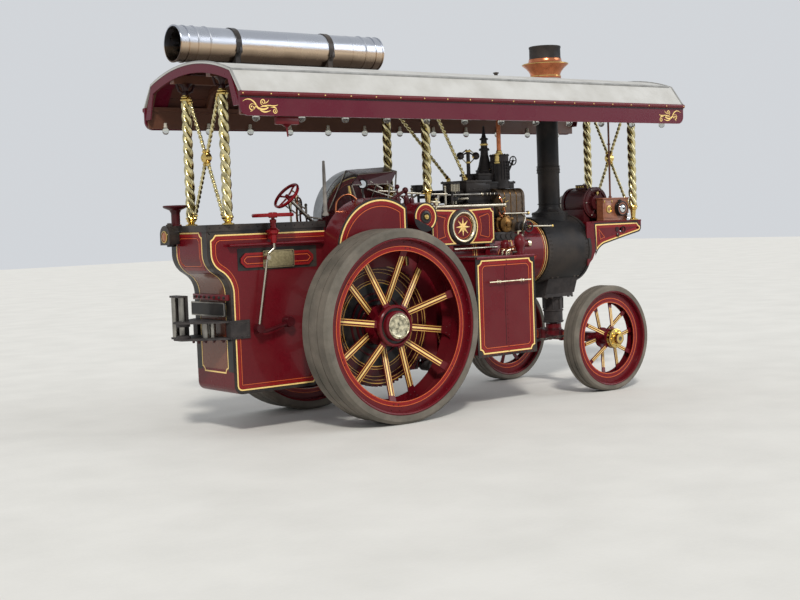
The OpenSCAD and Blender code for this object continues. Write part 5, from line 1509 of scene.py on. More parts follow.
dress_gear_cover()


# Motion plates with their round rings and stars

PLATE_Y = 0.418
ROUNDEL = (0.143, 1.976)
PLATE_LOW = (-0.305, 1.775)
PLATE_HIGH = (0.615, 2.19)


def motion_panels(radius, inset):
    """Outlines of the two painted panels left and right of the round ring."""
    low, high = PLATE_LOW[1] + inset, PLATE_HIGH[1] - inset
    half = math.degrees(math.asin((high - ROUNDEL[1]) / radius))
    deep = math.degrees(math.asin((ROUNDEL[1] - low) / radius))
    left = ([(PLATE_LOW[0] + inset, low)] + arc_points(ROUNDEL, radius, 180 + deep, 180 - half, 16)
            + [(PLATE_LOW[0] + inset, high)])
    right = (arc_points(ROUNDEL, radius, half, -deep, 16)
             + hollow_corner((PLATE_HIGH[0] - inset, low), 0.036, 180, 90)
             + hollow_corner((PLATE_HIGH[0] - inset, high), 0.036, 270, 180))
    return left, right


def star_points(centre, outer, inner, points):
    """A star's outline that starts with a point straight up."""
    found = []
    for i in range(2 * points):
        angle = math.radians(90 + 180 * i / points)
        radius = inner if i % 2 else outer
        found.append((centre[0] + radius * math.cos(angle), centre[1] + radius * math.sin(angle)))
    return found


def dress_motion_plates():
    lining = Lining("motion_plate_lining")
    brass, disc, star, tubes = meshes(4)
    for side in (NEAR, FAR):
        face = side_face(PLATE_Y, side)
        for outline in motion_panels(0.208, 0.012):
            lining.bands(face, outline, cream=(0, 0.014), red=(0.017, 0.05), orange=(0.06, 0.067))
        border = [(PLATE_LOW[0], PLATE_LOW[1]), (PLATE_HIGH[0], PLATE_LOW[1]), PLATE_HIGH,
                  (PLATE_LOW[0], PLATE_HIGH[1])]
        lining.band("edge", face, border, 0.0005, 0.0115)
        # Black outer ring over the plate's raised ring, brass inside it
        centre = face.at(*ROUNDEL, 0)
        add_lathe(lining.meshes["edge"], centre, face.out,
                  [(0.2005, 0), (0.1955, 0.0135), (0.173, 0.0255), (0.168, 0.0262)], 64)
        add_lathe(brass, centre, face.out, [(0.169, 0.0255), (0.166, 0.029), (0.158, 0.03),
                                            (0.148, 0.026), (0.141, 0.017), (0.136, 0.006), (0.135, 0)],
                  64)
        add_lathe(disc, centre, face.out, [(0.136, 0), (0.136, 0.002), (0.127, 0.002), (0.127, 0),
                                           (0.118, 0), (0.118, 0.003), (0, 0.003)], 48)
        add_lathe(lining.meshes["edge"], centre, face.out, band_profile(0.1345, 0.127, 0.0035), 48)
        add_lathe(lining.meshes["orange"], centre, face.out, band_profile(0.127, 0.121, 0.003), 48)
        # Eight pointed star that rises to its middle
        rim = [star.verts.new(face.at(*p, 0.0042)) for p in star_points(ROUNDEL, 0.104, 0.036, 8)]
        tip = star.verts.new(face.at(*ROUNDEL, 0.013))
        for i, corner in enumerate(rim):
            star.faces.new((corner, rim[(i + 1) % len(rim)], tip))
        # Polished tube over the plate and strip below it
        y = side * (PLATE_Y - 0.018)
        add_bar(tubes, (-0.29, y, 2.21), (0.775, y, 2.21), 0.0226, 20)
        for x in (-0.285, 0.765):
            add_bar(tubes, (x, y, 2.21), (x + 0.03, y, 2.21), 0.027, 20)
        add_bar(tubes, (0, side * (PLATE_Y + 0.002), 1.732), (0.64, side * (PLATE_Y + 0.002), 1.732),
                0.016, 14)
    lining.finish()
    new_piece("roundel_brass", brass, PALE_BRASS)
    new_piece("roundel_field", disc, MAROON_PAINT)
    new_piece("roundel_star", star, CREAM_LINE, sharp=5)
    new_piece("motion_rails", tubes, PALE_STEEL)


dress_motion_plates()


# Tanks under the footboards

def dress_tanks():
    lining = Lining("tank_lining")
    flange, seam, rivets, rail = meshes(4)
    low, high = (TANK_LOW.x, TANK_LOW.z), (TANK_HIGH.x, TANK_HIGH.z)
    wide_low, wide_high = (low[0] - 0.026, low[1] - 0.024), (high[0] + 0.022, high[1] + 0.022)
    middle_x = (low[0] + high[0]) / 2
    for side in (NEAR, FAR):
        face = side_face(TANK_HIGH.y, side)
        outline = notched((low[0] + 0.004, low[1] + 0.008), (high[0] - 0.004, high[1] - 0.008), 0.05)
        lining.bands(face, outline, cream=(0, 0.015), red=(0.019, 0.05), orange=(0.06, 0.067))
        inner = notched(low, high, 0.05)
        add_ring_plate(flange, face, fit_outline(wide_low, wide_high, inner), inner, -0.004, 0.004)
        for v in (wide_low[1] + 0.014, wide_high[1] - 0.016):
            add_rivets(rivets, face, (low[0] + 0.035, v, 0), (high[0] - 0.035, v, 0), 0.05, 0.0075, 0.004)
        add_line(seam, face, [(middle_x - 0.018, low[1] + 0.09), (middle_x - 0.018, high[1] - 0.09)],
                 0.006, 0.0012, closed=False)
        add_rivets(rivets, face, (middle_x + 0.012, low[1] + 0.02, 0),
                   (middle_x + 0.012, high[1] - 0.02, 0), 0.05, 0.0075, 0.0012)
        # Hand rail on two ball stands
        y = side * (TANK_HIGH.y + 0.034)
        add_bar(rail, (0.052, y, 1.372), (0.662, y, 1.372), 0.0085, 12)
        for x in (0.2, 0.545):
            add_ball(rail, (x, y, 1.372), 0.019, 14)
            add_bar(rail, (x, side * TANK_HIGH.y, 1.372), (x, y, 1.372), 0.009, 10)
            add_bar(rail, (x, side * TANK_HIGH.y, 1.372), (x, side * (TANK_HIGH.y + 0.005), 1.372), 0.018,
                    14)
    lining.finish()
    new_piece("tank_flange", flange, BLACK_PAINT)
    new_piece("tank_seam", seam, SHADOW_LINE)
    new_piece("tank_rivets", rivets, RIVET_PAINT)
    new_piece("tank_rail", rail, PALE_BRASS)
    # Lined brackets on the footboards, and rails along their edges in mauve, a painted highlight of the
    # lit maroon edge
    brackets = Lining("tank_bracket_lining")
    steel = bmesh.new()
    board_z = high_corner("footboards").z
    for side in (NEAR, FAR):
        face = side_face(TANK_HIGH.y - 0.03, side)
        outline = [(high[0] + 0.014, board_z - 0.122), (high[0] + 0.112, board_z - 0.004),
                   (high[0] + 0.014, board_z - 0.004)]
        brackets.bands(face, outline, red=(0.002, 0.014), orange=(0.019, 0.024))
        y = side * (TANK_HIGH.y + 0.013)
        add_bar(steel, (low[0] - 0.012, y, board_z - 0.006), (high[0] + 0.012, y, board_z - 0.006), 0.008,
                8)
    brackets.finish()
    new_piece("footboard_edge", steel, MAUVE_HIGHLIGHT)


def fit_outline(low, high, inner):
    """A rectangle's outline with one point for each point of an inner outline."""
    per = len(inner) // 4
    (u0, v0), (u1, v1) = low, high
    corners = [((u0, v0 + 0.03), (u0, v0), (u0 + 0.03, v0)), ((u1 - 0.03, v0), (u1, v0), (u1, v0 + 0.03)),
               ((u1, v1 - 0.03), (u1, v1), (u1 - 0.03, v1)), ((u0 + 0.03, v1), (u0, v1), (u0, v1 - 0.03))]
    found = []
    for before, corner, after in corners:
        for i in range(per):
            t = 2 * i / (per - 1)
            a, b = (before, corner) if t <= 1 else (corner, after)
            t = t if t <= 1 else t - 1
            found.append((a[0] + (b[0] - a[0]) * t, a[1] + (b[1] - a[1]) * t))
    return found


dress_tanks()


# Bracket ahead of the smokebox

def dress_bracket():
    lining = Lining("bracket_lining")
    trim = bmesh.new()
    x1, top = high_corner("dynamo_bracket").x, high_corner("dynamo_bracket").z
    inner_top = top - 0.018
    for side in (NEAR, FAR):
        face = side_face(0.394, side)
        outline = ([(SMOKEBOX_X + 0.035, 1.53)] + arc_points((SMOKEBOX_X + 0.27, 1.46), 0.242, 158, 100,
                                                             8)
                   + arc_points((x1 - 0.06, 1.88), 0.058, -75, 10, 6)
                   + hollow_corner((x1 - 0.012, inner_top), 0.045, 270, 180)
                   + [(SMOKEBOX_X + 0.035, inner_top)])
        lining.surround(face, outline, edge=0.018, size=0.92)
        # Rimmed hole, bolt, and a flat dark disc: painted shade where a second hole shows
        add_lathe(trim, face.at(SMOKEBOX_X + 0.54, 1.86, 0), face.out,
                  [(0.031, 0), (0.041, 0), (0.041, 0.008), (0.036, 0.011), (0.031, 0.008),
                   (0.031, -0.014)], 28)
        add_lathe(trim, face.at(SMOKEBOX_X + 0.43, 1.865, 0), face.out, ring_profile(0, 0.03, 0.006), 24)
        add_lathe(trim, face.at(SMOKEBOX_X + 0.438, 1.795, 0), face.out,
                  [(0, 0), (0.026, 0), (0.026, 0.012), (0.016, 0.02), (0, 0.022)], 6)
    lining.finish()
    new_piece("bracket_trim", trim, SHADOW_LINE)


dress_bracket()


# Flywheel and winding drum on the far side

FLYWHEEL_SIDES = (0.452, 0.617)


def dress_flywheel():
    y0, y1 = FLYWHEEL_SIDES
    rim, lining = bmesh.new(), Lining("flywheel_lining")
    add_lathe(rim, (CRANK.x, y0, CRANK.z), TO_FAR,
              [(0.51, -0.0005), (0.512, -0.0015), (0.556, -0.0015), (0.5608, 0.003), (0.5612, 0.02),
               (0.5612, 0.145), (0.5608, 0.162), (0.556, 0.1665), (0.512, 0.1665), (0.51, 0.1655)], 96)
    new_piece("flywheel_rim", rim, FLYWHEEL_STEEL, "flywheel")
    web = (y0 + y1) / 2
    for y, side in ((web - 0.009, -1), (web + 0.009, 1)):
        centre = Vector((CRANK.x, y, CRANK.z))
        for part, start, end in (("edge", 0.478, 0.505), ("cream", 0.462, 0.474), ("red", 0.43, 0.456),
                                 ("orange", 0.416, 0.421), ("orange", 0.135, 0.14), ("red", 0.145, 0.165),
                                 ("cream", 0.17, 0.178)):
            add_lathe(lining.meshes[part], centre, (0, side, 0), band_profile(end, start, 0.0016), 72)
    lining.finish("flywheel")
    bolts = bmesh.new()
    for y, side in ((y0, -1), (y1 + 0.01, 1)):
        for out in around(6, "xz"):
            place = Vector((CRANK.x, y, CRANK.z)) + 0.078 * out
            add_nut(bolts, place, (0, side, 0), 0.014, 0.012)
    new_piece("flywheel_bolts", bolts, STEEL_METAL, "flywheel")


dress_flywheel()


def dress_winding_drum():
    """Turns of wire rope between the drum's flanges, and lined flanges."""
    rope, lining = bmesh.new(), Lining("drum_lining")
    low, high = low_corner("winding_drum").y, high_corner("winding_drum").y
    inner, outer = low + 0.022, high - 0.022
    count = 7
    pitch = (outer - inner) / count
    for layer, radius in enumerate((0.198, 0.216, 0.234)):
        for i in range(count):
            y = inner + pitch * (i + (0.8 if layer % 2 else 0.5))
            if y + 0.009 > high - 0.018:
                continue
            add_pipe(rope, [(REAR_AXLE.x + radius * math.cos(a), y, REAR_AXLE.z + radius * math.sin(a))
                            for a in (2 * math.pi * k / 40 for k in range(40))], 0.0095, 6, True)
    new_piece("winding_rope", rope, WORN_STEEL, "winding_drum")
    for y, side in ((low, -1), (high, 1)):
        for part, start, end in (("cream", 0.306, 0.314), ("red", 0.28, 0.3)):
            add_lathe(lining.meshes[part], (REAR_AXLE.x, y, REAR_AXLE.z), (0, side, 0),
                      band_profile(end, start, 0.0015), 64)
    lining.finish("winding_drum")


dress_winding_drum()


# Small fittings that several groups use

def add_hand_wheel(mesh, centre, axis, radius, grip, dish=0.0):
    """A wheel with four round spokes that meet in a hub."""
    centre, axis = Vector(centre), Vector(axis).normalized()
    first, second = across(axis)
    ring = [centre + radius * heading(first, second, a)
            for a in (2 * math.pi * i / 32 for i in range(32))]
    add_pipe(mesh, ring, grip, 8, True)
    hub = centre + dish * axis
    for i in range(4):
        out = heading(first, second, 2 * math.pi * i / 4)
        add_bar(mesh, hub + 0.2 * radius * out, centre + radius * out, grip * 0.7, 8)
    add_lathe(mesh, hub - grip * 1.4 * axis, axis,
              [(0, 0), (grip * 1.6, 0), (grip * 1.6, grip * 2.4), (grip, grip * 3.4), (0, grip * 3.4)],
              16)


def add_cock(mesh, base, up, size, handle=AHEAD):
    """A small plug cock with its handle."""
    base, up, handle = Vector(base), Vector(up).normalized(), Vector(handle).normalized()
    profile = [(0, 0), (0.3, 0), (0.3, 0.3), (0.5, 0.4), (0.52, 0.9), (0.3, 1.0), (0.3, 1.3),
               (0.42, 1.35), (0.42, 1.6), (0.2, 1.7), (0, 1.7)]
    add_lathe(mesh, base, up, [(r * size, a * size) for r, a in profile], 14)
    top = base + up * size * 1.45
    add_bar(mesh, top, top + handle * size * 1.8, size * 0.16, 8)
    add_ball(mesh, top + handle * size * 1.8, size * 0.24, 8)


def add_flange(mesh, centre, axis, radius, thick, bolts=6):
    """A round flange with a ring of bolt heads."""
    centre, axis = Vector(centre), Vector(axis).normalized()
    add_lathe(mesh, centre, axis, ring_profile(0, radius, thick), 24)
    first, second = across(axis)
    for i in range(bolts):
        out = heading(first, second, 2 * math.pi * (i + 0.5) / bolts)
        add_dome(mesh, centre + axis * thick + 0.78 * radius * out, axis, radius * 0.13)


CURVE_STEPS = 8


def curve_through(points):
    """A smooth line through points, for bent pipes."""
    points = [Vector(p) for p in points]
    found = [points[0]]
    for i in range(len(points) - 1):
        before = points[max(i - 1, 0)]
        after = points[min(i + 2, len(points) - 1)]
        a, b = points[i], points[i + 1]
        start = a + (b - before) / 6
        end = b - (after - a) / 6
        found.extend(interpolate_bezier(a, start, end, b, CURVE_STEPS + 1)[1:])
    return found


def add_bent_pipe(mesh, points, radius, sides):
    add_pipe(mesh, curve_through(points), radius, sides)


# Cylinders, steam chest and governor

CYL_BACK, CYL_FRONT = low_corner("cylinder_block").x, high_corner("cylinder_block").x


def dress_cylinders():
    straps, covers, bolts = meshes(3)
    # Bands round the lagging
    for x in (CYL_BACK + 0.11, CYL_BACK + 0.2, CYL_BACK + 0.29):
        line = ([(-0.3005, 1.93), (-0.3005, 2.3)] + arc_points((-0.21, 2.3), 0.0905, 180, 90, 6)
                + arc_points((0.21, 2.3), 0.0905, 90, 0, 6) + [(0.3005, 1.93)])
        add_pipe(straps, [(x, y, z) for y, z in line], 0.006, 6)
    # Round end covers at both ends, the front ones with their studs
    for side in (NEAR, FAR):
        centre = Vector((CYL_FRONT, side * 0.15, CRANK.z))
        add_lathe(covers, centre, AHEAD, [(0.13, 0), (0.13, 0.02), (0.105, 0.03), (0.06, 0.04),
                                          (0, 0.042)], 40)
        for out in around(10, "yz"):
            place = centre + Vector((0.02, 0, 0)) + 0.115 * out
            add_lathe(bolts, place, AHEAD, [(0, 0), (0.011, 0), (0.011, 0.009), (0.006, 0.009),
                                            (0.005, 0.016), (0, 0.017)], 6)
        add_lathe(covers, (CYL_BACK, side * 0.15, CRANK.z), BACKWARD,
                  [(0.12, 0), (0.12, 0.02), (0.06, 0.03), (0.045, 0.07), (0.03, 0.07)], 36)
        # Corner bolts of the two flanges
        for x in (CYL_BACK + 0.033, CYL_FRONT - 0.032):
            out = 1 if x < 1 else -1
            for z in (2.09, 2.16, 2.23, 2.3):
                add_nut(bolts, (x, side * 0.304, z), (out, 0, 0), 0.008, 0.008, 0.001)
    new_piece("cylinder_bands", straps, BRONZE)
    new_piece("cylinder_covers", covers, DARK_IRON)
    new_piece("cylinder_bolts", bolts, WORN_STEEL)


def add_bolted_box(mesh, bolts, low, high):
    """A cast box with a flange round its top and bolts along the flange's near edge."""
    low, high = Vector(low), Vector(high)
    rim = 0.014
    add_block(mesh, low, high, 0.008)
    add_block(mesh, (low.x - rim, low.y - rim, high.z - 0.02),
              (high.x + rim, high.y + rim, high.z + 0.006), 0.004)
    for y in (low.y - rim * 0.2, high.y + rim * 0.2):
        for place in spaced((low.x + 0.01, y, high.z + 0.006), (high.x - 0.01, y, high.z + 0.006), 0.07):
            add_dome(bolts, place, UP, 0.01)


def dress_chest():
    cast, bolts, brass, steel = meshes(4)
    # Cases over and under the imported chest
    add_bolted_box(cast, bolts, (0.39, -0.214, 2.366), (0.752, 0.214, 2.494))
    add_bolted_box(cast, bolts, (0.7, -0.204, 2.404), (1.13, 0.204, 2.474))
    add_bolted_box(cast, bolts, (0.63, -0.154, 2.474), (1.072, 0.154, 2.574))
    for x0, x1, y, z0, z1 in ((0.4, 0.78, 0.205, 2.225, 2.367), (0.18, 0.4, 0.16, 2.25, 2.4)):
        add_block(cast, (x0, -y, z0), (x1, y, z1), 0.01)
        for side in (NEAR, FAR):
            face = side_face(y, side)
            add_line(cast, face, rounded((x0 + 0.02, z0 + 0.02), (x1 - 0.02, z1 - 0.02), 0.01), 0.012,
                     0.006)
            for u in (x0 + 0.03, (x0 + x1) / 2, x1 - 0.03):
                add_dome(bolts, face.at(u, z1 - 0.03, 0.004), face.out, 0.009)
    for u in (0.43, 0.5, 0.57, 0.64, 0.71):
        for side in (NEAR, FAR):
            add_dome(bolts, (u, side * 0.214, 2.4), (0, side, 0), 0.009)
    # Valve box: ribs down its side, cap with bolts, brass column beside it
    valve = Vector((0.961, -0.15, 0))
    for out in around(18, "xy"):
        add_bar(cast, valve + 0.1115 * out + Vector((0, 0, 2.5)), valve + 0.1115 * out
                + Vector((0, 0, 2.715)), 0.0065, 6)
    add_lathe(cast, valve + Vector((0, 0, 2.772)), UP,
              [(0.112, 0), (0.116, 0.006), (0.116, 0.02), (0.05, 0.026), (0, 0.026)], 32)
    for out in around(8, "xy"):
        add_dome(bolts, valve + Vector((0, 0, 2.793)) + 0.095 * out, UP, 0.01)
    add_lathe(brass, (0.872, -0.212, 2.69), UP,
              [(0, 0), (0.034, 0), (0.034, 0.012), (0.027, 0.02), (0.027, 0.09), (0.035, 0.098),
               (0.035, 0.11), (0, 0.112)], 20)
    add_lathe(brass, valve + Vector((0, 0, 2.797)), UP,
              [(0.045, 0), (0.045, 0.012), (0.034, 0.018), (0.034, 0.04), (0.0265, 0.046)], 24)
    # Governor: arms, ball rims, spindle ring and the bevel case below
    spin = Vector((0.615, 0, 0))
    for side in (-1, 1):
        add_bar(steel, spin + Vector((side * 0.02, 0, 2.86)), spin + Vector((side * 0.118, 0, 2.8)),
                0.007, 8)
        add_bar(steel, spin + Vector((side * 0.02, 0, 2.7)), spin + Vector((side * 0.118, 0, 2.776)),
                0.006, 8)
        add_lathe(brass, spin + Vector((side * 0.118, 0, 2.788)), (side, 0, 0.35),
                  [(0, -0.052), (0.012, -0.05), (0.014, -0.04)], 12)
    for z in (2.7, 2.83):
        add_lathe(brass, spin + Vector((0, 0, z)), UP,
                  [(0.022, 0), (0.032, 0.003), (0.032, 0.02), (0.022, 0.024)], 20)
    stem = Vector((CYL_BACK + 0.08, 0, 0))
    for z, r in ((2.905, 0.048), (2.6, 0.108), (2.845, 0.062)):
        add_lathe(brass if z > 2.88 else cast, stem + Vector((0, 0, z)), UP,
                  [(r - 0.014, 0), (r, 0.004), (r, 0.022), (r - 0.014, 0.026)], 28)
    add_lathe(cast, stem + Vector((0, 0, 2.968)), UP,
              [(0.034, 0), (0.05, 0.006), (0.05, 0.02), (0.03, 0.03), (0.018, 0.08), (0.012, 0.16),
               (0, 0.17)], 20)
    # Lever and small wheel beside the stem
    add_bar(steel, (0.83, -0.12, 2.62), (1.12, -0.16, 2.7), 0.009, 8)
    add_hand_wheel(cast, (1.13, -0.2, 2.72), (0, 1, 0.1), 0.05, 0.007)
    add_bar(cast, (1.13, -0.2, 2.72), (1.11, -0.12, 2.57), 0.012, 10)
    new_piece("chest_cases", cast, DARK_IRON)
    new_piece("chest_bolts", bolts, WORN_STEEL)
    new_piece("chest_brass", brass, BRASS_METAL)
    new_piece("chest_steel", steel, PALE_STEEL)


def dress_cylinder_side():
    """Cocks, pipes and the bronze bonnet on the near side of the cylinders."""
    brass, bronze, steel, iron, copper = meshes(5)
    y = -0.305
    # Bonnet under the block, stepped and bolted
    add_lathe(bronze, (0.85, y + 0.01, 1.985), TO_NEAR,
              [(0.12, 0), (0.12, 0.03), (0.1, 0.036), (0.09, 0.07), (0.06, 0.086), (0.03, 0.09),
               (0.03, 0.104), (0, 0.106)], 32)
    for out in around(8, "xz", 0.5):
        add_dome(iron, Vector((0.85, y - 0.02, 1.985)) + 0.108 * out, TO_NEAR, 0.01)
    add_block(bronze, (0.72, y - 0.04, 2.03), (0.98, y, 2.062), 0.006)
    # Cluster of cocks at the block's back edge
    for x, z, size in ((0.815, 2.235, 0.03), (0.85, 2.19, 0.034), (0.835, 2.14, 0.028)):
        add_cock(brass, (x, y - 0.008, z), (0, -0.5, 0.86), size, (0.8, 0, 0.3))
    add_bent_pipe(copper, [(0.8, y, 2.33), (0.795, y - 0.03, 2.28), (0.83, y - 0.035, 2.2),
                           (0.86, y - 0.03, 2.12), (0.9, y - 0.02, 2.1)], 0.009, 8)
    add_bent_pipe(copper, [(0.79, y, 2.16), (0.77, y - 0.03, 2.12), (0.8, y - 0.04, 2.07),
                           (0.85, y - 0.03, 2.06)], 0.008, 8)
    add_pipe(steel, [(0.84, y - 0.033, 2.108), (1.22, y - 0.033, 2.106)], 0.0145, 12)
    add_lathe(brass, (1.2, y - 0.033, 2.106), AHEAD,
              [(0, 0), (0.024, 0), (0.024, 0.02), (0.012, 0.028), (0, 0.03)], 14)
    # Bright pipe that bends down to the pump
    add_bent_pipe(steel, [(1.1, y - 0.06, 2.1), (1.1, y - 0.1, 2.05), (1.04, y - 0.13, 1.97),
                          (0.96, -0.52, 1.9), (0.84, -0.64, 1.85), (0.7, -0.78, 1.86)], 0.0135, 12)
    # Stop valve with its wheel, and the rod ahead of it
    add_lathe(iron, (1.07, -0.33, 1.95), TO_NEAR,
              [(0, 0), (0.06, 0), (0.06, 0.05), (0.045, 0.06), (0.045, 0.11), (0.02, 0.12), (0.02, 0.16),
               (0, 0.16)], 24)
    add_hand_wheel(iron, (1.07, -0.5, 1.95), TO_NEAR, 0.058, 0.009)
    add_bar(brass, (1.07, -0.47, 1.95), (1.07, -0.512, 1.95), 0.016, 12)
    add_bar(steel, (1.12, -0.42, 1.955), (1.52, -0.42, 1.945), 0.0115, 12)
    add_ball(brass, (1.52, -0.42, 1.945), 0.02, 12)
    add_bar(iron, (1.12, -0.33, 1.955), (1.12, -0.43, 1.955), 0.014, 10)
    for x in (1.2, 1.45):
        add_bar(iron, (x, -0.42, 1.952), (x, -0.28, 1.93), 0.011, 10)
    # Dark pipes and fittings on the boiler below
    add_block(iron, (0.66, -0.36, 1.8), (0.98, -0.28, 1.9), 0.012)
    for x in (0.7, 0.78, 0.86, 0.94):
        add_flange(iron, (x, -0.36, 1.85), TO_NEAR, 0.03, 0.012, 4)
    add_bent_pipe(iron, [(0.98, -0.33, 1.86), (1.06, -0.36, 1.84), (1.1, -0.38, 1.76), (1.02, -0.42, 1.7),
                         (0.9, -0.46, 1.68)], 0.02, 10)
    new_piece("cylinder_cocks", brass, BRASS_METAL)
    new_piece("cylinder_bonnet", bronze, BRONZE)
    new_piece("cylinder_bright_pipes", steel, PALE_STEEL)
    new_piece("cylinder_stop_valve", iron, DARK_IRON)
    new_piece("cylinder_copper", copper, COPPER_METAL)


def dress_pumps():
    """The pumps' outer body on the footboard, its brass cap, cocks and pipes."""
    body, brass, steel, copper = meshes(4)
    board = high_corner("footboards").z
    for side in (NEAR, FAR):
        place = Vector((0.64, side * 0.8, board))
        add_lathe(body, place, UP, [(0.075, 0), (0.075, 0.014), (0.045, 0.02), (0.04, 0.06),
                                    (0.054, 0.09), (0.062, 0.12), (0.064, 0.145), (0.058, 0.175),
                                    (0.04, 0.2), (0.026, 0.21), (0.026, 0.225), (0, 0.23)], 28)
        add_lathe(body, place + Vector((0.04, 0, 0.12)), AHEAD,
                  [(0, 0), (0.04, 0), (0.04, 0.05), (0.03, 0.055), (0.03, 0.08)], 24)
        add_lathe(brass, place + Vector((0.118, 0, 0.12)), AHEAD,
                  [(0, -0.01), (0.036, -0.01), (0.044, 0), (0.044, 0.024), (0.034, 0.032), (0.012, 0.034),
                   (0.01, 0.044), (0, 0.045)], 28)
        add_bar(steel, place + Vector((0, 0, 0.03)), place + Vector((-0.09, side * -0.02, 0.03)), 0.014,
                10)
        add_cock(brass, place + Vector((-0.02, 0, 0.225)), UP, 0.024)
        # Pipe between this body and the inner one, with unions
        inner = Vector((0.642, side * 0.56, board + 0.1))
        add_bent_pipe(copper, [place + Vector((0, side * -0.05, 0.1)), (0.6, side * 0.7, board + 0.07),
                               inner], 0.013, 10)
        add_nut(brass, place + Vector((0, side * -0.05, 0.1)), (0, -side, 0), 0.024, 0.02)
        # Small brass valves behind the pump
        for x, y in ((0.5, 0.66), (0.545, 0.72), (0.47, 0.76)):
            add_cock(brass, (x, side * y, board), (0.1, 0, 1), 0.032, (0.7, side * 0.5, 0.3))
        add_bent_pipe(copper, [(0.4, side * 0.7, board), (0.42, side * 0.7, board + 0.06),
                               (0.5, side * 0.66, board + 0.07), (0.6, side * 0.78, board + 0.05)], 0.008,
                      8)
        # Tread strips of the footboard
        for y in (0.5, 0.62, 0.74, 0.86):
            add_block(steel, (-0.07, side * y - 0.004, board - 0.001),
                      (0.42, side * y + 0.004, board + 0.004))
    new_piece("pump_bodies", body, MAROON_PAINT)
    new_piece("pump_brass", brass, PALE_BRASS)
    new_piece("pump_steel", steel, WORN_STEEL)
    new_piece("pump_copper", copper, COPPER_METAL)


def dress_motion():
    """Lubricator, rods, links and the eccentric rods between the side plates."""
    iron, steel, brass = meshes(3)
    for side in (NEAR, FAR):
        # Ribbed lubricator on its post
        y = side * 0.3
        add_block(iron, (0.045, y - 0.05, 2.372), (0.168, y + 0.05, 2.458), 0.006)
        add_block(iron, (0.036, y - 0.058, 2.456), (0.177, y + 0.058, 2.472), 0.004)
        for i in range(6):
            x = 0.052 + 0.022 * i
            add_bar(steel, (x, y + side * 0.052, 2.375), (x, y + side * 0.052, 2.455), 0.0065, 8)
        add_bar(iron, (0.1, y, 2.24), (0.1, y, 2.375), 0.016, 10)
        add_bar(steel, (0.005, y, 2.23), (0.005, y, 2.425), 0.013, 12)
        add_ball(steel, (0.005, y, 2.43), 0.018, 12)
        add_ball(steel, (0.552, side * 0.29, 2.34), 0.024, 16)
        add_bar(iron, (0.575, side * 0.29, 2.34), (0.785, side * 0.29, 2.34), 0.0175, 12)
        for x in (0.61, 0.66, 0.72):
            add_lathe(steel, (x, side * 0.29, 2.34), AHEAD, ring_profile(0.0175, 0.024, 0.012, 0.002), 14)
        # Curved link with its block, hung from a cross shaft
        for k in range(10):
            a0, a1 = math.radians(-26 + 5.2 * k), math.radians(-26 + 5.2 * (k + 1))
            for r in (0.4, 0.44):
                add_bar(steel, (-0.22 + r * math.cos(a0), side * 0.225, 2.29 + r * math.sin(a0)),
                        (-0.22 + r * math.cos(a1), side * 0.225, 2.29 + r * math.sin(a1)), 0.011, 6)
        add_block(iron, (0.17, side * 0.225 - 0.02, 2.27), (0.24, side * 0.225 + 0.02, 2.32), 0.004)
        add_bar(steel, (0.24, side * 0.225, 2.295), (0.42, side * 0.2, 2.295), 0.014, 10)
        # Eccentric rods that stop short of the cranks
        for rise in (-1, 1):
            start = Vector((-0.36, side * (0.235 + 0.03 * rise), CRANK.z + 0.055 * rise))
            end = Vector((0.2, side * 0.225, 2.29 + 0.15 * rise))
            add_bar(steel, start, end, 0.012, 8)
            add_ball(steel, end, 0.02, 10)
            add_block(steel, start - Vector((0.02, 0.012, 0.022)), start + Vector((0.02, 0.012, 0.022)),
                      0.004)
        # Oil cups on the slide bars
        for x in (-0.05, 0.2, 0.5, 0.7):
            add_lathe(brass, (x, side * 0.15, 2.19), UP,
                      [(0, 0), (0.008, 0), (0.008, 0.014), (0.02, 0.02), (0.02, 0.045), (0.01, 0.052),
                       (0, 0.054)], 14)
        # Reversing rod from the footplate over the cover
        add_bar(steel, (-0.24, side * 0.33, 2.352), (0.01, side * 0.33, 2.349), 0.009, 8)
    add_bar(iron, (0.1, -0.3, 2.33), (0.1, 0.3, 2.33), 0.018, 12)
    add_bar(steel, (-0.95, -0.335, 2.4), (-0.24, -0.335, 2.352), 0.011, 8)
    new_piece("motion_links_iron", iron, DARK_IRON)
    new_piece("motion_links_steel", steel, PALE_STEEL)
    new_piece("motion_oil_cups", brass, BRASS_METAL)


dress_cylinders()
dress_chest()
dress_cylinder_side()
dress_pumps()
dress_motion()


# Boiler, smokebox and chimney

BARREL_R = (high_corner("boiler_barrel").z - low_corner("boiler_barrel").z) / 2 - 0.004
SMOKEBOX_R = 0.405


def dress_boiler():
    lines = {"orange": bmesh.new(), "cream": bmesh.new()}
    first, last = -0.228, 1.428
    for i in range(4):
        x = first + i * (last - first) / 3
        for key, at_x, width in (("orange", x - 0.014, 0.005), ("cream", x + 0.004, 0.007),
                                 ("cream", x + 0.035, 0.007), ("orange", x + 0.055, 0.005)):
            radius = BARREL_R + (0.004 if x <= at_x <= x + 0.046 else 0.0)
            add_lathe(lines[key], (at_x, 0, BOILER_Z), AHEAD,
                      ring_profile(radius, radius + 0.0014, width), 72)
    new_piece("boiler_orange_lines", lines["orange"], ORANGE_LINE)
    new_piece("boiler_cream_lines", lines["cream"], CREAM_LINE)


def ring_rivets(mesh, x, radius, count, size, skip=()):
    """Rivets round the boiler's line, left out between the given angles."""
    for i in range(count):
        angle = 360 * (i + 0.5) / count
        if any(low <= angle <= high for low, high in skip):
            continue
        out = Vector((0, math.cos(math.radians(angle)), math.sin(math.radians(angle))))
        add_dome(mesh, Vector((x, 0, BOILER_Z)) + radius * out, out, size)


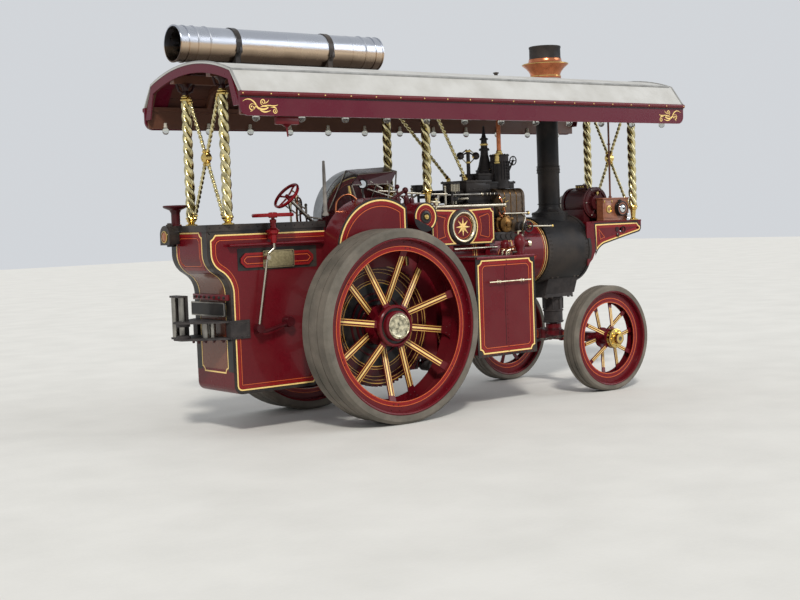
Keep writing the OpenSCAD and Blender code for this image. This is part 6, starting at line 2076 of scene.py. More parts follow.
def dress_smokebox():
    rivets, trim, brass = meshes(3)
    for x in (1.51, 1.535, 2.1, 2.125):
        ring_rivets(rivets, x, SMOKEBOX_R, 54, 0.008, ((62, 118), (240, 300)))
    for out in around(40, "yz", 0.5):
        place = Vector((SMOKEBOX_X, 0, BOILER_Z)) + 0.355 * out
        if place.y < 0.27 or abs(place.z - BOILER_Z) > 0.16:
            add_dome(rivets, place, AHEAD, 0.008)
    add_lathe(trim, (SMOKEBOX_X - 0.001, 0, BOILER_Z), AHEAD,
              [(0.302, 0), (0.308, 0.01), (0.318, 0.012), (0.325, 0)], 64)
    new_piece("smokebox_rivets", rivets, SMOKE_BLACK)
    new_piece("smokebox_door_seat", trim, STEEL_METAL)
    # Door: clamps round it, a blank round plate and the handles' boss
    door, plate, handle = meshes(3)
    for i in range(1, 11):
        angle = math.radians(30 * i + 15)
        out = Vector((0, math.cos(angle), math.sin(angle)))
        centre = Vector((SMOKEBOX_X + 0.016, 0, BOILER_Z)) + 0.272 * out
        turned = Vector((0, -out.z, out.y))
        for t in (-1, 1):
            add_bar(door, centre + turned * 0.014 * t - out * 0.02, centre + turned * 0.014 * t
                    + out * 0.018, 0.007, 8)
        add_nut(door, centre, AHEAD, 0.014, 0.022, 0.002)
    add_lathe(plate, (SMOKEBOX_X + 0.0455, 0, BOILER_Z + 0.15), (1, 0, -0.02),
              [(0, 0), (0.05, -0.004), (0.05, 0.004), (0.042, 0.006), (0, 0.006)], 32)
    add_lathe(handle, (SMOKEBOX_X + 0.09, 0, BOILER_Z), AHEAD,
              [(0.036, -0.012), (0.036, 0), (0.026, 0.008), (0, 0.01)], 24)
    for end in ((-0.13, -0.096), (0.12, -0.11)):
        add_ball(handle, (SMOKEBOX_X + 0.079, end[0], BOILER_Z + end[1]), 0.017, 12)
    new_piece("smokebox_door_clamps", door, STEEL_METAL, "smokebox_door")
    new_piece("smokebox_door_plate", plate, BRASS_METAL, "smokebox_door")
    new_piece("smokebox_door_boss", handle, STEEL_METAL, "smokebox_door")
    # Steam pipe low down, with a bolted flange at its end
    pipe = bmesh.new()
    add_bent_pipe(pipe, [(1.19, 0.315, 2.0), (1.3, 0.36, 1.92), (1.42, 0.39, 1.8), (1.56, 0.395, 1.74)],
                  0.02, 12)
    new_piece("blower_pipe", pipe, COPPER_METAL)
    add_flange(brass, (1.56, 0.39, 1.745), (0.1, 1, 0.1), 0.035, 0.012, 6)
    new_piece("blower_flange", brass, BRASS_METAL)


def dress_chimney():
    rivets, rings, cap = meshes(3)
    base = BOILER_Z + SMOKEBOX_R + 0.05
    radius = 0.131
    for out in around(28, "xy"):
        add_dome(rivets, Vector((CHIMNEY_X, 0, base - 0.02)) + (radius + 0.084) * out, out, 0.008)
        add_dome(rivets, Vector((CHIMNEY_X, 0, base + 0.51)) + (radius + 0.008) * out, out, 0.007)
    new_piece("chimney_rivets", rivets, SMOKE_BLACK)
    for z in (base + 0.092, base + 0.47, base + 0.545):
        add_lathe(rings, (CHIMNEY_X, 0, z), UP, [(radius - 0.002, 0), (radius + 0.012, 0.002),
                                                 (radius + 0.012, 0.012), (radius - 0.002, 0.014)], 48)
    new_piece("chimney_beads", rings, SMOKE_BLACK)
    # Flared copper cap and the black crown over it
    flare, crown = meshes(2)
    add_lathe(flare, (CHIMNEY_X, 0, 0), UP, [(0.15, 3.712), (0.186, 3.712), (0.188, 3.735), (0.18, 3.745),
                                             (0.183, 3.77), (0.198, 3.8), (0.226, 3.835), (0.26, 3.862),
                                             (0.277, 3.876), (0.279, 3.884), (0.274, 3.891),
                                             (0.24, 3.894), (0.212, 3.905), (0.2, 3.922), (0.196, 3.945),
                                             (0.15, 3.95)], 64)
    add_lathe(crown, (CHIMNEY_X, 0, 0), UP, [(0.15, 3.944), (0.19, 3.944), (0.192, 3.952), (0.188, 3.962),
                                             (0.187, 4.068), (0.192, 4.078), (0.192, 4.094),
                                             (0.186, 4.098), (0.154, 4.098), (0.15, 4.08)], 64)
    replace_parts(new_piece("chimney_cap_flare", flare, COPPER_METAL), "chimney_cap")
    new_piece("chimney_crown", crown, SMOKE_BLACK)
    for z, r in ((3.736, 0.188), (3.879, 0.281)):
        add_lathe(cap, (CHIMNEY_X, 0, z), UP, [(r - 0.012, -0.003), (r, 0), (r, 0.008),
                                               (r - 0.012, 0.011)], 56)
    new_piece("chimney_cap_beads", cap, BRASS_METAL)


dress_boiler()
dress_smokebox()
dress_chimney()


# Front end: dynamo, switch box, perch bracket and axle

BRACKET_TOP = high_corner("dynamo_bracket").z
DYNAMO = Vector((SMOKEBOX_X + 0.29, 0, BRACKET_TOP + 0.23))


def dress_dynamo():
    body, brass, steel = meshes(3)
    for y, side in ((-0.19, -1), (0.19, 1)):
        # End bells with windows between their arms
        add_lathe(body, DYNAMO + Vector((0, y, 0)), (0, side, 0),
                  [(0.191, 0), (0.191, 0.006), (0.168, 0.014), (0.15, 0.014), (0.145, 0.004)], 48)
        for out in around(6, "xz"):
            add_bar(body, DYNAMO + Vector((0, y + side * 0.006, 0)) + 0.085 * out, DYNAMO
                    + Vector((0, y + side * 0.006, 0)) + 0.17 * out, 0.014, 8)
            add_dome(steel, DYNAMO + Vector((0, y + side * 0.012, 0)) + 0.178 * out, (0, side, 0), 0.011)
    add_lathe(steel, DYNAMO + Vector((0, -0.242, 0)), TO_NEAR,
              [(0.04, 0), (0.04, 0.02), (0.026, 0.026), (0, 0.026)], 24)
    # Field coils' bolts, ribs, lifting eye, terminal board and oil cups
    for i in range(10):
        angle = math.radians(20 + 320 * i / 9 - 70)
        out = Vector((math.cos(angle), 0, math.sin(angle)))
        for y in (-0.09, 0.09):
            add_dome(steel, DYNAMO + Vector((0, y, 0)) + 0.175 * out, out, 0.013)
    for y in (-0.13, -0.045, 0.045, 0.13):
        add_lathe(body, DYNAMO + Vector((0, y - 0.006, 0)), TO_FAR,
                  ring_profile(0.175, 0.181, 0.012, 0.002), 48)
    ring = [DYNAMO + Vector((0.03 * math.cos(a), 0, 0.205 + 0.03 * math.sin(a)))
            for a in (2 * math.pi * i / 16 for i in range(16))]
    add_pipe(steel, ring, 0.008, 8, True)
    add_block(body, DYNAMO + Vector((-0.07, -0.09, 0.168)), DYNAMO + Vector((-0.05, 0.09, 0.225)), 0.004)
    for y in (-0.06, -0.02, 0.02, 0.06):
        add_lathe(brass, DYNAMO + Vector((-0.07, y, 0.2)), BACKWARD,
                  [(0.012, 0), (0.012, 0.008), (0.006, 0.01), (0.006, 0.022), (0, 0.023)], 8)
    for y in (-0.215, 0.215):
        add_lathe(brass, DYNAMO + Vector((0, y, 0.088)), UP,
                  [(0.008, 0), (0.008, 0.012), (0.02, 0.018), (0.02, 0.042), (0.008, 0.05), (0, 0.05)],
                  14)
    new_piece("dynamo_ribs", body, DEEP_PAINT)
    new_piece("dynamo_brass", brass, BRASS_METAL)
    new_piece("dynamo_steel", steel, STEEL_METAL)
    pulley = bmesh.new()
    for out in around(5, "xz"):
        add_bar(pulley, DYNAMO + Vector((0, 0.29, 0)) + 0.035 * out, DYNAMO + Vector((0, 0.29, 0))
                + 0.1 * out, 0.011, 8)
    add_lathe(pulley, DYNAMO + Vector((0, 0.242, 0)), TO_FAR,
              [(0.1105, 0), (0.1125, 0.012), (0.113, 0.044), (0.1125, 0.076), (0.1105, 0.088)], 48)
    new_piece("dynamo_pulley_crown", pulley, STEEL_METAL, "dynamo_pulley")


def dress_switch_box():
    low, high = low_corner("switch_box"), high_corner("switch_box")
    box_y = -0.36
    wood, brass, black, chrome = meshes(4)
    # Lid, plinth and corner posts
    add_block(wood, (low.x - 0.008, box_y - 0.008, high.z - 0.004),
              (high.x + 0.008, -0.246, high.z + 0.014), 0.005)
    add_block(wood, (low.x - 0.006, box_y - 0.006, low.z), (high.x + 0.006, -0.248, low.z + 0.02), 0.004)
    add_block(wood, (low.x + 0.02, box_y - 0.004, low.z + 0.03),
              (low.x + 0.155, box_y + 0.002, high.z - 0.02), 0.003)
    for x in (low.x + 0.02, low.x + 0.15, high.x - 0.02):
        add_block(brass, (x - 0.006, box_y - 0.009, high.z - 0.05), (x + 0.006, box_y, high.z - 0.018),
                  0.002)
    add_lathe(brass, (low.x + 0.09, box_y - 0.004, low.z + 0.14), TO_NEAR,
              [(0.045, 0), (0.045, 0.012), (0.038, 0.014), (0.038, 0.006), (0, 0.006)], 28)
    add_lathe(wood, (low.x + 0.09, box_y - 0.008, low.z + 0.14), TO_NEAR, [(0.036, 0), (0, 0.004)], 20)
    # Lamp: black drum with its bright rim and reflector
    centre = Vector((low.x + 0.29, box_y, low.z + 0.146))
    add_lathe(black, centre, TO_NEAR, [(0.092, 0), (0.094, 0.02), (0.094, 0.045), (0.089, 0.056),
                                       (0.08, 0.0565), (0.074, 0.052)], 40)
    add_lathe(black, centre + Vector((0, 0, 0.09)), UP,
              [(0.03, -0.004), (0.03, 0.012), (0.018, 0.018), (0, 0.02)], 16)
    add_lathe(chrome, centre + Vector((0, -0.0525, 0)), TO_NEAR,
              [(0.046, 0.001), (0.043, 0.004), (0.03, 0.012), (0, 0.016)], 32)
    add_lathe(black, centre + Vector((0, -0.05, 0)), TO_NEAR, [(0.076, 0), (0.05, 0.003), (0.044, 0.001)],
              32)
    add_lathe(black, centre + Vector((0, -0.066, 0)), TO_NEAR, [(0.014, 0), (0.014, 0.008), (0, 0.01)],
              16)
    # Small bright insulator beside the lamp
    add_lathe(chrome, (high.x - 0.05, box_y - 0.03, low.z), UP,
              [(0.026, 0), (0.026, 0.03), (0.02, 0.04), (0.024, 0.06), (0.016, 0.085), (0, 0.088)], 20)
    new_piece("switch_box_trim", wood, BOX_WOOD)
    new_piece("switch_box_brass", brass, BRASS_METAL)
    new_piece("front_lamp_drum", black, BLACK_PAINT)
    new_piece("front_lamp_glass", chrome, LAMP_CHROME)
    # Thin post from the box up to the canopy, with its collars
    rod = bmesh.new()
    roof_z = BOARD_HIGH.z + 0.12
    add_bar(rod, (2.64, -0.3, high.z), (2.64, -0.3, roof_z), 0.0125, 12)
    for z in (high.z + 0.014, 2.9, roof_z - 0.03):
        add_lathe(rod, (2.64, -0.3, z), UP, ring_profile(0.0125, 0.022, 0.02, 0.004), 14)
    new_piece("front_post", rod, BROWN_PANEL)
    # Bolts along the edges of the shelf
    edge = bmesh.new()
    for side in (NEAR, FAR):
        for x in (SMOKEBOX_X + 0.1, SMOKEBOX_X + 0.25, SMOKEBOX_X + 0.5, SMOKEBOX_X + 0.75):
            add_dome(edge, (x, side * 0.388, BRACKET_TOP), UP, 0.009)
    new_piece("bracket_bolts", edge, DARK_STUD)


dress_dynamo()
dress_switch_box()


def dress_perch():
    bolts, ribs = meshes(2)
    perch_x = FRONT_AXLE.x
    for side in (NEAR, FAR):
        for x in (1.67, 1.76, 2.04, 2.1):
            add_nut(bolts, (x, side * 0.235, 1.33), (0, side, -0.3), 0.016, 0.012, 0.002)
            add_nut(bolts, (x, side * 0.13, 1.08), DOWN, 0.016, 0.014, 0.001)
    for z in (1.05, 0.9, 0.765):
        add_lathe(ribs, (perch_x, 0, z), UP, ring_profile(0.114, 0.126, 0.024, 0.004), 36)
    for out in around(8, "xy"):
        add_bar(ribs, Vector((perch_x, 0, 1.07)) + 0.12 * out, Vector((perch_x, 0, 0.93)) + 0.118 * out,
                0.01, 6)
    new_piece("perch_bolts", bolts, WORN_STEEL)
    new_piece("perch_ribs", ribs, IRON_CAST)


def dress_front_axle():
    """Forged lugs, clips and bolts on the axle beam; they steer with it."""
    lugs, bolts, line = meshes(3)
    x, z = FRONT_AXLE.x, FRONT_AXLE.z
    for side in (NEAR, FAR):
        for y in (0.18, 0.42):
            add_block(lugs, (x - 0.064, side * y - 0.025, z - 0.064),
                      (x + 0.064, side * y + 0.025, z + 0.064), 0.006)
            for dx in (-0.035, 0.035):
                add_nut(bolts, (x + dx, side * y, z + 0.064), UP, 0.013, 0.012, 0.001)
        face = Face((x + 0.055, 0, 0), TO_FAR, UP, AHEAD)
        start, end = sorted((side * 0.22, side * 0.39))
        add_line(line, face, rounded((start, z - 0.035), (end, z + 0.035), 0.01), 0.006, 0.0012)
        back = back_face(x - 0.055)
        add_line(line, back, rounded((start, z - 0.035), (end, z + 0.035), 0.01), 0.006, 0.0012)
    add_lathe(lugs, (x, 0, z + 0.055), UP, [(0.1, 0), (0.1, 0.02), (0.097, 0.03)], 32)
    new_piece("front_axle_clips", lugs, DEEP_PAINT, "front_axle")
    new_piece("front_axle_bolts", bolts, WORN_STEEL, "front_axle")
    new_piece("front_axle_lines", line, ORANGE_LINE, "front_axle")


def dress_underside():
    """Ash pan ribs, rivets on the tank bottoms, drain cocks and the water pipe between them."""
    iron, rivets, copper = meshes(3)
    under = Face((0, 0, TANK_LOW.z), AHEAD, TO_FAR, DOWN)
    for y in (-0.85, -0.45, 0.45, 0.85):
        add_rivets(rivets, under, (TANK_LOW.x + 0.05, y, 0), (TANK_HIGH.x - 0.05, y, 0), 0.1, 0.01)
    for x in (TANK_LOW.x + 0.04, TANK_HIGH.x - 0.04):
        add_rivets(rivets, under, (x, -0.8, 0), (x, 0.8, 0), 0.1, 0.01)
    for side in (NEAR, FAR):
        add_cock(copper, (TANK_LOW.x + 0.12, side * 0.6, TANK_LOW.z), DOWN, 0.03)
        add_bent_pipe(copper, [(TANK_LOW.x + 0.05, side * 0.42, 0.7), (-0.16, side * 0.42, 0.66),
                               (-0.22, side * 0.4, 0.72), (-0.26, side * 0.385, 0.9)], 0.014, 10)
        for x in (-0.92, -0.7, -0.45):
            add_bar(iron, (x, side * 0.285, 0.565), (x, side * 0.235, 0.44), 0.012, 8)
    new_piece("under_irons", iron, IRON_CAST)
    new_piece("under_rivets", rivets, RIVET_PAINT)
    new_piece("under_pipes", copper, COPPER_METAL)


dress_perch()
dress_front_axle()
dress_underside()


CHAIN_WIRE, CHAIN_LINK = 0.0075, 0.052


def add_chain(mesh, route):
    """Oval links along a line of points, each turned a quarter from the last."""
    lengths = [(b - a).length for a, b in zip(route, route[1:])]
    total = sum(lengths)
    count = max(2, round(total / CHAIN_LINK))
    for i in range(count):
        far, k = (i + 0.5) * total / count, 0
        while k < len(lengths) - 1 and far > lengths[k]:
            far -= lengths[k]
            k += 1
        along = (route[k + 1] - route[k]).normalized()
        centre = route[k] + far * along
        first, second = across(along)
        wide = (first + second if i % 2 else first - second).normalized()
        reach, width = 0.5 * total / count + CHAIN_WIRE * 0.9, CHAIN_WIRE * 2.0
        oval = [centre + reach * math.cos(a) * along + width * math.sin(a) * wide
                for a in (2 * math.pi * n / 12 for n in range(12))]
        add_pipe(mesh, oval, CHAIN_WIRE, 6, True)


def dress_chains():
    """Steering chains from the shaft to clips on the axle, made as a back part and a front part; the
    clips ride on the axle.
    """
    clips = bmesh.new()
    axle = FRONT_AXLE
    for side, label in ((NEAR, "near"), (FAR, "far")):
        back = [Vector((-0.287, side * 0.27, 0.47)), Vector((1.0, side * 0.19, 0.56))]
        front = [back[-1], Vector((1.36, side * 0.2, 0.586)),
                 Vector((axle.x - 0.135, side * 0.3, axle.z))]
        fixed, moving = meshes(2)
        add_chain(fixed, back)
        add_chain(moving, front)
        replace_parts(new_piece("steering_chain_" + label, fixed, WORN_STEEL), "steering_chains")
        piece = new_piece("steering_chain_end_" + label, moving, WORN_STEEL, None)
        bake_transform(piece)
        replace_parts(piece, "steering_chains")
        # Clip on the back of the axle beam that holds the last link
        add_block(clips, (axle.x - 0.075, side * 0.3 - 0.03, axle.z - 0.04),
                  (axle.x - 0.05, side * 0.3 + 0.03, axle.z + 0.04), 0.004)
        for low, high in ((-0.018, -0.011), (0.011, 0.018)):
            add_block(clips, (axle.x - 0.145, side * 0.3 + low, axle.z - 0.014),
                      (axle.x - 0.07, side * 0.3 + high, axle.z + 0.014), 0.002)
        add_bar(clips, (axle.x - 0.136, side * 0.3 - 0.022, axle.z),
                (axle.x - 0.136, side * 0.3 + 0.022, axle.z), 0.006, 8)
    new_piece("steering_chain_clips", clips, IRON_CAST, "front_axle")


dress_chains()


# Footplate: backhead, steering, brake and the fittings above the hornplates

BACKHEAD_X = -0.98
HORN_TOP = 2.215
FOOT_Z = 1.13
# The chain shaft under the boiler
SHAFT_X, SHAFT_Z = -0.35, 0.47
STEERING_HUB = Vector((-2.03, -0.2, 2.375))
STEERING_DOWN = Vector((math.sin(math.radians(48)), 0, -math.cos(math.radians(48))))
BRAKE = Vector((-2.365, -0.452, 2.15))


def dress_steering():
    """Column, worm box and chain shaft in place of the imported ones."""
    column, box, shaft, bolts = meshes(4)
    reach = (STEERING_HUB.z - 1.95) / -STEERING_DOWN.z
    foot = STEERING_HUB + reach * STEERING_DOWN
    add_bar(column, STEERING_HUB + 0.03 * STEERING_DOWN, foot, 0.018, 16)
    for along in (0.045, 0.32, reach - 0.03):
        add_lathe(column, STEERING_HUB + along * STEERING_DOWN, STEERING_DOWN,
                  ring_profile(0.018, 0.027, 0.025, 0.003), 16)
    add_bar(column, STEERING_HUB + 0.33 * STEERING_DOWN, (-1.7, -0.345, 2.12), 0.009, 8)
    new_piece("steering_column", column, MOTION_STEEL)
    # Worm box: a rounded casing with a flanged lid
    add_block(box, (-1.68, -0.34, 1.88), (-1.54, -0.15, 1.944), 0.012)
    add_block(box, (-1.684, -0.344, 1.944), (-1.536, -0.146, 1.96), 0.005)
    add_lathe(box, foot + 0.05 * STEERING_DOWN, -STEERING_DOWN,
              [(0, 0), (0.04, 0), (0.04, 0.05), (0.028, 0.066), (0.02, 0.07)], 20)
    for x in (-1.672, -1.61, -1.548):
        for y in (-0.332, -0.158):
            add_dome(bolts, (x, y, 1.96), UP, 0.008)
    # Chain shaft with grooved drums, collars and bolted hangers
    add_bar(shaft, (SHAFT_X, -0.42, SHAFT_Z), (SHAFT_X, 0.42, SHAFT_Z), 0.035, 24)
    for side in (NEAR, FAR):
        profile = [(0.035, 0.24), (0.06, 0.242)]
        for i in range(7):
            y = 0.252 + 0.022 * i
            profile += [(0.06, y), (0.05, y + 0.004), (0.05, y + 0.014), (0.06, y + 0.018)]
        profile += [(0.06, 0.418), (0.035, 0.42)]
        add_lathe(shaft, (SHAFT_X, 0, SHAFT_Z), (0, side, 0), profile, 28)
    for low in (-0.3, 0.26):
        add_block(box, (-0.4, low, 0.47), (-0.3, low + 0.04, 0.56), 0.006)
        add_lathe(box, (SHAFT_X, low, SHAFT_Z), TO_FAR, ring_profile(0.035, 0.052, 0.04), 24)
        for x in (-0.385, -0.315):
            add_dome(bolts, (x, low + 0.02, 0.47), DOWN, 0.01)
    for piece in (new_piece("steering_shaft", shaft, IRON_CAST),
                  new_piece("steering_box", box, DEEP_PAINT)):
        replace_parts(piece, "steering_gear")
    new_piece("steering_bolts", bolts, WORN_STEEL)


def dress_brake():
    """Upright screw in its red casting, the leaning pull rod and the brake arm below it."""
    casting, rod, arm = meshes(3)
    x, y = BRAKE.x, BRAKE.y
    add_lathe(casting, (x, y, 1.9), UP, [(0, 0), (0.022, 0), (0.03, 0.03), (0.03, 0.08), (0.05, 0.1),
                                         (0.052, 0.13), (0.03, 0.15), (0.026, 0.2), (0.034, 0.215),
                                         (0.034, 0.235), (0.018, 0.24), (0.018, 0.27)], 20)
    add_block(casting, (x - 0.045, y - 0.02, 2.0), (x + 0.045, -TENDER_Y - 0.01, 2.035), 0.008)
    add_block(casting, (x - 0.03, y + 0.015, 1.94), (x + 0.03, -TENDER_Y - 0.01, 2.0), 0.006)
    for dx in (-0.062, 0.062):
        add_bar(casting, (x + dx, y, 2.02), (x, y, 2.06), 0.014, 8)
    new_piece("brake_casting", casting, WHEEL_RED)
    top, foot = Vector((-2.436, -0.43, 1.76)), Vector((-2.568, -0.43, 1.06))
    add_bar(rod, (x, y, 1.9), (x, y, 1.845), 0.014, 12)
    add_bar(rod, (x, y, 1.85), (-2.425, -0.44, 1.8), 0.013, 12)
    add_pipe(rod, [(-2.425, -0.44, 1.8), top, foot], 0.013, 12)
    for place in (top, foot):
        add_lathe(rod, place - Vector((0, 0.03, 0)), TO_FAR, ring_profile(0, 0.024, 0.06), 16)
    new_piece("brake_rod", rod, PALE_STEEL)
    add_bent_pipe(arm, [foot, (-2.5, -0.43, 1.03), (-2.38, -0.43, 1.05), (-2.2, -0.425, 1.1)], 0.022, 10)
    add_lathe(arm, foot - Vector((0, 0.04, 0)), TO_FAR, ring_profile(0, 0.045, 0.075), 20)
    add_lathe(arm, (-2.2, -0.455, 1.1), TO_FAR,
              [(0, 0), (0.05, 0), (0.055, 0.02), (0.055, 0.09), (0, 0.095)], 20)
    new_piece("brake_arm", arm, DEEP_PAINT)


def dress_control_wheels():
    steering, brake = meshes(2)
    add_hand_wheel(steering, STEERING_HUB, -STEERING_DOWN, 0.151, 0.0145, -0.02)
    add_hand_wheel(steering, STEERING_HUB + 0.012 * STEERING_DOWN, -STEERING_DOWN, 0.151, 0.009)
    centre = BRAKE + Vector((0, 0, 0.03))
    add_lathe(brake, centre, UP, [(0, -0.028), (0.04, -0.028), (0.05, -0.012), (0.17, -0.006),
                                  (0.187, -0.018), (0.203, -0.018), (0.21, -0.006), (0.21, 0.008),
                                  (0.203, 0.018), (0.187, 0.018), (0.17, 0.004), (0.05, 0.006),
                                  (0.042, 0.026), (0.02, 0.03), (0, 0.03)], 44)
    for piece in (new_piece("steering_wheel", steering, WHEEL_RED),
                  new_piece("brake_wheel", brake, WHEEL_RED)):
        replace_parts(piece, "control_wheels")


def dress_backhead():
    iron, brass, steel, glass, copper = meshes(5)
    face = back_face(BACKHEAD_X)
    # Firehole door with hinges and latch
    add_lathe(iron, face.at(0, 1.47, 0.014), BACKWARD,
              [(0.165, 0), (0.165, 0.012), (0.14, 0.018), (0.135, 0.01), (0, 0.01)], 36)
    for v in (1.39, 1.55):
        add_bar(iron, face.at(-0.2, v, 0.022), face.at(0.02, v, 0.03), 0.011, 8)
    add_bar(iron, face.at(-0.2, 1.36, 0.02), face.at(-0.2, 1.58, 0.02), 0.014, 10)
    add_pipe(steel, [face.at(0.1, 1.47, 0.02), face.at(0.1, 1.47, 0.06), face.at(0.16, 1.47, 0.06)],
             0.008)
    # Stays and plate rivets
    for u in (-0.24, -0.12, 0.0, 0.12, 0.24):
        for v in (1.2, 1.29, 1.69, 1.78):
            add_dome(steel, face.at(u, v, 0), face.out, 0.012)
    add_rivets(iron, face, (-0.31, 1.18, 0), (-0.31, 1.6, 0), 0.055, 0.009)
    add_rivets(iron, face, (0.31, 1.18, 0), (0.31, 1.6, 0), 0.055, 0.009)
    # Two gauge glasses between their cocks
    for u in (-0.17, 0.17):
        for v in (1.66, 1.86):
            add_cock(brass, face.at(u, v, 0), face.out, 0.03, DOWN)
        add_bar(glass, face.at(u, 1.67, 0.035), face.at(u, 1.855, 0.035), 0.009, 12)
        add_lathe(brass, face.at(u, 1.655, 0.035), UP, [(0.015, 0), (0.015, 0.025), (0.01, 0.03)], 12)
        add_lathe(brass, face.at(u, 1.845, 0.035), UP, [(0.01, 0), (0.015, 0.005), (0.015, 0.03)], 12)
    # Manifold, injector valves and their pipes on the backhead crown
    add_block(brass, (BACKHEAD_X - 0.05, -0.12, 1.875), (BACKHEAD_X - 0.002, 0.12, 1.915), 0.008)
    for u in (-0.09, -0.03, 0.03, 0.09):
        place = Vector((BACKHEAD_X - 0.05, u, 1.895))
        add_bar(steel, place, place + Vector((-0.05, 0, 0)), 0.006, 8)
        add_hand_wheel(steel, place + Vector((-0.055, 0, 0)), BACKWARD, 0.026, 0.004)
    for side in (NEAR, FAR):
        add_bent_pipe(copper, [(BACKHEAD_X - 0.025, side * 0.11, 1.88), (-1.01, side * 0.16, 1.8),
                               (-1.02, side * 0.25, 1.62), (-1.05, side * 0.29, 1.36),
                               (-1.06, side * 0.3, 1.14)], 0.0125, 10)
        add_lathe(brass, (-1.06, side * 0.3, 1.13), UP,
                  [(0.03, 0), (0.03, 0.01), (0.018, 0.02), (0.018, 0.06), (0.024, 0.065), (0.024, 0.09),
                   (0, 0.095)], 16)
    new_piece("backhead_iron", iron, IRON_CAST)
    new_piece("backhead_brass", brass, BRASS_METAL)
    new_piece("backhead_steel", steel, MOTION_STEEL)
    new_piece("backhead_glass", glass, LAMP_CHROME)
    new_piece("backhead_copper", copper, COPPER_METAL)


def dress_levers():
    """Reversing lever in its notched sector, regulator handle and gear levers."""
    steel, paint_parts, brass = meshes(3)
    pivot = Vector((-1.15, -0.315, 1.42))
    add_bar(paint_parts, pivot, (-1.3, -0.315, 2.36), 0.013, 12, 0.011)
    add_bar(brass, (-1.3, -0.315, 2.36), (-1.318, -0.315, 2.46), 0.016, 12, 0.013)
    add_bar(steel, (-1.295, -0.298, 2.3), (-1.21, -0.298, 1.9), 0.006, 8)
    add_lathe(paint_parts, pivot - Vector((0, 0.026, 0)), TO_FAR, ring_profile(0, 0.045, 0.045), 20)
    sector = side_face(0.296, NEAR)
    outer = arc_points((pivot.x, pivot.z), 0.56, 84, 112, 14)
    inner = arc_points((pivot.x, pivot.z), 0.5, 112, 84, 14)
    add_panel(steel, sector, outer + inner, -0.006, 0.006)
    for i in range(9):
        angle = math.radians(86 + 3 * i)
        add_dome(steel, sector.at(pivot.x + 0.56 * math.cos(angle), pivot.z + 0.56 * math.sin(angle), 0),
                 (math.cos(angle), 0, math.sin(angle)), 0.011)
    # Regulator: a long handle that crosses over the backhead
    add_lathe(brass, (-0.99, 0.0, 1.955), BACKWARD,
              [(0.03, -0.04), (0.03, 0.03), (0.018, 0.04), (0.018, 0.07), (0, 0.075)], 18)
    add_bar(steel, (-1.05, 0.0, 1.955), (-1.06, -0.25, 2.08), 0.01, 10)
    add_ball(brass, (-1.06, -0.25, 2.08), 0.02, 12)
    for x, top_z in ((-1.52, 2.32), (-1.44, 2.28)):
        add_bar(paint_parts, (x, 0.3, FOOT_Z), (x - 0.02, 0.3, top_z - 0.08), 0.011, 10)
        add_bar(steel, (x - 0.02, 0.3, top_z - 0.08), (x - 0.022, 0.3, top_z), 0.014, 10)
        add_ball(steel, (x - 0.022, 0.3, top_z), 0.018, 12)
    new_piece("lever_steel", steel, MOTION_STEEL)
    new_piece("lever_paint", paint_parts, DEEP_PAINT)
    new_piece("lever_brass", brass, BRASS_METAL)


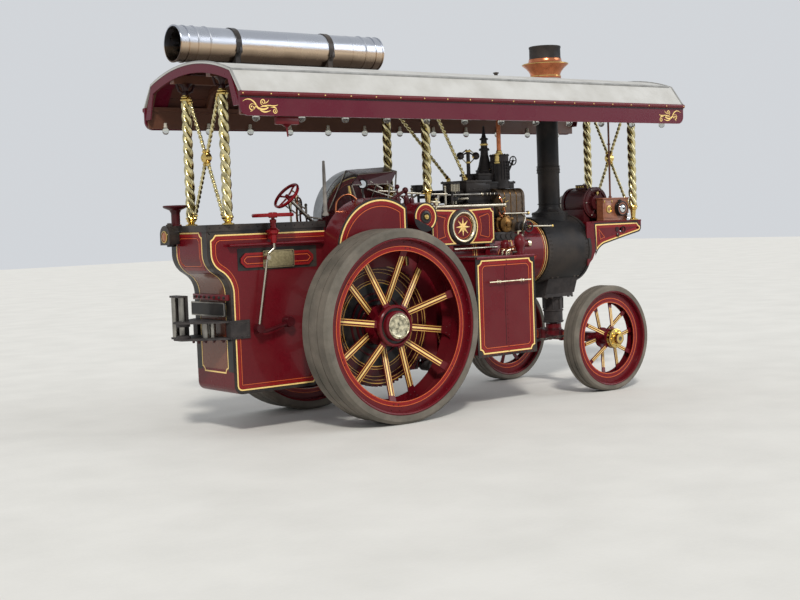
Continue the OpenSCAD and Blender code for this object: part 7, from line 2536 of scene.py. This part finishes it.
def dress_above_hornplates():
    """Weather tray on struts, gauge, post and the clutter over the crankshaft."""
    tray, strut, gauge, rim, dial, red, copper = meshes(7)
    corners = [(-1.184, 2.577), (-0.672, 2.607), (-0.796, 2.472), (-1.303, 2.466)]
    top = [Vector((x, y, z)) for (x, z), y in zip(corners, (-0.3, -0.3, -0.34, -0.34))]
    far = [p + Vector((0.06, 0.3, 0.055)) for p in top[:2]]
    sheet = [top[3], top[2], top[1], far[1], far[0], top[0]]
    for i, j, k, l in ((0, 1, 2, 5), (5, 2, 3, 4)):
        quad = [sheet[n] for n in (i, j, k, l)]
        normal = (quad[1] - quad[0]).cross(quad[3] - quad[0]).normalized() * 0.006
        low = [tray.verts.new(p - normal) for p in quad]
        high = [tray.verts.new(p + normal) for p in quad]
        tray.faces.new(high)
        tray.faces.new(low[::-1])
        for n in range(4):
            tray.faces.new((low[n], low[(n + 1) % 4], high[(n + 1) % 4], high[n]))
    add_pipe(strut, [sheet[0], sheet[1], sheet[2], sheet[5]], 0.008, 8, True)
    # Struts down to the hornplate tops
    for place, foot_x in ((top[3], -1.22), (top[2], -0.86), (top[0], -1.12), (top[1], -0.76)):
        add_bar(strut, place, (foot_x, -0.35, HORN_TOP - 0.01), 0.009, 8)
    for place in far:
        add_bar(strut, place, (place.x, 0.35, HORN_TOP - 0.01), 0.009, 8)
    add_bar(strut, (-1.057, -0.33, 2.501), (-0.896, -0.33, 2.422), 0.012, 10)
    add_bar(strut, (-0.838, -0.33, 2.498), (-0.744, -0.33, 2.429), 0.012, 10)
    add_bar(strut, (-1.1, -0.345, 2.42), (-0.66, -0.345, 2.3), 0.01, 10)
    new_piece("weather_tray", tray, DEEP_PAINT)
    new_piece("tray_struts", strut, MOTION_STEEL)
    # Gauge with a dark case and pale dial, looking back at the driver
    centre = Vector((-1.163, -0.345, 2.475))
    look = Vector((-0.8, -0.6, 0)).normalized()
    add_lathe(gauge, centre - 0.03 * look, look,
              [(0, 0), (0.05, 0), (0.054, 0.012), (0.054, 0.04), (0.044, 0.046), (0.04, 0.036),
               (0, 0.036)], 28)
    add_lathe(dial, centre + 0.0065 * look, look, [(0.0395, 0), (0, 0.0015)], 24)
    add_bar(gauge, centre - Vector((0, 0, 0.05)), (-1.163, -0.35, HORN_TOP - 0.01), 0.009, 10)
    new_piece("gauge_case", gauge, BLACK_PAINT)
    new_piece("gauge_dial", dial, LAMP_CHROME)
    # Flat tapered post with a round foot, over the gear cover's inner edge
    add_lathe(rim, (-1.655, -0.348, HORN_TOP - 0.06), UP,
              [(0.034, 0), (0.034, 0.02), (0.022, 0.04), (0.02, 0.2), (0.017, 0.48), (0.013, 0.565),
               (0, 0.57)], 16)
    new_piece("horn_post", rim, ZINC_GREY)
    # Red valves, levers and unions between the tray and the small cover
    for place, size in (((-0.589, -0.35, 2.3), 0.05), ((-0.5, -0.33, 2.27), 0.045),
                        ((-0.7, -0.345, 2.29), 0.04)):
        add_cock(red, (place[0], place[1], HORN_TOP - 0.01), UP, size, (-0.7, -0.2, 0.5))
        add_lathe(red, place, UP, [(0.02, -0.08), (0.03, -0.02), (0.03, 0.02), (0.015, 0.05), (0, 0.055)],
                  14)
    add_bar(red, (-0.98, -0.352, 2.205), (-0.6, -0.352, 2.4), 0.017, 10)
    add_bar(red, (-0.6, -0.352, 2.4), (-0.545, -0.352, 2.21), 0.014, 10)
    add_ball(red, (-0.6, -0.352, 2.4), 0.034, 14)
    add_ball(red, (-0.706, -0.35, 2.44), 0.026, 12)
    add_bar(red, (-0.706, -0.35, 2.44), (-0.72, -0.352, 2.21), 0.01, 8)
    new_piece("horn_valves", red, DEEP_PAINT)
    add_bent_pipe(copper, [(-1.52, -0.345, 2.1), (-1.5, -0.345, 2.3), (-1.36, -0.345, 2.37),
                           (-1.24, -0.35, 2.3), (-1.2, -0.352, 2.2)], 0.01, 10)
    add_bent_pipe(copper, [(-1.5, 0.33, 2.18), (-1.52, 0.3, 2.32), (-1.6, 0.24, 2.36), (-1.64, 0.2, 2.28),
                           (-1.62, 0.24, 2.12), (-1.5, 0.3, 2.04)], 0.01, 10)
    new_piece("horn_copper", copper, COPPER_METAL)
    # Valve stand on the far side of the footplate
    stand, bright = meshes(2)
    for x, z in ((-1.66, 2.33), (-1.58, 2.4)):
        add_bar(bright, (x, 0.3, FOOT_Z), (x, 0.3, z - 0.05), 0.013, 10)
        add_cock(stand, (x, 0.3, z - 0.06), UP, 0.05, (-0.8, -0.5, 0.2))
        add_bar(bright, (x, 0.3, z - 0.15), (x - 0.1, 0.18, z - 0.03), 0.008, 8)
        add_bar(bright, (x - 0.08, 0.3, z - 0.04), (x + 0.04, 0.2, z - 0.16), 0.008, 8)
    new_piece("far_valves", stand, PALE_BRASS)
    new_piece("far_rods", bright, PALE_STEEL)


def dress_tender_inside():
    """Boards on the footplate and coal in the bunker."""
    boards = bmesh.new()
    for i in range(5):
        y = -0.31 + 0.125 * i
        add_block(boards, (-2.24, y, FOOT_Z), (-1.42, y + 0.117, FOOT_Z + 0.014), 0.003)
    new_piece("footplate_boards", boards, TIMBER_WOOD)
    coal = bmesh.new()
    for _ in range(260):
        x = RANDOM.uniform(TENDER_BACK_LOW - 0.14, -2.34)
        y = RANDOM.uniform(-0.27, 0.27)
        heap = 1.9 - 0.9 * y * y - 0.3 * abs(x + 2.6)
        size = RANDOM.uniform(0.028, 0.055)
        lump = bmesh.ops.create_icosphere(coal, subdivisions=1, radius=size)["verts"]
        turn = Matrix.Rotation(RANDOM.uniform(0, 6.28), 3, "X") @ Matrix.Rotation(RANDOM.uniform(0, 6.28),
                                                                                  3, "Z")
        stretch = Vector((RANDOM.uniform(0.7, 1.2), RANDOM.uniform(0.6, 1.0), RANDOM.uniform(0.6, 1.0)))
        for vert in lump:
            vert.co = turn @ Vector(a * b * RANDOM.uniform(0.85, 1.1) for a, b in zip(vert.co, stretch))
            vert.co += Vector((x, y, heap + RANDOM.uniform(-0.03, 0.02)))
    bed = coal.verts
    corners = [(TENDER_BACK_LOW - 0.2, -0.34), (-2.29, -0.34), (-2.29, 0.34),
               (TENDER_BACK_LOW - 0.2, 0.34)]
    coal.faces.new([bed.new((x, y, 1.79)) for x, y in corners])
    new_piece("coal", coal, COAL_BLACK, sharp=20)


COAL_SEED = 5
RANDOM = random.Random(COAL_SEED)
dress_steering()
dress_brake()
dress_control_wheels()
dress_backhead()
dress_levers()
dress_above_hornplates()
dress_tender_inside()


# Camera, lamps and floor

CAMERA_PLACE = Vector((-9.595, -11.85, 2.12))
YAW, PITCH, ROLL = 0.657, -0.062, -0.037
LENS, SENSOR = 60.55, 36
SKY_COLOUR, SKY_STRENGTH = (0.86, 0.89, 0.93, 1), 0.75
FLOOR_SIZE = 60


def make_camera():
    forward = Vector((math.sin(YAW) * math.cos(PITCH), math.cos(YAW) * math.cos(PITCH), math.sin(PITCH)))
    right = Vector((math.cos(YAW), -math.sin(YAW), 0))
    up = right.cross(forward)
    side = math.cos(ROLL) * right + math.sin(ROLL) * up
    top = -math.sin(ROLL) * right + math.cos(ROLL) * up
    turn = Matrix((side, top, -forward)).transposed().to_4x4()
    data = bpy.data.cameras.new("camera")
    data.lens = LENS
    data.sensor_width = SENSOR
    camera = bpy.data.objects.new("camera", data)
    camera.matrix_world = Matrix.Translation(CAMERA_PLACE) @ turn
    bpy.context.scene.collection.objects.link(camera)
    bpy.context.scene.camera = camera


def add_sun(name, place, aim, energy, angle, colour):
    data = bpy.data.lights.new(name, "SUN")
    data.energy = energy
    data.color = colour
    data.angle = angle
    lamp = bpy.data.objects.new(name, data)
    lamp.location = place
    lamp.rotation_euler = (Vector(aim) - Vector(place)).to_track_quat("-Z", "Y").to_euler()
    bpy.context.scene.collection.objects.link(lamp)


def make_studio():
    world = bpy.data.worlds.new("pale studio")
    world.use_nodes = True
    sky = world.node_tree.nodes["Background"]
    sky.inputs["Color"].default_value = SKY_COLOUR
    sky.inputs["Strength"].default_value = SKY_STRENGTH
    bpy.context.scene.world = world
    add_sun("key", (-8, -12, 14), (0, 0, 1), 2.2, 0.12, (1, 0.97, 0.92))
    add_sun("fill", (10, -8, 6), (0, 0, 1), 0.7, 0.6, (0.92, 0.95, 1))
    floor_mesh = bmesh.new()
    bmesh.ops.create_grid(floor_mesh, x_segments=1, y_segments=1, size=FLOOR_SIZE)
    data = bpy.data.meshes.new("floor")
    floor_mesh.to_mesh(data)
    floor = bpy.data.objects.new("floor", data)
    floor.location.z = GROUND - 0.001
    data.materials.append(rough("floor_plain", screen(214, 212, 206), screen(206, 204, 198), patch=1.2,
                                grain=30.0, bump=0.02))
    bpy.context.scene.collection.objects.link(floor)


make_camera()
make_studio()
bpy.context.scene.view_settings.view_transform = "Standard"
